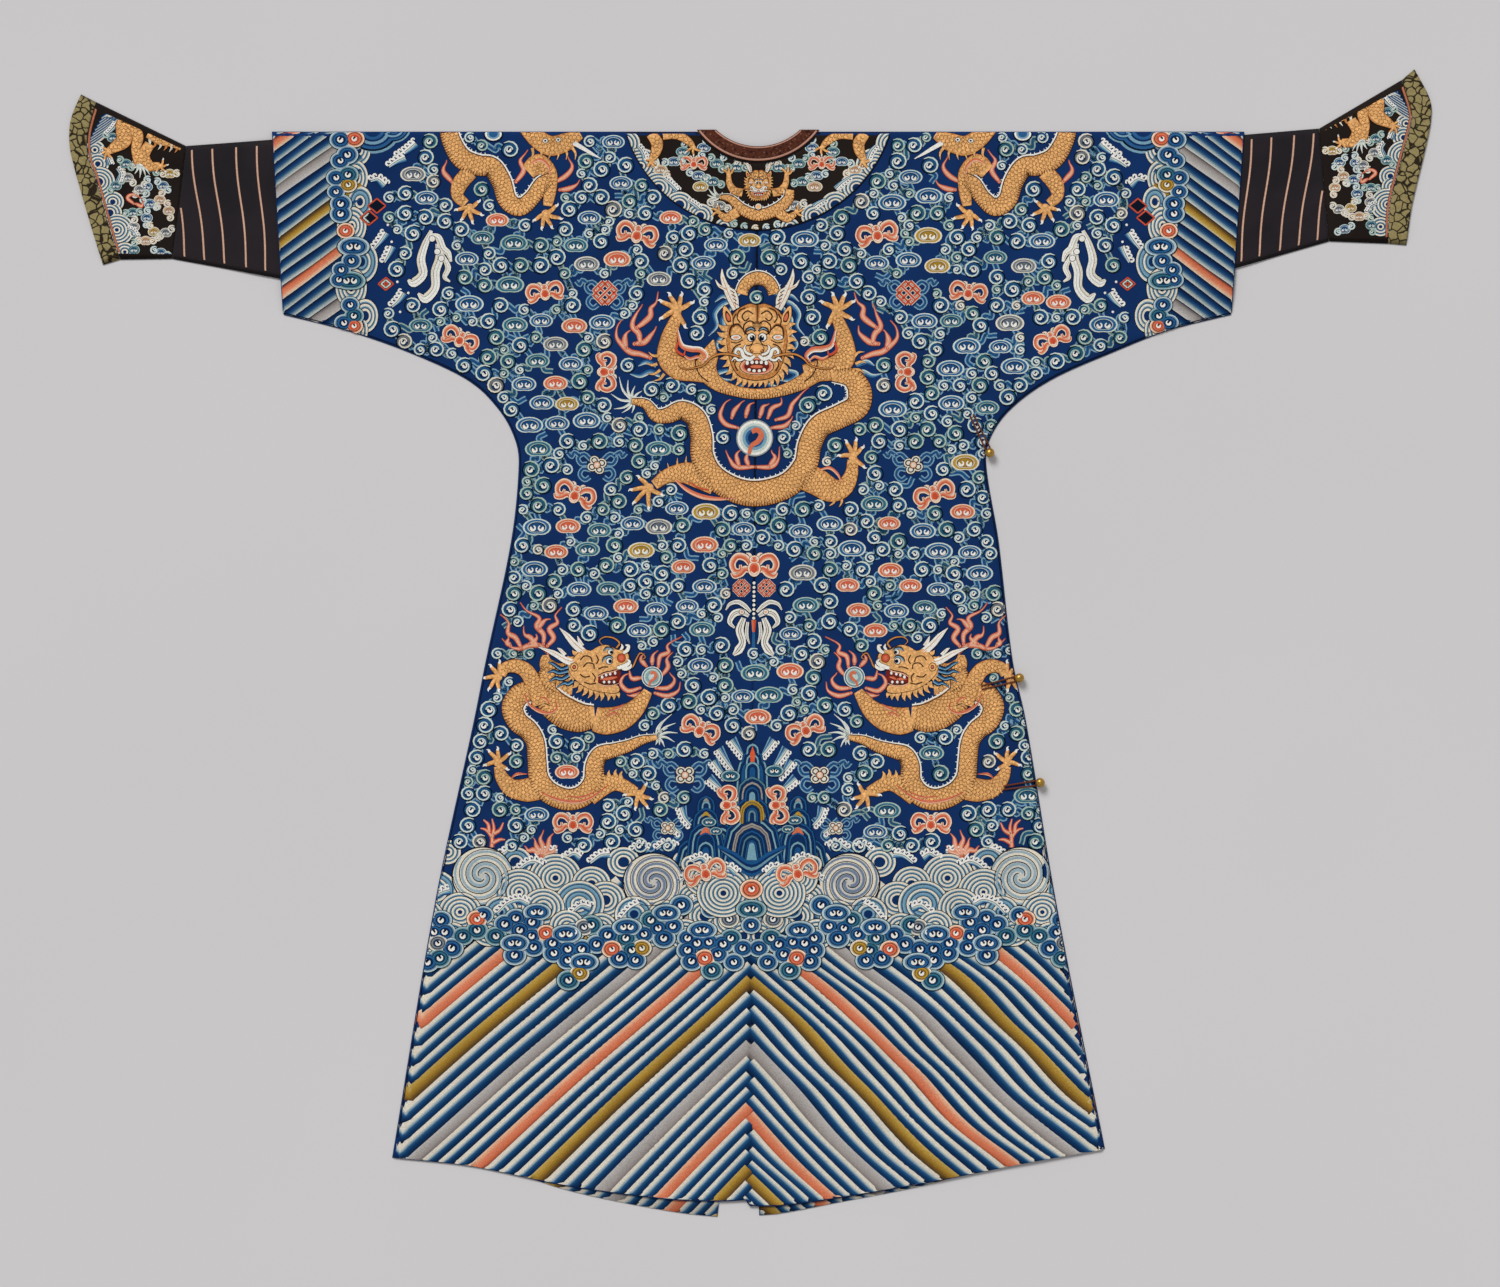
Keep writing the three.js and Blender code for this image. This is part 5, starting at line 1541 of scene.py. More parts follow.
def skirt_dragon():
    """The dragon in profile low on each side, chasing its pearl."""
    beast = Beast()
    beast.set(origin=(float(seam_px(700)), 0))
    for path in (
        [(548, 653), (540, 646), (529, 645), (519, 649), (509, 647), (502, 638)],
        [(521, 648), (515, 638), (508, 633), (508, 623), (499, 615)],
        [(538, 646), (530, 638), (525, 635), (523, 626)],
        [(543, 644), (543, 634), (536, 626), (538, 618), (527, 611), (520, 602)],
        [(547, 646), (553, 638), (549, 629), (557, 623), (554, 615), (561, 607)],
        [(538, 629), (542, 622), (550, 619)], [(510, 646), (507, 642), (508, 636)],
        [(529, 644), (535, 640), (536, 634)],
    ):
        flame(beast.fine, path, 2.3)
    beast.hide([(573, 678), (562, 677), (552, 671), (546, 663), (545, 655)], [17, 16, 10, 7, 3], 0.8)
    beast.body([(595, 716), (580, 717), (567, 713), (554, 704), (546, 691), (547, 678), (549, 667)],
               [11, 15, 16, 15, 12, 10, 7], 0.85, 1)
    trunk = [
        (553, 699), (540, 693), (527, 692), (518, 697), (513, 708), (518, 721), (529, 730), (536, 742),
        (538, 760), (540, 778), (550, 792), (568, 799), (584, 795), (594, 782), (595, 765), (601, 754),
        (614, 750), (628, 746), (642, 740), (657, 737),
    ]
    beast.body(trunk, [8, 9.5, 10.5, 11, 11, 10.5, 10, 9.5, 9.5, 10, 11, 11, 11, 10.5, 9.5, 8.5, 7, 6, 4.5,
                       2.6], 0.9, -1)
    beast.hide([(501, 675), (505, 668), (515, 666), (525, 670), (532, 680), (538, 693), (542, 704)],
               [4.6, 5.6, 6.6, 7.4, 8, 9, 9.5], 1.25)
    beast.hide([(595, 719), (606, 721), (621, 718), (634, 710), (643, 699), (648, 691)],
               [12, 13.5, 12.5, 9.5, 6.5, 4.6], 1.0)
    beast.hide([(538, 788), (527, 790), (513, 788), (503, 778), (499, 766)], [12, 11.5, 9, 6.5, 4.6], 0.85)
    beast.hide([(589, 795), (603, 786), (616, 783), (629, 788), (637, 792)], [11, 10, 7.5, 6, 4.6], 0.85)
    beast.paw((498, 677), [(485, 678), (491, 667), (499, 663), (490, 688), (499, 689)], 0.95, 1.4)
    beast.paw((498, 762), [(487, 765), (490, 752), (498, 750), (509, 754), (507, 768)], 0.95)
    beast.paw((640, 794), [(627, 795), (646, 785), (651, 798), (648, 806), (637, 807)], 0.95)
    beast.tuft((657, 737), [(662, 721), (672, 714), (676, 723), (678, 733), (675, 742), (665, 747),
                            (660, 745), (668, 728), (656, 745)], 0.85)
    beast.spikes([((604, 723), (603, 731)), ((609, 724), (609, 733)), ((614, 724), (616, 732)),
                  ((618, 722), (621, 730)), ((623, 720), (626, 727)), ((518, 663), (515, 658)),
                  ((523, 666), (521, 660)), ((506, 785), (503, 793)), ((509, 788), (507, 796)),
                  ((513, 791), (512, 799)), ((606, 780), (604, 772)), ((611, 778), (610, 770)),
                  ((617, 777), (617, 769)), ((622, 779), (623, 771)), ((536, 699), (532, 697))], 1.05, GOLD,
                 2.2)
    for path, wide in (
        ([(524, 693), (529, 704), (539, 711), (549, 713), (557, 708), (555, 700)], 1.8),
        ([(540, 697), (546, 699), (550, 704)], 1.3), ([(609, 711), (618, 708), (624, 704)], 1.8),
        ([(606, 716), (614, 713), (619, 715)], 1.2), ([(512, 778), (518, 774), (528, 774)], 1.8),
        ([(542, 792), (557, 799), (577, 802), (593, 797), (609, 785)], 2.2),
        ([(568, 796), (583, 797), (597, 791)], 1.2),
    ):
        beast.fine.ribbon(path, np.interp(np.linspace(0, 1, len(path)), [0, 0.4, 1], [0.4, wide, 0.3]),
                          [(-1, -0.3, CORAL), (-0.3, 1, PINK)], 1.75)
        beast.mark(path, 0.35, RED, 1.85)
    for path in (
        [(658, 667), (660, 656), (668, 652), (668, 645), (681, 636)],
        [(662, 675), (668, 667), (666, 659), (673, 653)],
        [(656, 688), (668, 688), (674, 680), (670, 672)],
        [(655, 693), (668, 696), (677, 691), (681, 682)],
        [(640, 688), (628, 691), (621, 684), (624, 676), (630, 672)],
        [(641, 678), (632, 678), (627, 667)], [(646, 666), (641, 660), (643, 653)],
        [(652, 664), (652, 658), (657, 650)], [(644, 692), (634, 696), (627, 694)],
    ):
        flame(beast.fine, path, 2.0)
    pearl(beast.fine, 652, 677, 10.5, [WHITE, TEAL, PALE, SAGE, SKY, PALE])
    side_face(beast)
    return beast


def shoulder_dragon():
    """The body that comes over each shoulder fold from the front."""
    beast = Beast()
    beast.set(origin=(float(seam_px(180)), 0))
    for path in ([(516, 182), (524, 170), (520, 160), (528, 150)],
                 [(556, 182), (566, 176), (572, 166), (568, 156)],
                 [(560, 190), (572, 188), (580, 180)], [(452, 182), (444, 172), (446, 160)],
                 [(530, 208), (520, 214), (512, 210)]):
        flame(beast.fine, path, 2.2)
    beast.body([(448, 128), (452, 142), (462, 158), (478, 165), (492, 167), (502, 182), (508, 200),
                (520, 207), (532, 198), (542, 184), (552, 178)],
               [9, 9.5, 10.5, 10.5, 10, 10, 9.5, 9, 8, 8, 6], 0.9, -1)
    beast.hide([(470, 172), (460, 184), (458, 196), (466, 204)], [8, 8, 6, 4.5], 0.8)
    beast.hide([(528, 172), (538, 164), (548, 174), (550, 190), (548, 206)], [8, 10, 9, 6.5, 4.5], 0.85)
    beast.paw((470, 208), [(458, 210), (463, 219), (473, 221), (481, 214), (478, 202)], 0.95)
    beast.paw((546, 214), [(536, 220), (543, 227), (552, 226), (560, 218), (556, 206)], 0.95)
    beast.hide([(524, 128), (536, 138), (550, 146), (566, 142), (580, 134)], [6, 9, 10, 9, 5], 1.0)
    beast.spikes([((x, 148), (x - 2 + k, 160)) for k, x in enumerate((532, 540, 548, 556, 564, 572))], 1.1)
    beast.fine.ribbon([(568, 140), (582, 148), (592, 154), (601, 159)], [2.4, 2, 1.4, 0.3], WHITE, 1.3)
    beast.fine.ribbon([(530, 164), (540, 160), (548, 166), (550, 176)], [0.6, 1.8, 1.6, 0.4],
                      [(-1, 0, CORAL), (0, 1, PINK)], 1.4)
    beast.fine.rings((545, 141), oval(6, 5, 10), [1, 0.8, 0.4], [UMBER, WHITE, INK], 1.6, 0.1)
    beast.fine.rings((558, 140), oval(6, 5, 10), [1, 0.8, 0.4], [UMBER, WHITE, INK], 1.6, 0.1)
    beast.fine.rings((493, 134), oval(20, 16, 16), [1, 0.85, 0.66, 0.45], [INK, WHITE, SKY, MID], 0.9, 0.2)
    return beast


# The smaller motifs


def bat(e):
    """A bat with curled wings, about its own middle and 38 wide."""
    rim = srgb(248, 222, 198)
    for flip in (-1, 1):
        wing = [(flip * 3, -2), (flip * 8, -8), (flip * 15, -9), (flip * 19, -3), (flip * 17, 3),
                (flip * 12, 3), (flip * 12, -2)]
        lower = [(flip * 3, 3), (flip * 8, 2), (flip * 12, 6), (flip * 17, 8), (flip * 20, 5)]
        for path, width in ((lower, np.array([1.8, 2.6, 2.4, 1.7, 0.4])),
                            (wing, np.array([1.8, 2.6, 2.6, 2.4, 2.1, 1.5, 0.6]))):
            e.ribbon(path, width + 0.9, UMBER, 0.4)
            e.ribbon(path, width + 0.5, rim, 0.48)
            e.ribbon(path, width * 0.7, [(-1, 0, RED, CORAL), (0, 1, CORAL, PINK)], 0.62, 0.1)
        e.ribbon([(flip * 1.5, -6), (flip * 4, -11), (flip * 7, -12)], [1.4, 1.1, 0.3], rim, 0.5)
    e.rings((0, 1.5), oval(11, 14, 16), [1.08, 1, 0.76, 0.5], [UMBER, rim, CORAL, RED], 0.7, 0.2)
    e.rings((0, -6.5), oval(8.6, 7, 12), [1.1, 1, 0.7], [UMBER, rim, CORAL], 0.78, 0.2)
    for flip in (-1, 1):
        e.rings((flip * 2, -7), oval(1.7, 1.7, 7), [1, 0.5], [WHITE, INK], 1.0)
    e.ribbon([(-3, 4), (0, 6), (3, 4)], [0.4, 0.8, 0.4], rim, 0.98)


def bows(e):
    """Streamers that loop out on both sides of a motif."""
    for flip in (-1, 1):
        for path in (
            [(flip * 6, -5), (flip * 13, -11), (flip * 19, -7), (flip * 16, -1), (flip * 10, -1)],
            [(flip * 6, 5), (flip * 14, 4), (flip * 17, 10), (flip * 12, 15), (flip * 7, 12)],
            [(flip * 17, -9), (flip * 23, -13), (flip * 25, -8), (flip * 29, -12)],
        ):
            double_line(e, path, "deep", 2.4, 0.3)


def endless_knot(e):
    """Interlaced diagonal bars with square ends, 26 across."""
    for k in (-6, 0, 6):
        for turn in (-1, 1):
            bar = [((k - s) * 0.75, turn * (k + s) * 0.75) for s in (-9.5, 9.5)]
            for width, tone, level in ((2.0, UMBER, 0.5), (1.6, CREAM, 0.56), (1.0, RED, 0.62)):
                e.ribbon(bar, width, tone, level + 0.08 * (turn > 0) * (k == 0), per=4)
    for turn in (-1, 1):
        for k in (-1, 1):
            end = [((k * 9.5 - s) * 0.75, turn * (k * 9.5 + s) * 0.75) for s in (-6, 6)]
            e.ribbon(end, 1.5, CREAM, 0.5, per=3)
            e.ribbon(end, 0.9, RED, 0.66, per=3)


def rosette(e):
    """Four curls about a middle, as a coin or a flower."""
    for turn in range(4):
        t = math.radians(45 + 90 * turn)
        e.rings((5.5 * math.cos(t), 5 * math.sin(t)), oval(11, 10, 12), [1, 0.86, 0.62, 0.4],
                [UMBER, CREAM, INK, CREAM], 0.5, 0.15)
    e.rings((0, 0), oval(8, 8, 12), [1, 0.8, 0.5], [UMBER, PINK, CREAM], 0.75, 0.2)


def peak(e, x, top, foot, half, tones, level, flare=1.2, band=2.1):
    """Nested pointed bands that spread a little to an open foot."""
    for k, tone in enumerate(tones):
        h, t = half - k * band, top + k * band * 1.25
        if h < 0.7:
            break
        right = [(0, t), (h * 0.5, t + 0.2 * h), (h * 0.86, t + 0.55 * h), (h, t + 1.1 * h),
                 (h + half * (flare - 1), foot)]
        shape = [(x - a, min(b, foot)) for a, b in right[::-1]] + [(x + a, min(b, foot)) for a,
                b in right[1:]]
        e.fill(shape, INK, level + 0.04 * k)
        inner = [(x + (a - x) * (1 - 0.42 / h), b + 0.45 if b < foot else b) for a, b in shape]
        e.fill(inner, tone, level + 0.04 * k + 0.02)


def mountain(e):
    """The banded peak that rises from the waves at the seam."""
    deep, pale = srgb(28, 84, 136), srgb(124, 168, 184)
    for flip in (-1, 1):
        for x, top, half in ((60, 838, 15), (30, 822, 12), (38, 832, 12)):
            peak(e, flip * x, top, 868, half, (deep, NAVY, pale, NAVY, TEAL, NAVY), 0.3 + 0.1 * (top > 830))
        for top, half, cap in ((795, 9, GRAY), (807, 13, OCHRE), (821, 18, CORAL)):
            peak(e, flip * 46, top, 866, half, (deep, NAVY, pale, NAVY, deep, NAVY),
                 0.45 + (top - 795) * 0.012, 1.1)
            e.ribbon([(flip * 46 - 0.32 * half, top + 0.75 * half), (flip * 46, top + 0.5 * half),
                      (flip * 46 + 0.32 * half, top + 0.75 * half)],
                     [0.4, 0.16 * half, 0.4], cap, 0.9 + (top - 795) * 0.012, 0.1)
        peak(e, flip * 46, 841, 866, 8, (pale, NAVY, deep), 1.3, 1.1)
        for path in (
            [(-10, 757), (-16, 750), (-23, 741)], [(-20, 771), (-28, 761), (-36, 750)],
            [(-27, 778), (-35, 770), (-41, 762)], [(-28, 793), (-36, 787), (-45, 780)],
            [(-62, 826), (-69, 818), (-73, 808)], [(-72, 834), (-80, 828), (-88, 824)],
        ):
            crest(e, [(flip * a, b) for a, b in path], -flip, 0.4, 4, 0.9)
    peak(e, 0, 743, 790, 6.5, (pale, NAVY, deep), 0.62, 1.1)
    peak(e, 0, 748, 790, 11, (deep, NAVY, pale, NAVY), 0.58, 1.05)
    peak(e, 0, 754, 790, 15.5, (pale, NAVY, deep), 0.54, 1.05)
    peak(e, 0, 761, 800, 7.5, (pale, NAVY, deep), 0.86, 1.05)
    peak(e, 0, 776, 820, 15, (TEAL, NAVY, GRAY, NAVY, deep, NAVY), 0.95, 1.05)
    peak(e, 0, 786, 820, 7.5, (deep, NAVY, pale), 1.2, 1.2)
    peak(e, 0, 795, 840, 18, (deep, NAVY, pale, NAVY), 1.15, 1.05)
    peak(e, 0, 799, 850, 12.5, (OCHRE, OCHRE * 0.8, NAVY, deep, pale * 0.7, NAVY), 1.3, 1.1)
    peak(e, 0, 812, 862, 29, (deep, NAVY, pale, NAVY, deep), 1.25, 1.12)
    peak(e, 0, 820, 860, 21, (NAVY, GRAY, GRAY * 0.85, NAVY, deep, NAVY, TEAL, NAVY, deep, pale), 1.5, 1.12,
         1.95)
    for k, tone in enumerate((deep, NAVY, pale * 0.8, NAVY, deep)):
        e.ribbon([(-34 + 2 * k, 846 + 1.6 * k), (-18, 853 + 2.4 * k), (0, 863 + 3 * k), (18, 853 + 2.4 * k),
                  (34 - 2 * k, 846 + 1.6 * k)], 1.6,
                 tone, 1.95 - 0.02 * k, per=4)
    for flip in (-1, 1):
        for x, y, size in ((61, 864, 10), (47, 878, 20), (28, 893, 27)):
            mound(e, flip * x, y, size, (CREAM,), 2.1 + 0.002 * (y - 860))
        e.set(centre=(flip * 46, 873), flip=flip, turn=-16, level=2.35)
        bat(e)
        e.set()
        for path in ([(60, 860), (50, 856), (42, 862)], [(30, 868), (22, 866), (14, 872)]):
            crest(e, [(flip * a, b) for a, b in path], flip, 2.3)
    e.fill([(-2, 762), (-2.6, 754), (0, 746), (2.6, 754), (2, 762)], srgb(226, 96, 56), 1.2)
    for x, y, size in ((-22, 776, 9), (22, 771, 9), (-43, 822, 7), (43, 820, 7), (-36, 831, 6), (36, 829, 6)):
        disc_cloud(e, x, y, size * 1.5, "sage", True, 1.75)
    for y, size, tint, double in ((889, 23, "coral", False), (909, 22, "sage", True),
                                  (925, 20, "blue", False)):
        disc_cloud(e, 0, y, size, tint, double, 2.4 + (y - 889) * 0.006)
    for flip in (-1, 1):
        e.set(centre=(flip * 24.5, 805), size=0.92, flip=flip, turn=82, level=1.5)
        bat(e)
    e.set()


def sprite(e, draw, x, y, size, turn=0.0):
    """Draws one motif about its own middle at a place on the photograph's page."""
    e.set(centre=(x - float(seam_px(y)), y), size=size, turn=turn)
    draw(e)
    e.set()


def coral_branch(e):
    """A red branch with pale hearts."""
    for path in ([(0, 16), (0, 6), (-6, -2), (-12, -4)], [(0, 6), (2, -4), (0, -14)],
                 [(1, 2), (8, -2), (12, -10)], [(-3, 0), (-4, -8), (-9, -13)],
                 [(0, 12), (8, 8), (14, 8)]):
        e.ribbon(path, [2.6, 2.2, 1.6, 0.8], RED, 0.5)
        e.ribbon(path, [1.3, 1.1, 0.7, 0.3], PINK, 0.62)


def fire(e):
    """Five tongues from one root."""
    for path in ([(0, 10), (-6, 4), (-12, 4), (-16, 0)], [(0, 10), (-3, 0), (-7, -8)],
                 [(1, 10), (3, 0), (0, -8), (4, -16)], [(2, 10), (8, 2), (9, -8), (14, -12)],
                 [(3, 10), (12, 6), (18, 0)]):
        flame(e, path, 2.4, 0.5)


def fret(e):
    """A red lozenge with a key pattern in it."""
    e.fill([(-12, 0), (0, -10), (12, 0), (0, 10)], INK, 0.9)
    for size in (1, 0.62, 0.26):
        ring = [(-11 * size, 0), (0, -9.2 * size), (11 * size, 0), (0, 9.2 * size), (-11 * size, 0)]
        for one, two in zip(ring, ring[1:]):
            e.ribbon([one, two], 0.95, [(-1, 1, RED if size != 0.62 else PALE)], 0.98, per=1)
    for k in (-1, 1):
        e.ribbon([(5.5 * k, 4.6), (8.2 * k, 2.4)], 0.8, RED, 1.0, per=1)


def twin_fish(e):
    """The hanging group at the middle of the back: a bat, two knots, beads and a pair of fish."""
    e.set(centre=(0, 567), size=1.15)
    bat(e)
    for flip in (-1, 1):
        e.set(centre=(flip * 12.5, 588), size=0.72)
        endless_knot(e)
    e.set()
    for k in range(9):
        e.rings((0, 583 + 4.4 * k), oval(4.2, 4.2, 10), [1, 0.72], [INK, WHITE], 0.8, 0.3)
    for flip in (-1, 1):
        at = lambda *pts: [(flip * x, y) for x, y in pts]
        for path, width in (
            (at((3, 612), (9, 606), (16, 602), (24, 604), (28, 610)), [1.2, 2.2, 2.2, 1.6, 0.6]),
            (at((5, 616), (12, 612), (20, 614), (24, 622), (19, 628)), [1.6, 3.2, 3.4, 2.4, 0.8]),
            (at((10, 618), (14, 630), (11, 642), (15, 650), (20, 655)), [2.4, 4, 3.4, 4.4, 1.4]),
            (at((6, 622), (7, 634), (4, 644)), [1.4, 1.8, 0.5]),
        ):
            e.ribbon(path, np.array(width) + 0.7, INK, 0.5)
            e.ribbon(path, width, [(-1, -0.35, WHITE), (-0.35, -0.2, INK), (-0.2, 0.25, CREAM),
                                   (0.25, 0.4, INK), (0.4, 1, WHITE)], 0.65, 0.1)
        e.rings((flip * 12, 612), oval(6, 6, 10), [1, 0.8, 0.5], [INK, WHITE, PINK], 0.95, 0.1)
    e.ribbon([(0, 620), (0, 632)], [2.4, 1.4], [(-1, 0, RED), (0, 1, CORAL)], 0.8)
    e.ribbon([(0, 632), (0, 648)], [1.4, 1.8], MID, 0.7)


def white_ribbon(e):
    """The pale knotted streamer near each sleeve."""
    for path, width in (
        ([(-4, -30), (-8, -16), (-10, 0), (-6, 14), (-14, 24), (-20, 22)], [1.6, 3.2, 4, 4.2, 4.4, 1]),
        ([(4, -18), (8, -4), (6, 10), (8, 26), (0, 38), (-8, 34)], [2, 4, 4.2, 4, 4.6, 1]),
        ([(-3, -26), (4, -24), (10, -14), (16, -10), (20, -2)], [1.4, 3.2, 3.4, 2.8, 1.2]),
        ([(10, -8), (18, 4), (16, 14), (22, 18)], [1.6, 2.8, 2.2, 0.8]),
    ):
        e.ribbon(path, np.array(width) * 1.05 + 0.6, INK, 0.45)
        e.ribbon(path, np.array(width) * 1.05, [(-1, -0.4, WHITE), (-0.4, -0.3, SAGE), (-0.3, 0.3, WHITE),
                (0.3, 0.4, INK), (0.4, 1, CREAM)], 0.6, 0.1)
    for x, y in ((-2, -22), (5, -10), (10, -4)):
        e.rings((x, y), oval(7, 7, 10), [1, 0.84], [INK, WHITE], 0.8, 0.2)


SCATTERED = [
    (bat, 637, 235, 1.0, 12), (bat, 545, 293, 0.9, -8), (bat, 460, 340, 0.9, 25),
    (bat, 605, 372, 0.95, 90), (bat, 575, 495, 1.0, 20), (bat, 700, 730, 0.95, 25),
    (bat, 573, 824, 0.95, 0), (endless_knot, 605, 293, 1.0, 0), (rosette, 597, 465, 1.0, 20),
    (rosette, 685, 775, 1.05, 0), (rosette, 668, 828, 0.8, 0), (white_ribbon, 431, 261, 1.0, 8),
    (coral_branch, 492, 832, 0.95, 0), (fire, 540, 846, 1.0, 0),
]


def scatter(e):
    for draw, x, y, size, turn in SCATTERED:
        if draw in (endless_knot, rosette):
            sprite(e, bows, x, y, size)
        sprite(e, draw, x, y, size, turn=turn)


def sleeve_ends(e, rng):
    """Stripes, heaped clouds and waves that border each sleeve."""
    at_side = dict(origin=(float(seam_px(220)), 0))
    e.set(**at_side)
    tints = {140: "coral", 190: "gray", 243: "ochre", 295: "coral", 347: "gray"}
    marks = sorted(tints)
    rows = []
    for p, q in zip([90] + marks, marks + [400]):
        if p in tints:
            rows.append((tints[p], p))
        rows += [("dusk", p + (q - p) * k / 4) for k in range(1, 4)]
    for k, (tint, p) in enumerate(sorted(rows, key=lambda r: r[1])):
        path = [(x, p - 0.73 * (x - 280) + 0.8 * math.sin(x / 17 + k)) for x in range(262, 362, 9)]
        stripe(e, path, 5.35, tint, 0.15, 2)
    for x, y, size in ((372, 130, 28), (392, 128, 18)):
        e.rings((x, y), oval(2 * size, 1.7 * size, 26), [1, 0.9, 0.82, 0.7, 0.62, 0.5, 0.42, 0.3],
                [SKY, INK, MID, NAVY, SKY, NAVY, MID, NAVY], 0.3, 0.4)
    for x, y, size in SLEEVE_MOUNDS:
        mound(e, x, y, size, (CREAM,) if rng.random() < 0.7 else (CREAM, SKY), 0.3 + 0.002 * (y - 130),
              shape=(1.7, 2.2))
    for path in SLEEVE_SPRAY:
        crest(e, path, -1, 0.7)
    e.set()
    for x, y, size in ((377, 206, 0.8), (369, 218, 0.8), (386, 284, 0.7)):
        sprite(e, fret, x, y, size)
    for x, y, size, tint, double in SLEEVE_DISCS:
        e.set(**at_side)
        disc_cloud(e, x, y, size, tint, double, 1.3 + 0.002 * (y - 130), rng.choice((-1, 1)))
    e.set(**at_side)
    for x, y in ((388, 225), (392, 242), (398, 282), (409, 293), (401, 312)):
        e.rings((x, y), oval(2.6, 2.6, 8), [1], [WHITE], 0.5, 0.2)
    e.set()


SLEEVE_MOUNDS = [(358, 150, 15), (354, 178, 17), (360, 202, 15), (352, 226, 18), (362, 262, 20),
                 (352, 288, 19), (366, 316, 16), (356, 330, 16)]
SLEEVE_SPRAY = [
    [(396, 156), (405, 150), (414, 142)], [(388, 166), (396, 160), (404, 156)],
    [(370, 180), (378, 178), (386, 184)], [(374, 248), (380, 240), (385, 232)],
    [(384, 262), (388, 254), (391, 246)], [(392, 306), (398, 300), (403, 292)],
]
SLEEVE_DISCS = [
    (340, 140, 22, "blue", False), (354, 139, 20, "coral", False), (347, 155, 22, "blue", False),
    (340, 161, 20, "blue", False), (336, 178, 20, "blue", False), (348, 175, 21, "sage", False),
    (348, 185, 18, "ochre", False), (336, 192, 18, "blue", False), (341, 204, 22, "blue", False),
    (341, 214, 22, "blue", False), (346, 231, 18, "coral", False), (354, 247, 23, "blue", True),
    (352, 261, 20, "blue", False), (342, 270, 19, "blue", False), (340, 280, 19, "blue", False),
    (351, 281, 22, "sage", True), (351, 305, 19, "blue", False), (345, 323, 20, "blue", False),
    (355, 316, 20, "sage", False), (355, 326, 18, "coral", False),
]


# Yoke, neckband, sleeves and cuffs


# The yoke's motifs are drawn about this column, and laid about the seam at this row
YOKE_COLUMN, YOKE_ROW = 757, 185


def yoke_motifs(fine, rng):
    """A small dragon, clouds, bats and waves on the dark yoke."""
    middle = float(seam_px(YOKE_ROW))
    fine.set(origin=(middle, 0))
    for flip in (-1, 1):
        at = mirror_about(middle, flip, YOKE_COLUMN)
        for (x, y), size in zip(at((622, 144), (640, 166), (658, 188), (679, 205), (700, 216), (724, 227)),
                                (18, 20, 18, 15, 14, 10)):
            mound(fine, x, y, size, (CREAM * 1.04,), 0.3 + 0.004 * (y - 140), 3.7)
        for path in (at((664, 178), (672, 184), (678, 190)), at((688, 200), (695, 204), (700, 208)),
                     at((638, 146), (643, 152), (646, 160))):
            crest(fine, path, -1, 0.8, 2, 0.7)
        for (x, y), tint in zip(
            at((673, 162), (682, 152), (703, 148), (716, 164), (698, 176), (712, 182), (719, 206), (736, 168),
               (742, 158), (660, 170), (728, 152)),
            ("blue", "sage", "blue", "sage", "blue", "sage", "gray", "sage", "gray", "tan", "blue"),
        ):
            cloud_head(fine, x, y, 14, 10, tint, 0.5)
            turn = 0.9 * x
            for k in (-1, 1):
                curl(fine, x + k * 9 * math.cos(turn), y + k * 7.5 * math.sin(turn), 8.5, tint, k * flip,
                     0.45)
        (x, y), = at((700, 187))
        cloud_head(fine, x, y, 16, 11, "tan" if flip > 0 else "ochre", 0.6)
    for x, y in ((735, 224), (745, 227), (756, 229), (767, 228), (778, 225)):
        curl(fine, x, y, 8, rng.choice(("blue", "sage", "ochre")), 1, 0.5)
    for flip in (-1, 1):
        fine.set(centre=(flip * 64, 164), size=0.66)
        bat(fine)
    fine.set()


def yoke_beast():
    beast = Beast()
    middle = float(seam_px(YOKE_ROW))
    beast.set(origin=(middle, 0), level=0.3)
    for flip in (-1, 1):
        at = mirror_about(middle, flip, YOKE_COLUMN)
        beast.hide(at((742, 193), (734, 191), (729, 184), (728, 176)), [4, 4, 3, 2.2], 0.5)
        beast.paw(at((728, 175))[0], at((722, 170), (727, 167), (733, 169)), 0.5, 0.6)
        beast.hide(at((650, 134), (656, 143), (655, 152), (651, 160)), [5, 6, 5, 3], 0.5)
        beast.paw(at((651, 162))[0], at((645, 160), (647, 168), (655, 167)), 0.6, 0.6)
        beast.hide(at((662, 136), (676, 135), (688, 142), (693, 148)), [4, 4.5, 3.5, 2], 0.5)
        beast.paw(at((693, 148))[0], at((686, 152), (693, 155), (700, 151)), 0.5, 0.6)
    beast.body([(middle + x, y) for x, y in ((32, 190), (30, 200), (18, 210), (1, 215), (-14, 210),
            (-27, 199), (-38, 197))],
               [4.5, 5.5, 6, 6, 5.5, 4, 2], 0.55)
    beast.tuft((middle - 38, 197), [(middle - 49, 189), (middle - 50, 195), (middle - 48, 201),
                                    (middle - 44, 186)], 0.6)
    for flip in (-1, 1):
        beast.hide([(middle + flip * 20, 212), (middle + flip * 30, 218), (middle + flip * 38, 214)],
                   [5, 4.5, 2.5], 0.5)
        beast.paw((middle + flip * 39, 212), [(middle + flip * 40, 205), (middle + flip * 46, 209),
                (middle + flip * 45, 216)], 0.5, 0.6)
    beast.fine.rings((middle + 1, 207), oval(8, 8, 14), [1, 0.8, 0.5], [INK, CREAM, GOLD], 0.9, 0.2)
    beast.set(centre=(1, 183), size=0.37, level=0.8)
    front_face(beast)
    return beast


def arc_on_neck(radius, centre, lowest):
    """A line about the neck in page places, from one shoulder to the other."""
    angle = np.linspace(-1, 1, 60) * math.acos((lowest - centre) / radius)
    u, v = radius * np.sin(angle), centre + radius * np.cos(angle)
    return np.column_stack([u / PX, SHOULDER_ROW + v / PX])


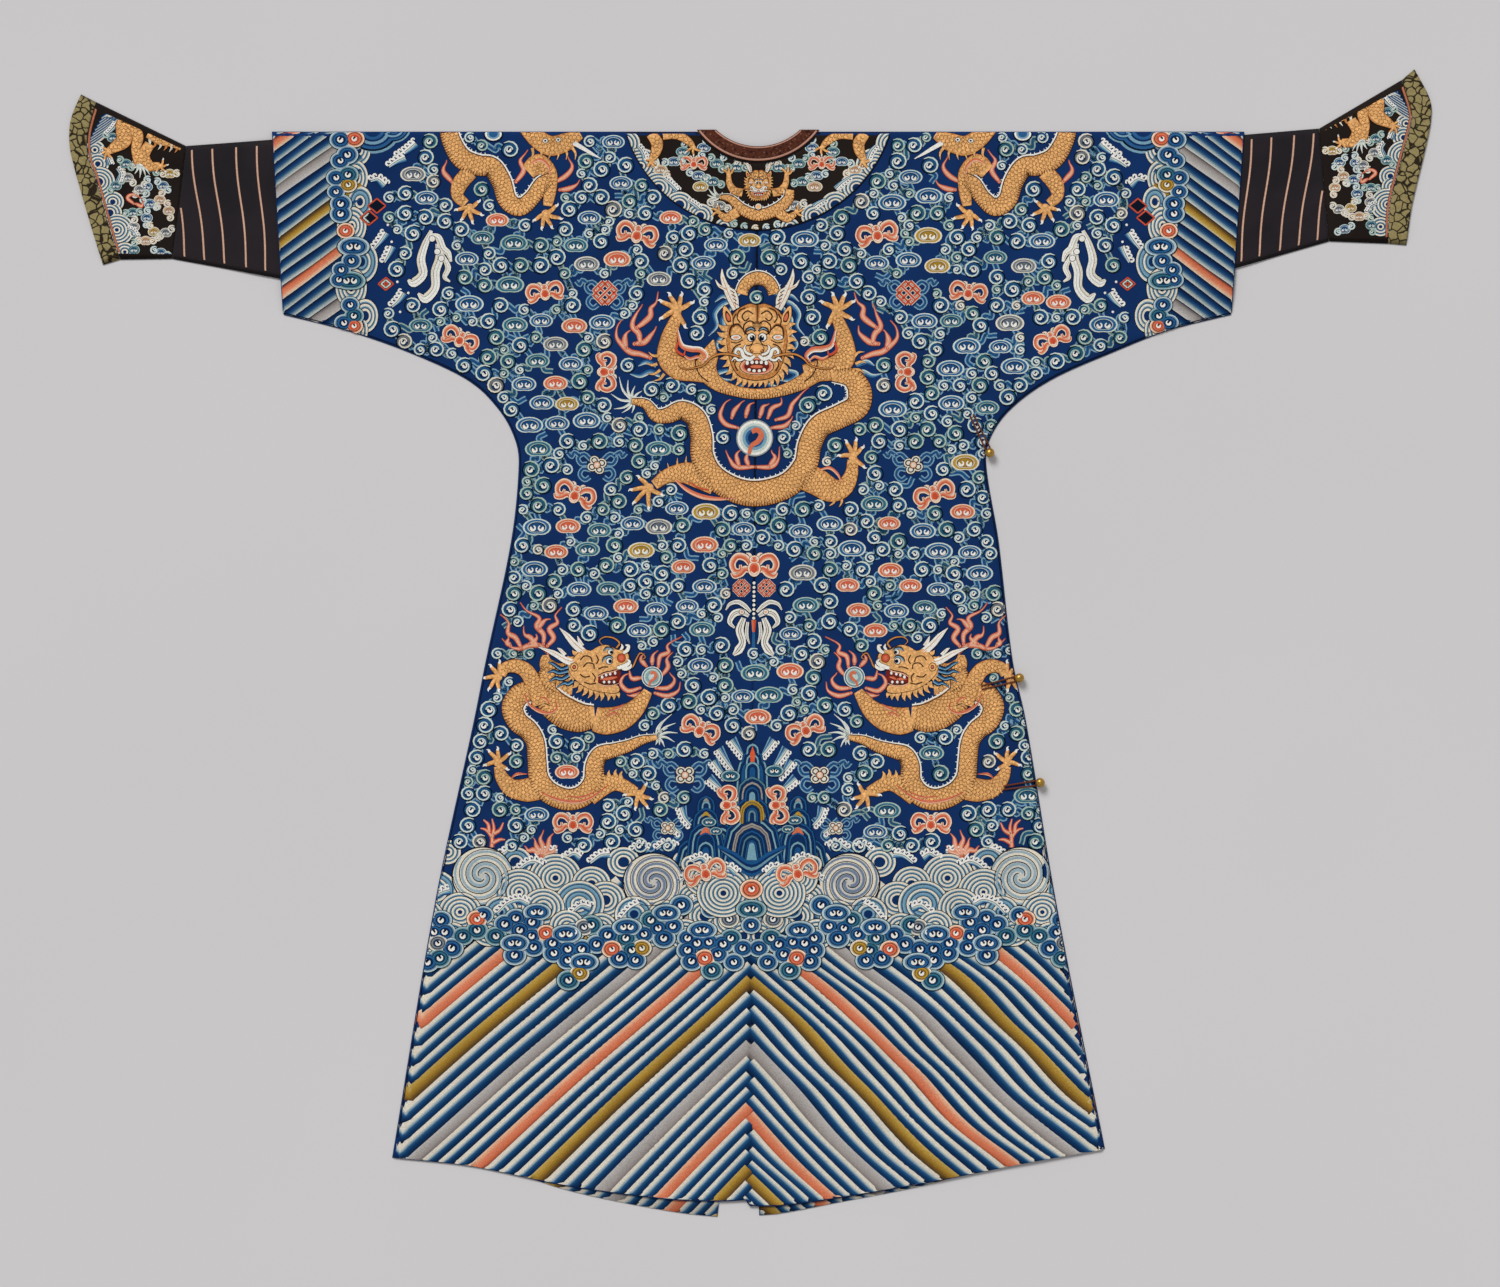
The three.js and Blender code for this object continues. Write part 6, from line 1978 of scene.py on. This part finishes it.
CUFF_CLOUDS = [
    (128, 178, "gray"), (147, 187, "blue"), (163, 186, "blue"), (160, 200, "tan"), (169, 211, "tan"),
    (150, 204, "blue"), (133, 213, "sage"), (147, 218, "blue"), (154, 232, "ochre"), (166, 233, "gray"),
    (146, 241, "tan"), (161, 253, "blue"), (134, 227, "gray"), (126, 164, "sage"), (113, 138, "sage"),
    (140, 190, "gray"), (170, 174, "ochre"), (152, 168, "sage"), (134, 250, "sage"), (140, 160, "tan"),
    (116, 186, "sage"),
]
CUFF_WAVES = [(95, 150, 11), (98, 164, 12), (99, 182, 17), (113, 202, 12), (110, 213, 13), (117, 230, 18),
              (125, 252, 11)]


def cuff_motifs(e, place):
    """Embroidery for one cuff, laid out for the left one in photograph px."""
    e.set(**place)
    for k in range(9):
        stripe(e, [(84 + 2.2 * k, 150 - 4 * k), (104 + 2.2 * k, 136 - 4 * k), (116 + 2.2 * k, 120 - 3 * k)],
               2.1, "blue", 0.2)
    for x, y, size in CUFF_WAVES:
        mound(e, x, y, size, (CREAM * 1.04,), 0.3 + 0.002 * (y - 140), 3.4)
    for path in ([(106, 134), (112, 128), (116, 122)], [(100, 150), (108, 156), (112, 164)],
                 [(118, 168), (122, 174), (120, 182)], [(128, 228), (134, 230), (138, 236)]):
        crest(e, path, -1, 0.8, 2, 0.6)
    for x, y, tint in CUFF_CLOUDS:
        cloud_head(e, x, y, 12, 10, tint, 0.5)
        turn = 1.7 * x
        for k in (-1, 1):
            curl(e, x + k * 7 * math.cos(turn), y + k * 7 * math.sin(turn), 8, tint, k, 0.45)
    for path in ([(134, 204), (128, 198), (134, 194), (142, 200)], [(136, 204), (142, 206), (144, 200)]):
        flame(e, path, 1.5, 0.8)
    e.set()


def cuff_beast(place):
    beast = Beast()
    beast.set(level=0.5, **place)
    beast.hide([(127, 114), (124, 126), (124, 140), (114, 148), (108, 152)], [5, 8, 8, 5, 3], 0.6)
    beast.paw((108, 152), [(103, 148), (102, 154), (105, 160), (112, 158)], 0.55, 0.7)
    beast.hide([(130, 122), (138, 136), (136, 150), (138, 164)], [6, 5.5, 4.5, 3.4], 0.6)
    beast.tuft((138, 164), [(135, 174), (140, 178), (146, 177), (150, 175)], 0.7)
    beast.hide([(150, 144), (144, 156), (150, 166), (160, 166)], [5, 6, 5, 3.4], 0.6)
    beast.paw((161, 166), [(163, 160), (167, 165), (165, 171), (157, 172)], 0.5, 0.7)
    beast.hide([(148, 134), (160, 140), (172, 142), (182, 147)], [4, 5, 5, 4], 0.6)
    for k in range(6):
        beast.spikes([((150 + 5.4 * k, 139 + 1.2 * k), (147 + 5.6 * k, 148 + k))], 0.7,
                     AMBER if k % 2 else CREAM)
    return beast


RIBS = [(0.32, 0.235), (0.52, 0.39), (0.75, 0.565), (0.947, 0.727), (1.11, 0.889)]


def sleeve_ribs(side, patch_name):
    """Pale ribs woven across the dark sleeve, each with painted shadow along one edge."""
    shape = SLEEVES[side]
    w = np.linspace(0.035, 0.965, 30)
    first, last = along(shape["inner"], w), along(shape["joint"], w)
    e = Embroidery()
    for top, foot in RIBS:
        s = top + (foot - top) * w + 0.012 * np.sin(w * 7)
        keep = s < 0.985
        spots = first * (1 - s[:, None]) + last * s[:, None]
        page = np.column_stack([spots[:, 0] / PX, PAGE_ROW - spots[:, 1] / PX])[keep]
        # Each rib's far edge (0.55 to 1) is painted shadow, and its pale face is painted darker towards that
        # edge; the near edge (-1 to -0.55) is a dark line beside the rib
        e.ribbon(page, 1.5,
                 [(-1, -0.55, srgb(92, 48, 36)), (-0.55, 0.55, srgb(222, 188, 166), srgb(206, 164, 140)),
                  (0.55, 1, srgb(70, 40, 34))], 0.25, 0.35, 1)
    e.stitch("sleeve_ribs_" + patch_name, patches["inner_sleeve_" + patch_name], STITCHES)


# The silks, and the pieces that are cut from each
SILKS = {
    "blue_silk": (GROUND_SILK, ("back_left", "back_right", "front_left", "front_overlap", "underlap")),
    "dark_silk": (YOKE_SILK, ("yoke_back", "cuff_left", "cuff_right")),
    "neckband_silk": (BAND_SILK, ("neckband_back", "neckband_front")),
    "sleeve_silk": (SLEEVE_SILK, ("inner_sleeve_left", "inner_sleeve_right")),
    "gold_brocade": (BORDER_SILK, ("cuff_border_left", "cuff_border_right")),
}
CLOTH_LOOKS = {name: look for look, names in SILKS.values() for name in names}


def put_cloth():
    """Every cloth piece as a thin shell in its solid's place."""
    made, patches, cuts = {}, {}, {}
    flat = {
        "back_left": back_panel(-1), "back_right": back_panel(1), "front_left": front_panel(-1),
        "front_overlap": front_panel(1), "underlap": underlap_panel(), "yoke_back": yoke_panel(),
        "neckband_back": neckband_panel(), "neckband_front": neckband_under(),
    }
    for name, grid in flat.items():
        made[name] = shell(name + "_cloth", *grid, CLOTH_LOOKS[name])
        sizes, area = unrolled(*grid[:3], wrap=False)
        cuts[name] = (sizes if "neckband" in name else [np.ptp(grid[0]) * 0.001, np.ptp(grid[1]) * 0.001],
                      area)
        patches[name] = Patch(*grid[:3])
    for side, word in ((-1, "left"), (1, "right")):
        shape = SLEEVES[side]
        seam = side * 0.345
        shift = lambda points: [(x + seam, y) for x, y in points]
        slope = lambda s: LAYER * (1 - smooth((s - 0.22) / 0.4))
        level = lambda s: 0 * s
        pieces = {
            "inner_sleeve_": (shape["inner"], shape["joint"], 40, slope, 0.35, 0.5),
            "cuff_": (shift(shape["joint"]), shape["trim"], 36, level, 0.7, 0.25),
            "cuff_border_": (shift(shape["trim"]), shape["end"], 10, level, 0.28, 0.05),
        }
        for stem, (start, end, stations, base, crown, soft) in pieces.items():
            faces = tube_panel(start, end, stations, base, crown, soft)
            name = stem + word
            made[name] = tube_shell(name + "_cloth", faces, CLOTH_LOOKS[name])
            cuts[name] = unrolled(*faces[0], wrap=True)
            patches[name] = Patch(*(face[:, :TUBE_COLUMNS] for face in faces[0]))
    return made, patches, cuts


cloth, patches, cuts = put_cloth()
for name, piece in cloth.items():
    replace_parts(piece, name)

rng = random.Random(11)
LEFT_STRIPES = [
    ("ochre", 625), ("gray", 680), ("coral", 739), ("ochre", 800), ("gray", 867),
    ("coral", 922), ("ochre", 978), ("gray", 1043), ("coral", 1107), ("ochre", 1170),
]
stripes_left = Embroidery()
hem_stripes(stripes_left, LEFT_STRIPES, 1230, 892)
stripes_left.stitch("hem_stripes_left", on_back, STITCHES)
stripes_right = Embroidery(flip=-1)
hem_stripes(stripes_right, [(tint, p + 5) for tint, p in LEFT_STRIPES], 1235, 892, bend=5.5)
stripes_right.stitch("hem_stripes_right", on_back, STITCHES)

binding = Embroidery()
for side in (-1, 1):
    u, v = half_outline(side, 1.1).T
    below_sleeve_end = slice(12, -25)
    u, v = side * u[below_sleeve_end] / PX, SHOULDER_ROW + v[below_sleeve_end] / PX
    binding.ribbon(np.column_stack([u, v]), 0.5, INK, 0.5, 0.1, 1)
    arcs = (NECKBAND["outer"] + 2, NECKBAND["outer_centre"]), (YOKE_RADIUS, YOKE_CENTRE)
    strip = [side * arc_width(radius, centre, 3.4) / PX for radius, centre in arcs]
    binding.ribbon([(a, SHOULDER_ROW + 3.4 / PX) for a in strip], 2.1, DARK, 0.3, 0, 1)
    # A thin ink line down the centre seam: partly the seam's own dark joint, partly painted shade in its
    # groove
    binding.ribbon([(side * 0.5, 152), (side * 0.5, 640)], 0.4, INK, 0.16, 0, 1)
binding.ribbon(arc_on_neck(NECKBAND["outer"] + 2.2, NECKBAND["outer_centre"], 1.0), 1.8, DARK, 0.4, 0, 1)
binding.stitch("edge_bindings", on_back, STITCHES)

waves = Embroidery()
wave_border(waves, rng)
waves.stitch("wave_border", on_back, STITCHES, mirror=True)


class Ground:
    """What the motifs already cover, on a fine chequer of the page."""

    cell, reach_a, reach_p = 1.5, 600, 1000
    clear_a, clear_p, clear_edge = 374, (133, 853), 2

    def __init__(self):
        columns = np.arange(-self.reach_a, self.reach_a, self.cell)
        a, p = np.meshgrid(columns, np.arange(0, self.reach_p, self.cell), indexing="ij")
        rows = np.arange(0, self.reach_p + 1, 10)
        edge = np.interp(p, rows, [outer_edge(-1, (row - SHOULDER_ROW) * PX) / PX for row in rows])
        collar = np.hypot(a, p - SHOULDER_ROW - YOKE_CENTRE / PX) < YOKE_RADIUS / PX + 1
        aside = np.abs(a) > np.minimum(edge - self.clear_edge, self.clear_a)
        self.taken = aside | (p > self.clear_p[1]) | (p < self.clear_p[0]) | collar

    def block(self, a, p, reach):
        """The cells about a spot, and which of them lie within reach of it."""
        i, j = int((a + self.reach_a - reach) / self.cell), int((p - 0.8 * reach) / self.cell)
        part = self.taken[max(i, 0) : i + int(2 * reach / self.cell) + 2,
                          max(j, 0) : j + int(1.6 * reach / self.cell) + 2]
        di, dj = np.ogrid[: part.shape[0], : part.shape[1]]
        away = np.hypot((i + di) * self.cell - self.reach_a - a, ((j + dj) * self.cell - p) / 0.8)
        return part, away <= reach

    def take(self, a, p, reach):
        part, near = self.block(a, p, reach)
        part |= near

    def cover(self, work, room, mirror=True):
        for a, p in np.unique((np.vstack(work.points)[:, :2] / 2).round(), axis=0) * 2:
            if abs(a) < self.reach_a - 10 and p < self.reach_p - 10:
                self.take(a, p, room)
                if mirror:
                    self.take(-a, p, room)

    def free(self, a, p, reach):
        part, near = self.block(a, p, reach)
        return not (part & near).any()

    def held(self, a, p):
        """True where a motif that was there before the clouds lies."""
        return self.motifs[int((a + self.reach_a) / self.cell), int(p / self.cell)]


ground = Ground()
for draw, name, mirrored in (
    (chest_dragon, "chest_dragon", False), (skirt_dragon, "skirt_dragons", True),
    (shoulder_dragon, "shoulder_dragons", True),
):
    beast = draw()
    beast.stitch(name, on_back, mirrored)
    for work in (beast.gold, beast.fine):
        ground.cover(work, 1.2, mirrored)

motifs = Embroidery()
scatter(motifs)
sleeve_ends(motifs, rng)
motifs.stitch("sleeve_ends_and_motifs", on_back, STITCHES, mirror=True)
ground.cover(motifs, 2)
middle_motifs = Embroidery()
mountain(middle_motifs)
twin_fish(middle_motifs)
middle_motifs.stitch("mountain_and_pendant", on_back, STITCHES)
ground.cover(middle_motifs, 1.5)
ground.motifs = ground.taken.copy()
clouds, curls = Embroidery(), Embroidery()
cloud_field(clouds, curls, ground, rng)
clouds.stitch("clouds", on_back, STITCHES)
curls.stitch("cloud_curls", on_back, STITCHES)


YOKE_LIFT, YOKE_TOP, YOKE_RIM = 1.45, 3, YOKE_RADIUS - 1.5
NECK_CLEAR = NECKBAND["outer"] + 3


def on_yoke(points):
    u, v = points[:, 0] * PX, (points[:, 1] - SHOULDER_ROW) * PX
    from_neck = np.hypot(u, v - NECKBAND["outer_centre"])
    from_centre = np.hypot(u, v - YOKE_CENTRE)
    outside = (v < YOKE_TOP) | (from_neck < NECK_CLEAR) | (from_centre > YOKE_RIM)
    v = np.maximum(v, YOKE_TOP)
    far = np.maximum(np.hypot(u, v - YOKE_CENTRE), 1e-6)
    pull = np.minimum(1, YOKE_RIM / far)
    u, v = u * pull, YOKE_CENTRE + (v - YOKE_CENTRE) * pull
    near = np.maximum(np.hypot(u, v - NECKBAND["outer_centre"]), 1e-6)
    push = np.maximum(1, NECK_CLEAR / near)
    u, v = u * push, NECKBAND["outer_centre"] + (v - NECKBAND["outer_centre"]) * push
    z = field(u, v) + YOKE_LIFT + np.where(outside, 0.08, points[:, 2])
    return np.column_stack([seam_x(v) + u, SHOULDER_Y - v, z]), outside


yoke = Embroidery()
yoke_motifs(yoke, rng)
yoke.stitch("yoke_motifs", on_yoke, STITCHES)
yoke_beast().stitch("yoke_dragon", on_yoke)

neck = Embroidery()
PIPING = [(-1, -0.6, UMBER), (-0.6, 0.6, srgb(206, 160, 140), srgb(176, 120, 100)), (0.6, 1, UMBER)]
for edge, inset, width in (("outer", -2.4, 1.5), ("inner", 1.8, 1.1)):
    line = arc_on_neck(NECKBAND[edge] + inset, NECKBAND[edge + "_centre"], -1.5)
    neck.ribbon(line, width, PIPING, 0.2, 0.3, 1)


BAND_LIFT = 1.6


def on_neck(points):
    u, v = points[:, 0] * PX, (points[:, 1] - SHOULDER_ROW) * PX
    z = band_low(u, v) + BAND_LIFT + points[:, 2]
    return np.column_stack([seam_x(v) + u, SHOULDER_Y - v, z]), np.zeros(len(u), bool)


neck.stitch("neckband_piping", on_neck, STITCHES)

# The left cuff's motifs lie where the photograph has them; the right cuff has the same ones, turned over
CUFF_PLACES = {-1: dict(origin=(PAGE_COLUMN, 0)), 1: dict(centre=(572.7, 173.3), origin=(180.3, 196), flip=-1,
        turn=-2.5)}
for side, word in ((-1, "left"), (1, "right")):
    sleeve_ribs(side, word)
    place = CUFF_PLACES[side]
    cuff = Embroidery()
    cuff_motifs(cuff, place)
    shape = SLEEVES[side]
    line = along(shape["trim"], np.linspace(0.03, 0.97, 40)) + [-side * 2.5, 0]
    cuff.ribbon(np.column_stack([line[:, 0] / PX, PAGE_ROW - line[:, 1] / PX]), 1.3,
                [(-1, 0, srgb(150, 84, 60), srgb(206, 132, 100)), (0, 1, srgb(206, 132, 100), UMBER)], 0.9,
                0.3, 1)
    cuff.stitch("cuff_motifs_" + word, patches["cuff_" + word], STITCHES)
    cuff_beast(place).stitch("cuff_dragon_" + word, patches["cuff_" + word])
    # The fronts' hem stripes show below the back's hem; shade=0.66 darkens them as painted shadow cast by the
    # back lying over them
    front = Embroidery(flip=-side)
    hem_stripes(front, [("ochre", 1000), ("gray", 1064), ("coral", 1130), ("ochre", 1190)], 1250, 1150,
                shade=0.66)
    front.stitch("front_hem_stripes_" + word, patches["front_left" if side < 0 else "front_overlap"],
                 STITCHES)

# Buttons and their loops

CORD = dict(radius=1.3, half_width=3.2, taper=0.9, lift=0.5, ease=2, low=2.8, twist=4.6)
PLY = dict(radius=0.72, offset=0.58, sides=8)
LOOP_RUNS = {"underarm": (-24, 50), "waist": (-50, -13), "hip": (-48, -7)}
BALL = dict(radius=6.2, neck=1.5, knot=2.8, knot_height=1.1, clearance=0.3, sides=48)
BALL_Z = CORD["low"] + CORD["radius"] + BALL["clearance"] + BALL["radius"]


def brass():
    """Worn brass with a shallow chased surface."""
    look = Look("button_brass")
    patina = look.noise(700, 3, 0.6)
    base = look.ramp(patina, [(0.35, srgb(150, 112, 48)), (0.65, srgb(214, 172, 88))])
    chased = look.node("TexVoronoi", Vector=look.where, Scale=900).outputs[0]
    return look.cloth(base, look.shine(patina, 0.28, 0.46), chased, 0.25, 0.0003, 0.0, 0.9)


def cord_silk():
    look = Look("loop_cord_silk")
    fibre = look.noise(1400, 3, 0.7)
    base = look.ramp(fibre, [(0.3, srgb(78, 40, 30)), (0.7, srgb(128, 72, 52))])
    return look.cloth(base, 0.62, fibre, 0.4, 0.0002)


def button_place(name):
    low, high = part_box("button_" + name)
    return 500 * (np.array(low[:2]) + np.array(high[:2]))


def loop_route(place, run):
    """Out along one leg, round the button's neck and back along the other leg."""
    length = math.hypot(*run)
    ahead = np.array(run) / length
    aside = np.array([-ahead[1], ahead[0]])
    legs, bend = np.linspace(0, 1, 10), np.linspace(np.pi / 2, -np.pi / 2, 7)[1:-1]
    half = CORD["half_width"]
    far, wide = half + (length - half) * legs, half - CORD["taper"] * legs
    distance = np.concatenate([far[::-1], -half * np.cos(bend), far])
    offset = np.concatenate([wide[::-1], half * np.sin(bend), -wide])
    spots = place + distance[:, None] * ahead + offset[:, None] * aside

    def over_cloth(p):
        v = SHOULDER_Y - p[:, 1]
        u = p[:, 0] - seam_x(v)
        lifted = back_low(u, v) + LAYER + CORD["radius"] + CORD["lift"]
        return np.where(u < outer_edge(1, v), lifted, CORD["low"])

    height = np.max([over_cloth(spots + shift * ahead) for shift in (-CORD["ease"], 0, CORD["ease"])], axis=0)
    return catmull(np.column_stack([spots, height]), 14)


def twisted_cord(name, route, material):
    """Two plies wound round each other along a route."""
    sides = PLY["sides"]
    reach = reach_along(route)
    ahead = unit(np.gradient(route, axis=0))
    aside = unit(np.cross([0, 0, 1], ahead))
    above = np.cross(ahead, aside)
    ring = np.linspace(0, 2 * np.pi, sides, endpoint=False)
    xyz, faces, n = [], [], len(route)
    for ply in (0, np.pi):
        wind = (2 * np.pi * reach / CORD["twist"] + ply)[:, None]
        middle = route + PLY["offset"] * (np.cos(wind) * aside + np.sin(wind) * above)
        round_it = np.cos(ring)[None, :, None] * aside[:, None] + np.sin(ring)[None, :, None] * above[:, None]
        start = sum(map(len, xyz))
        xyz.append((middle[:, None] + PLY["radius"] * round_it).reshape(-1, 3))
        at = start + np.arange(n * sides).reshape(n, sides)
        at = np.column_stack([at, at[:, :1]])
        faces.append(np.stack([at[:-1, :-1], at[:-1, 1:], at[1:, 1:], at[1:, :-1]], -1).reshape(-1, 4))
        for end in (at[0, :sides][::-1], at[-1, :sides]):
            faces.append(np.array([[end[0], end[k], end[k + 1], end[k + 2]] for k in range(1, sides - 2, 2)]))
    return closed_skin(name, np.vstack(xyz), np.vstack(faces), material)


def ball_button(name, place, material):
    """A ball on a short cord neck over a knot."""
    sides = BALL["sides"]
    angle = np.radians(np.linspace(-76, 89.5, 24))
    ball = np.column_stack([BALL["radius"] * np.cos(angle), BALL_Z + BALL["radius"] * np.sin(angle)])
    turn = np.linspace(0, np.pi / 2, 7)
    knot = np.column_stack([BALL["neck"] + (BALL["knot"] - BALL["neck"]) * np.cos(turn),
                            BALL["knot_height"] * np.sin(turn)])
    profile = np.vstack([[0.01, 0], knot, ball])
    ring = np.linspace(0, 2 * np.pi, sides, endpoint=False)
    xyz = np.column_stack([
        place[0] + np.outer(profile[:, 0], np.cos(ring)).ravel(),
        place[1] + np.outer(profile[:, 0], np.sin(ring)).ravel(),
        np.repeat(profile[:, 1], sides),
    ])
    at = np.arange(len(xyz)).reshape(-1, sides)
    at = np.column_stack([at, at[:, :1]])
    faces = np.stack([at[:-1, :-1], at[:-1, 1:], at[1:, 1:], at[1:, :-1]], -1).reshape(-1, 4)
    return closed_skin(name, xyz, faces, material)


brass_look, cord_look = brass(), cord_silk()
for name, run in LOOP_RUNS.items():
    place = button_place(name)
    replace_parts(twisted_cord("twisted_loop_" + name, loop_route(place, run), cord_look), "loop_" + name)
    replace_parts(ball_button("brass_ball_" + name, place, brass_look), "button_" + name)

# Each cloth piece's flat width, length and area

for name, piece in cloth.items():
    (width, length), area = cuts[name]

# Stage


FLOOR_REACH = 12
CAMERA = dict(lens=200, sensor=36, place=(0, -0.00066, 11.0))
SUN = dict(energy=2.2, spread=24, tilt=(-38, -22, 0))
SKY_GREY, SKY_STRENGTH = 0.8, 0.55


def stage_setting():
    floor_mesh = bpy.data.meshes.new("floor")
    corners = [(x * FLOOR_REACH, y * FLOOR_REACH, 0) for x, y in ((-1, -1), (1, -1), (1, 1), (-1, 1))]
    floor_mesh.from_pydata(corners, [], [(0, 1, 2, 3)])
    floor = bpy.data.objects.new("floor", floor_mesh)
    bpy.context.scene.collection.objects.link(floor)
    look = Look("floor_paper")
    tone = look.ramp(look.noise(1.2, 2), [(0.3, srgb(204, 201, 202)), (0.7, srgb(206, 204, 205))])
    floor_mesh.materials.append(look.cloth(tone, 0.9, sheen=0))
    sun = bpy.data.lights.new("soft_sun", "SUN")
    sun.energy, sun.angle = SUN["energy"], math.radians(SUN["spread"])
    lamp = bpy.data.objects.new("soft_sun", sun)
    lamp.rotation_euler = [math.radians(turn) for turn in SUN["tilt"]]
    bpy.context.scene.collection.objects.link(lamp)
    world = bpy.data.worlds.new("studio")
    bpy.context.scene.world = world
    world.use_nodes = True
    world.node_tree.nodes["Background"].inputs[0].default_value = rgba(grey(SKY_GREY))
    world.node_tree.nodes["Background"].inputs[1].default_value = SKY_STRENGTH
    camera = bpy.data.cameras.new("camera")
    camera.lens, camera.sensor_width = CAMERA["lens"], CAMERA["sensor"]
    seen = bpy.data.objects.new("camera", camera)
    bpy.context.scene.collection.objects.link(seen)
    seen.location = CAMERA["place"]
    bpy.context.scene.camera = seen
    bpy.context.scene.view_settings.view_transform = "Standard"


stage_setting()
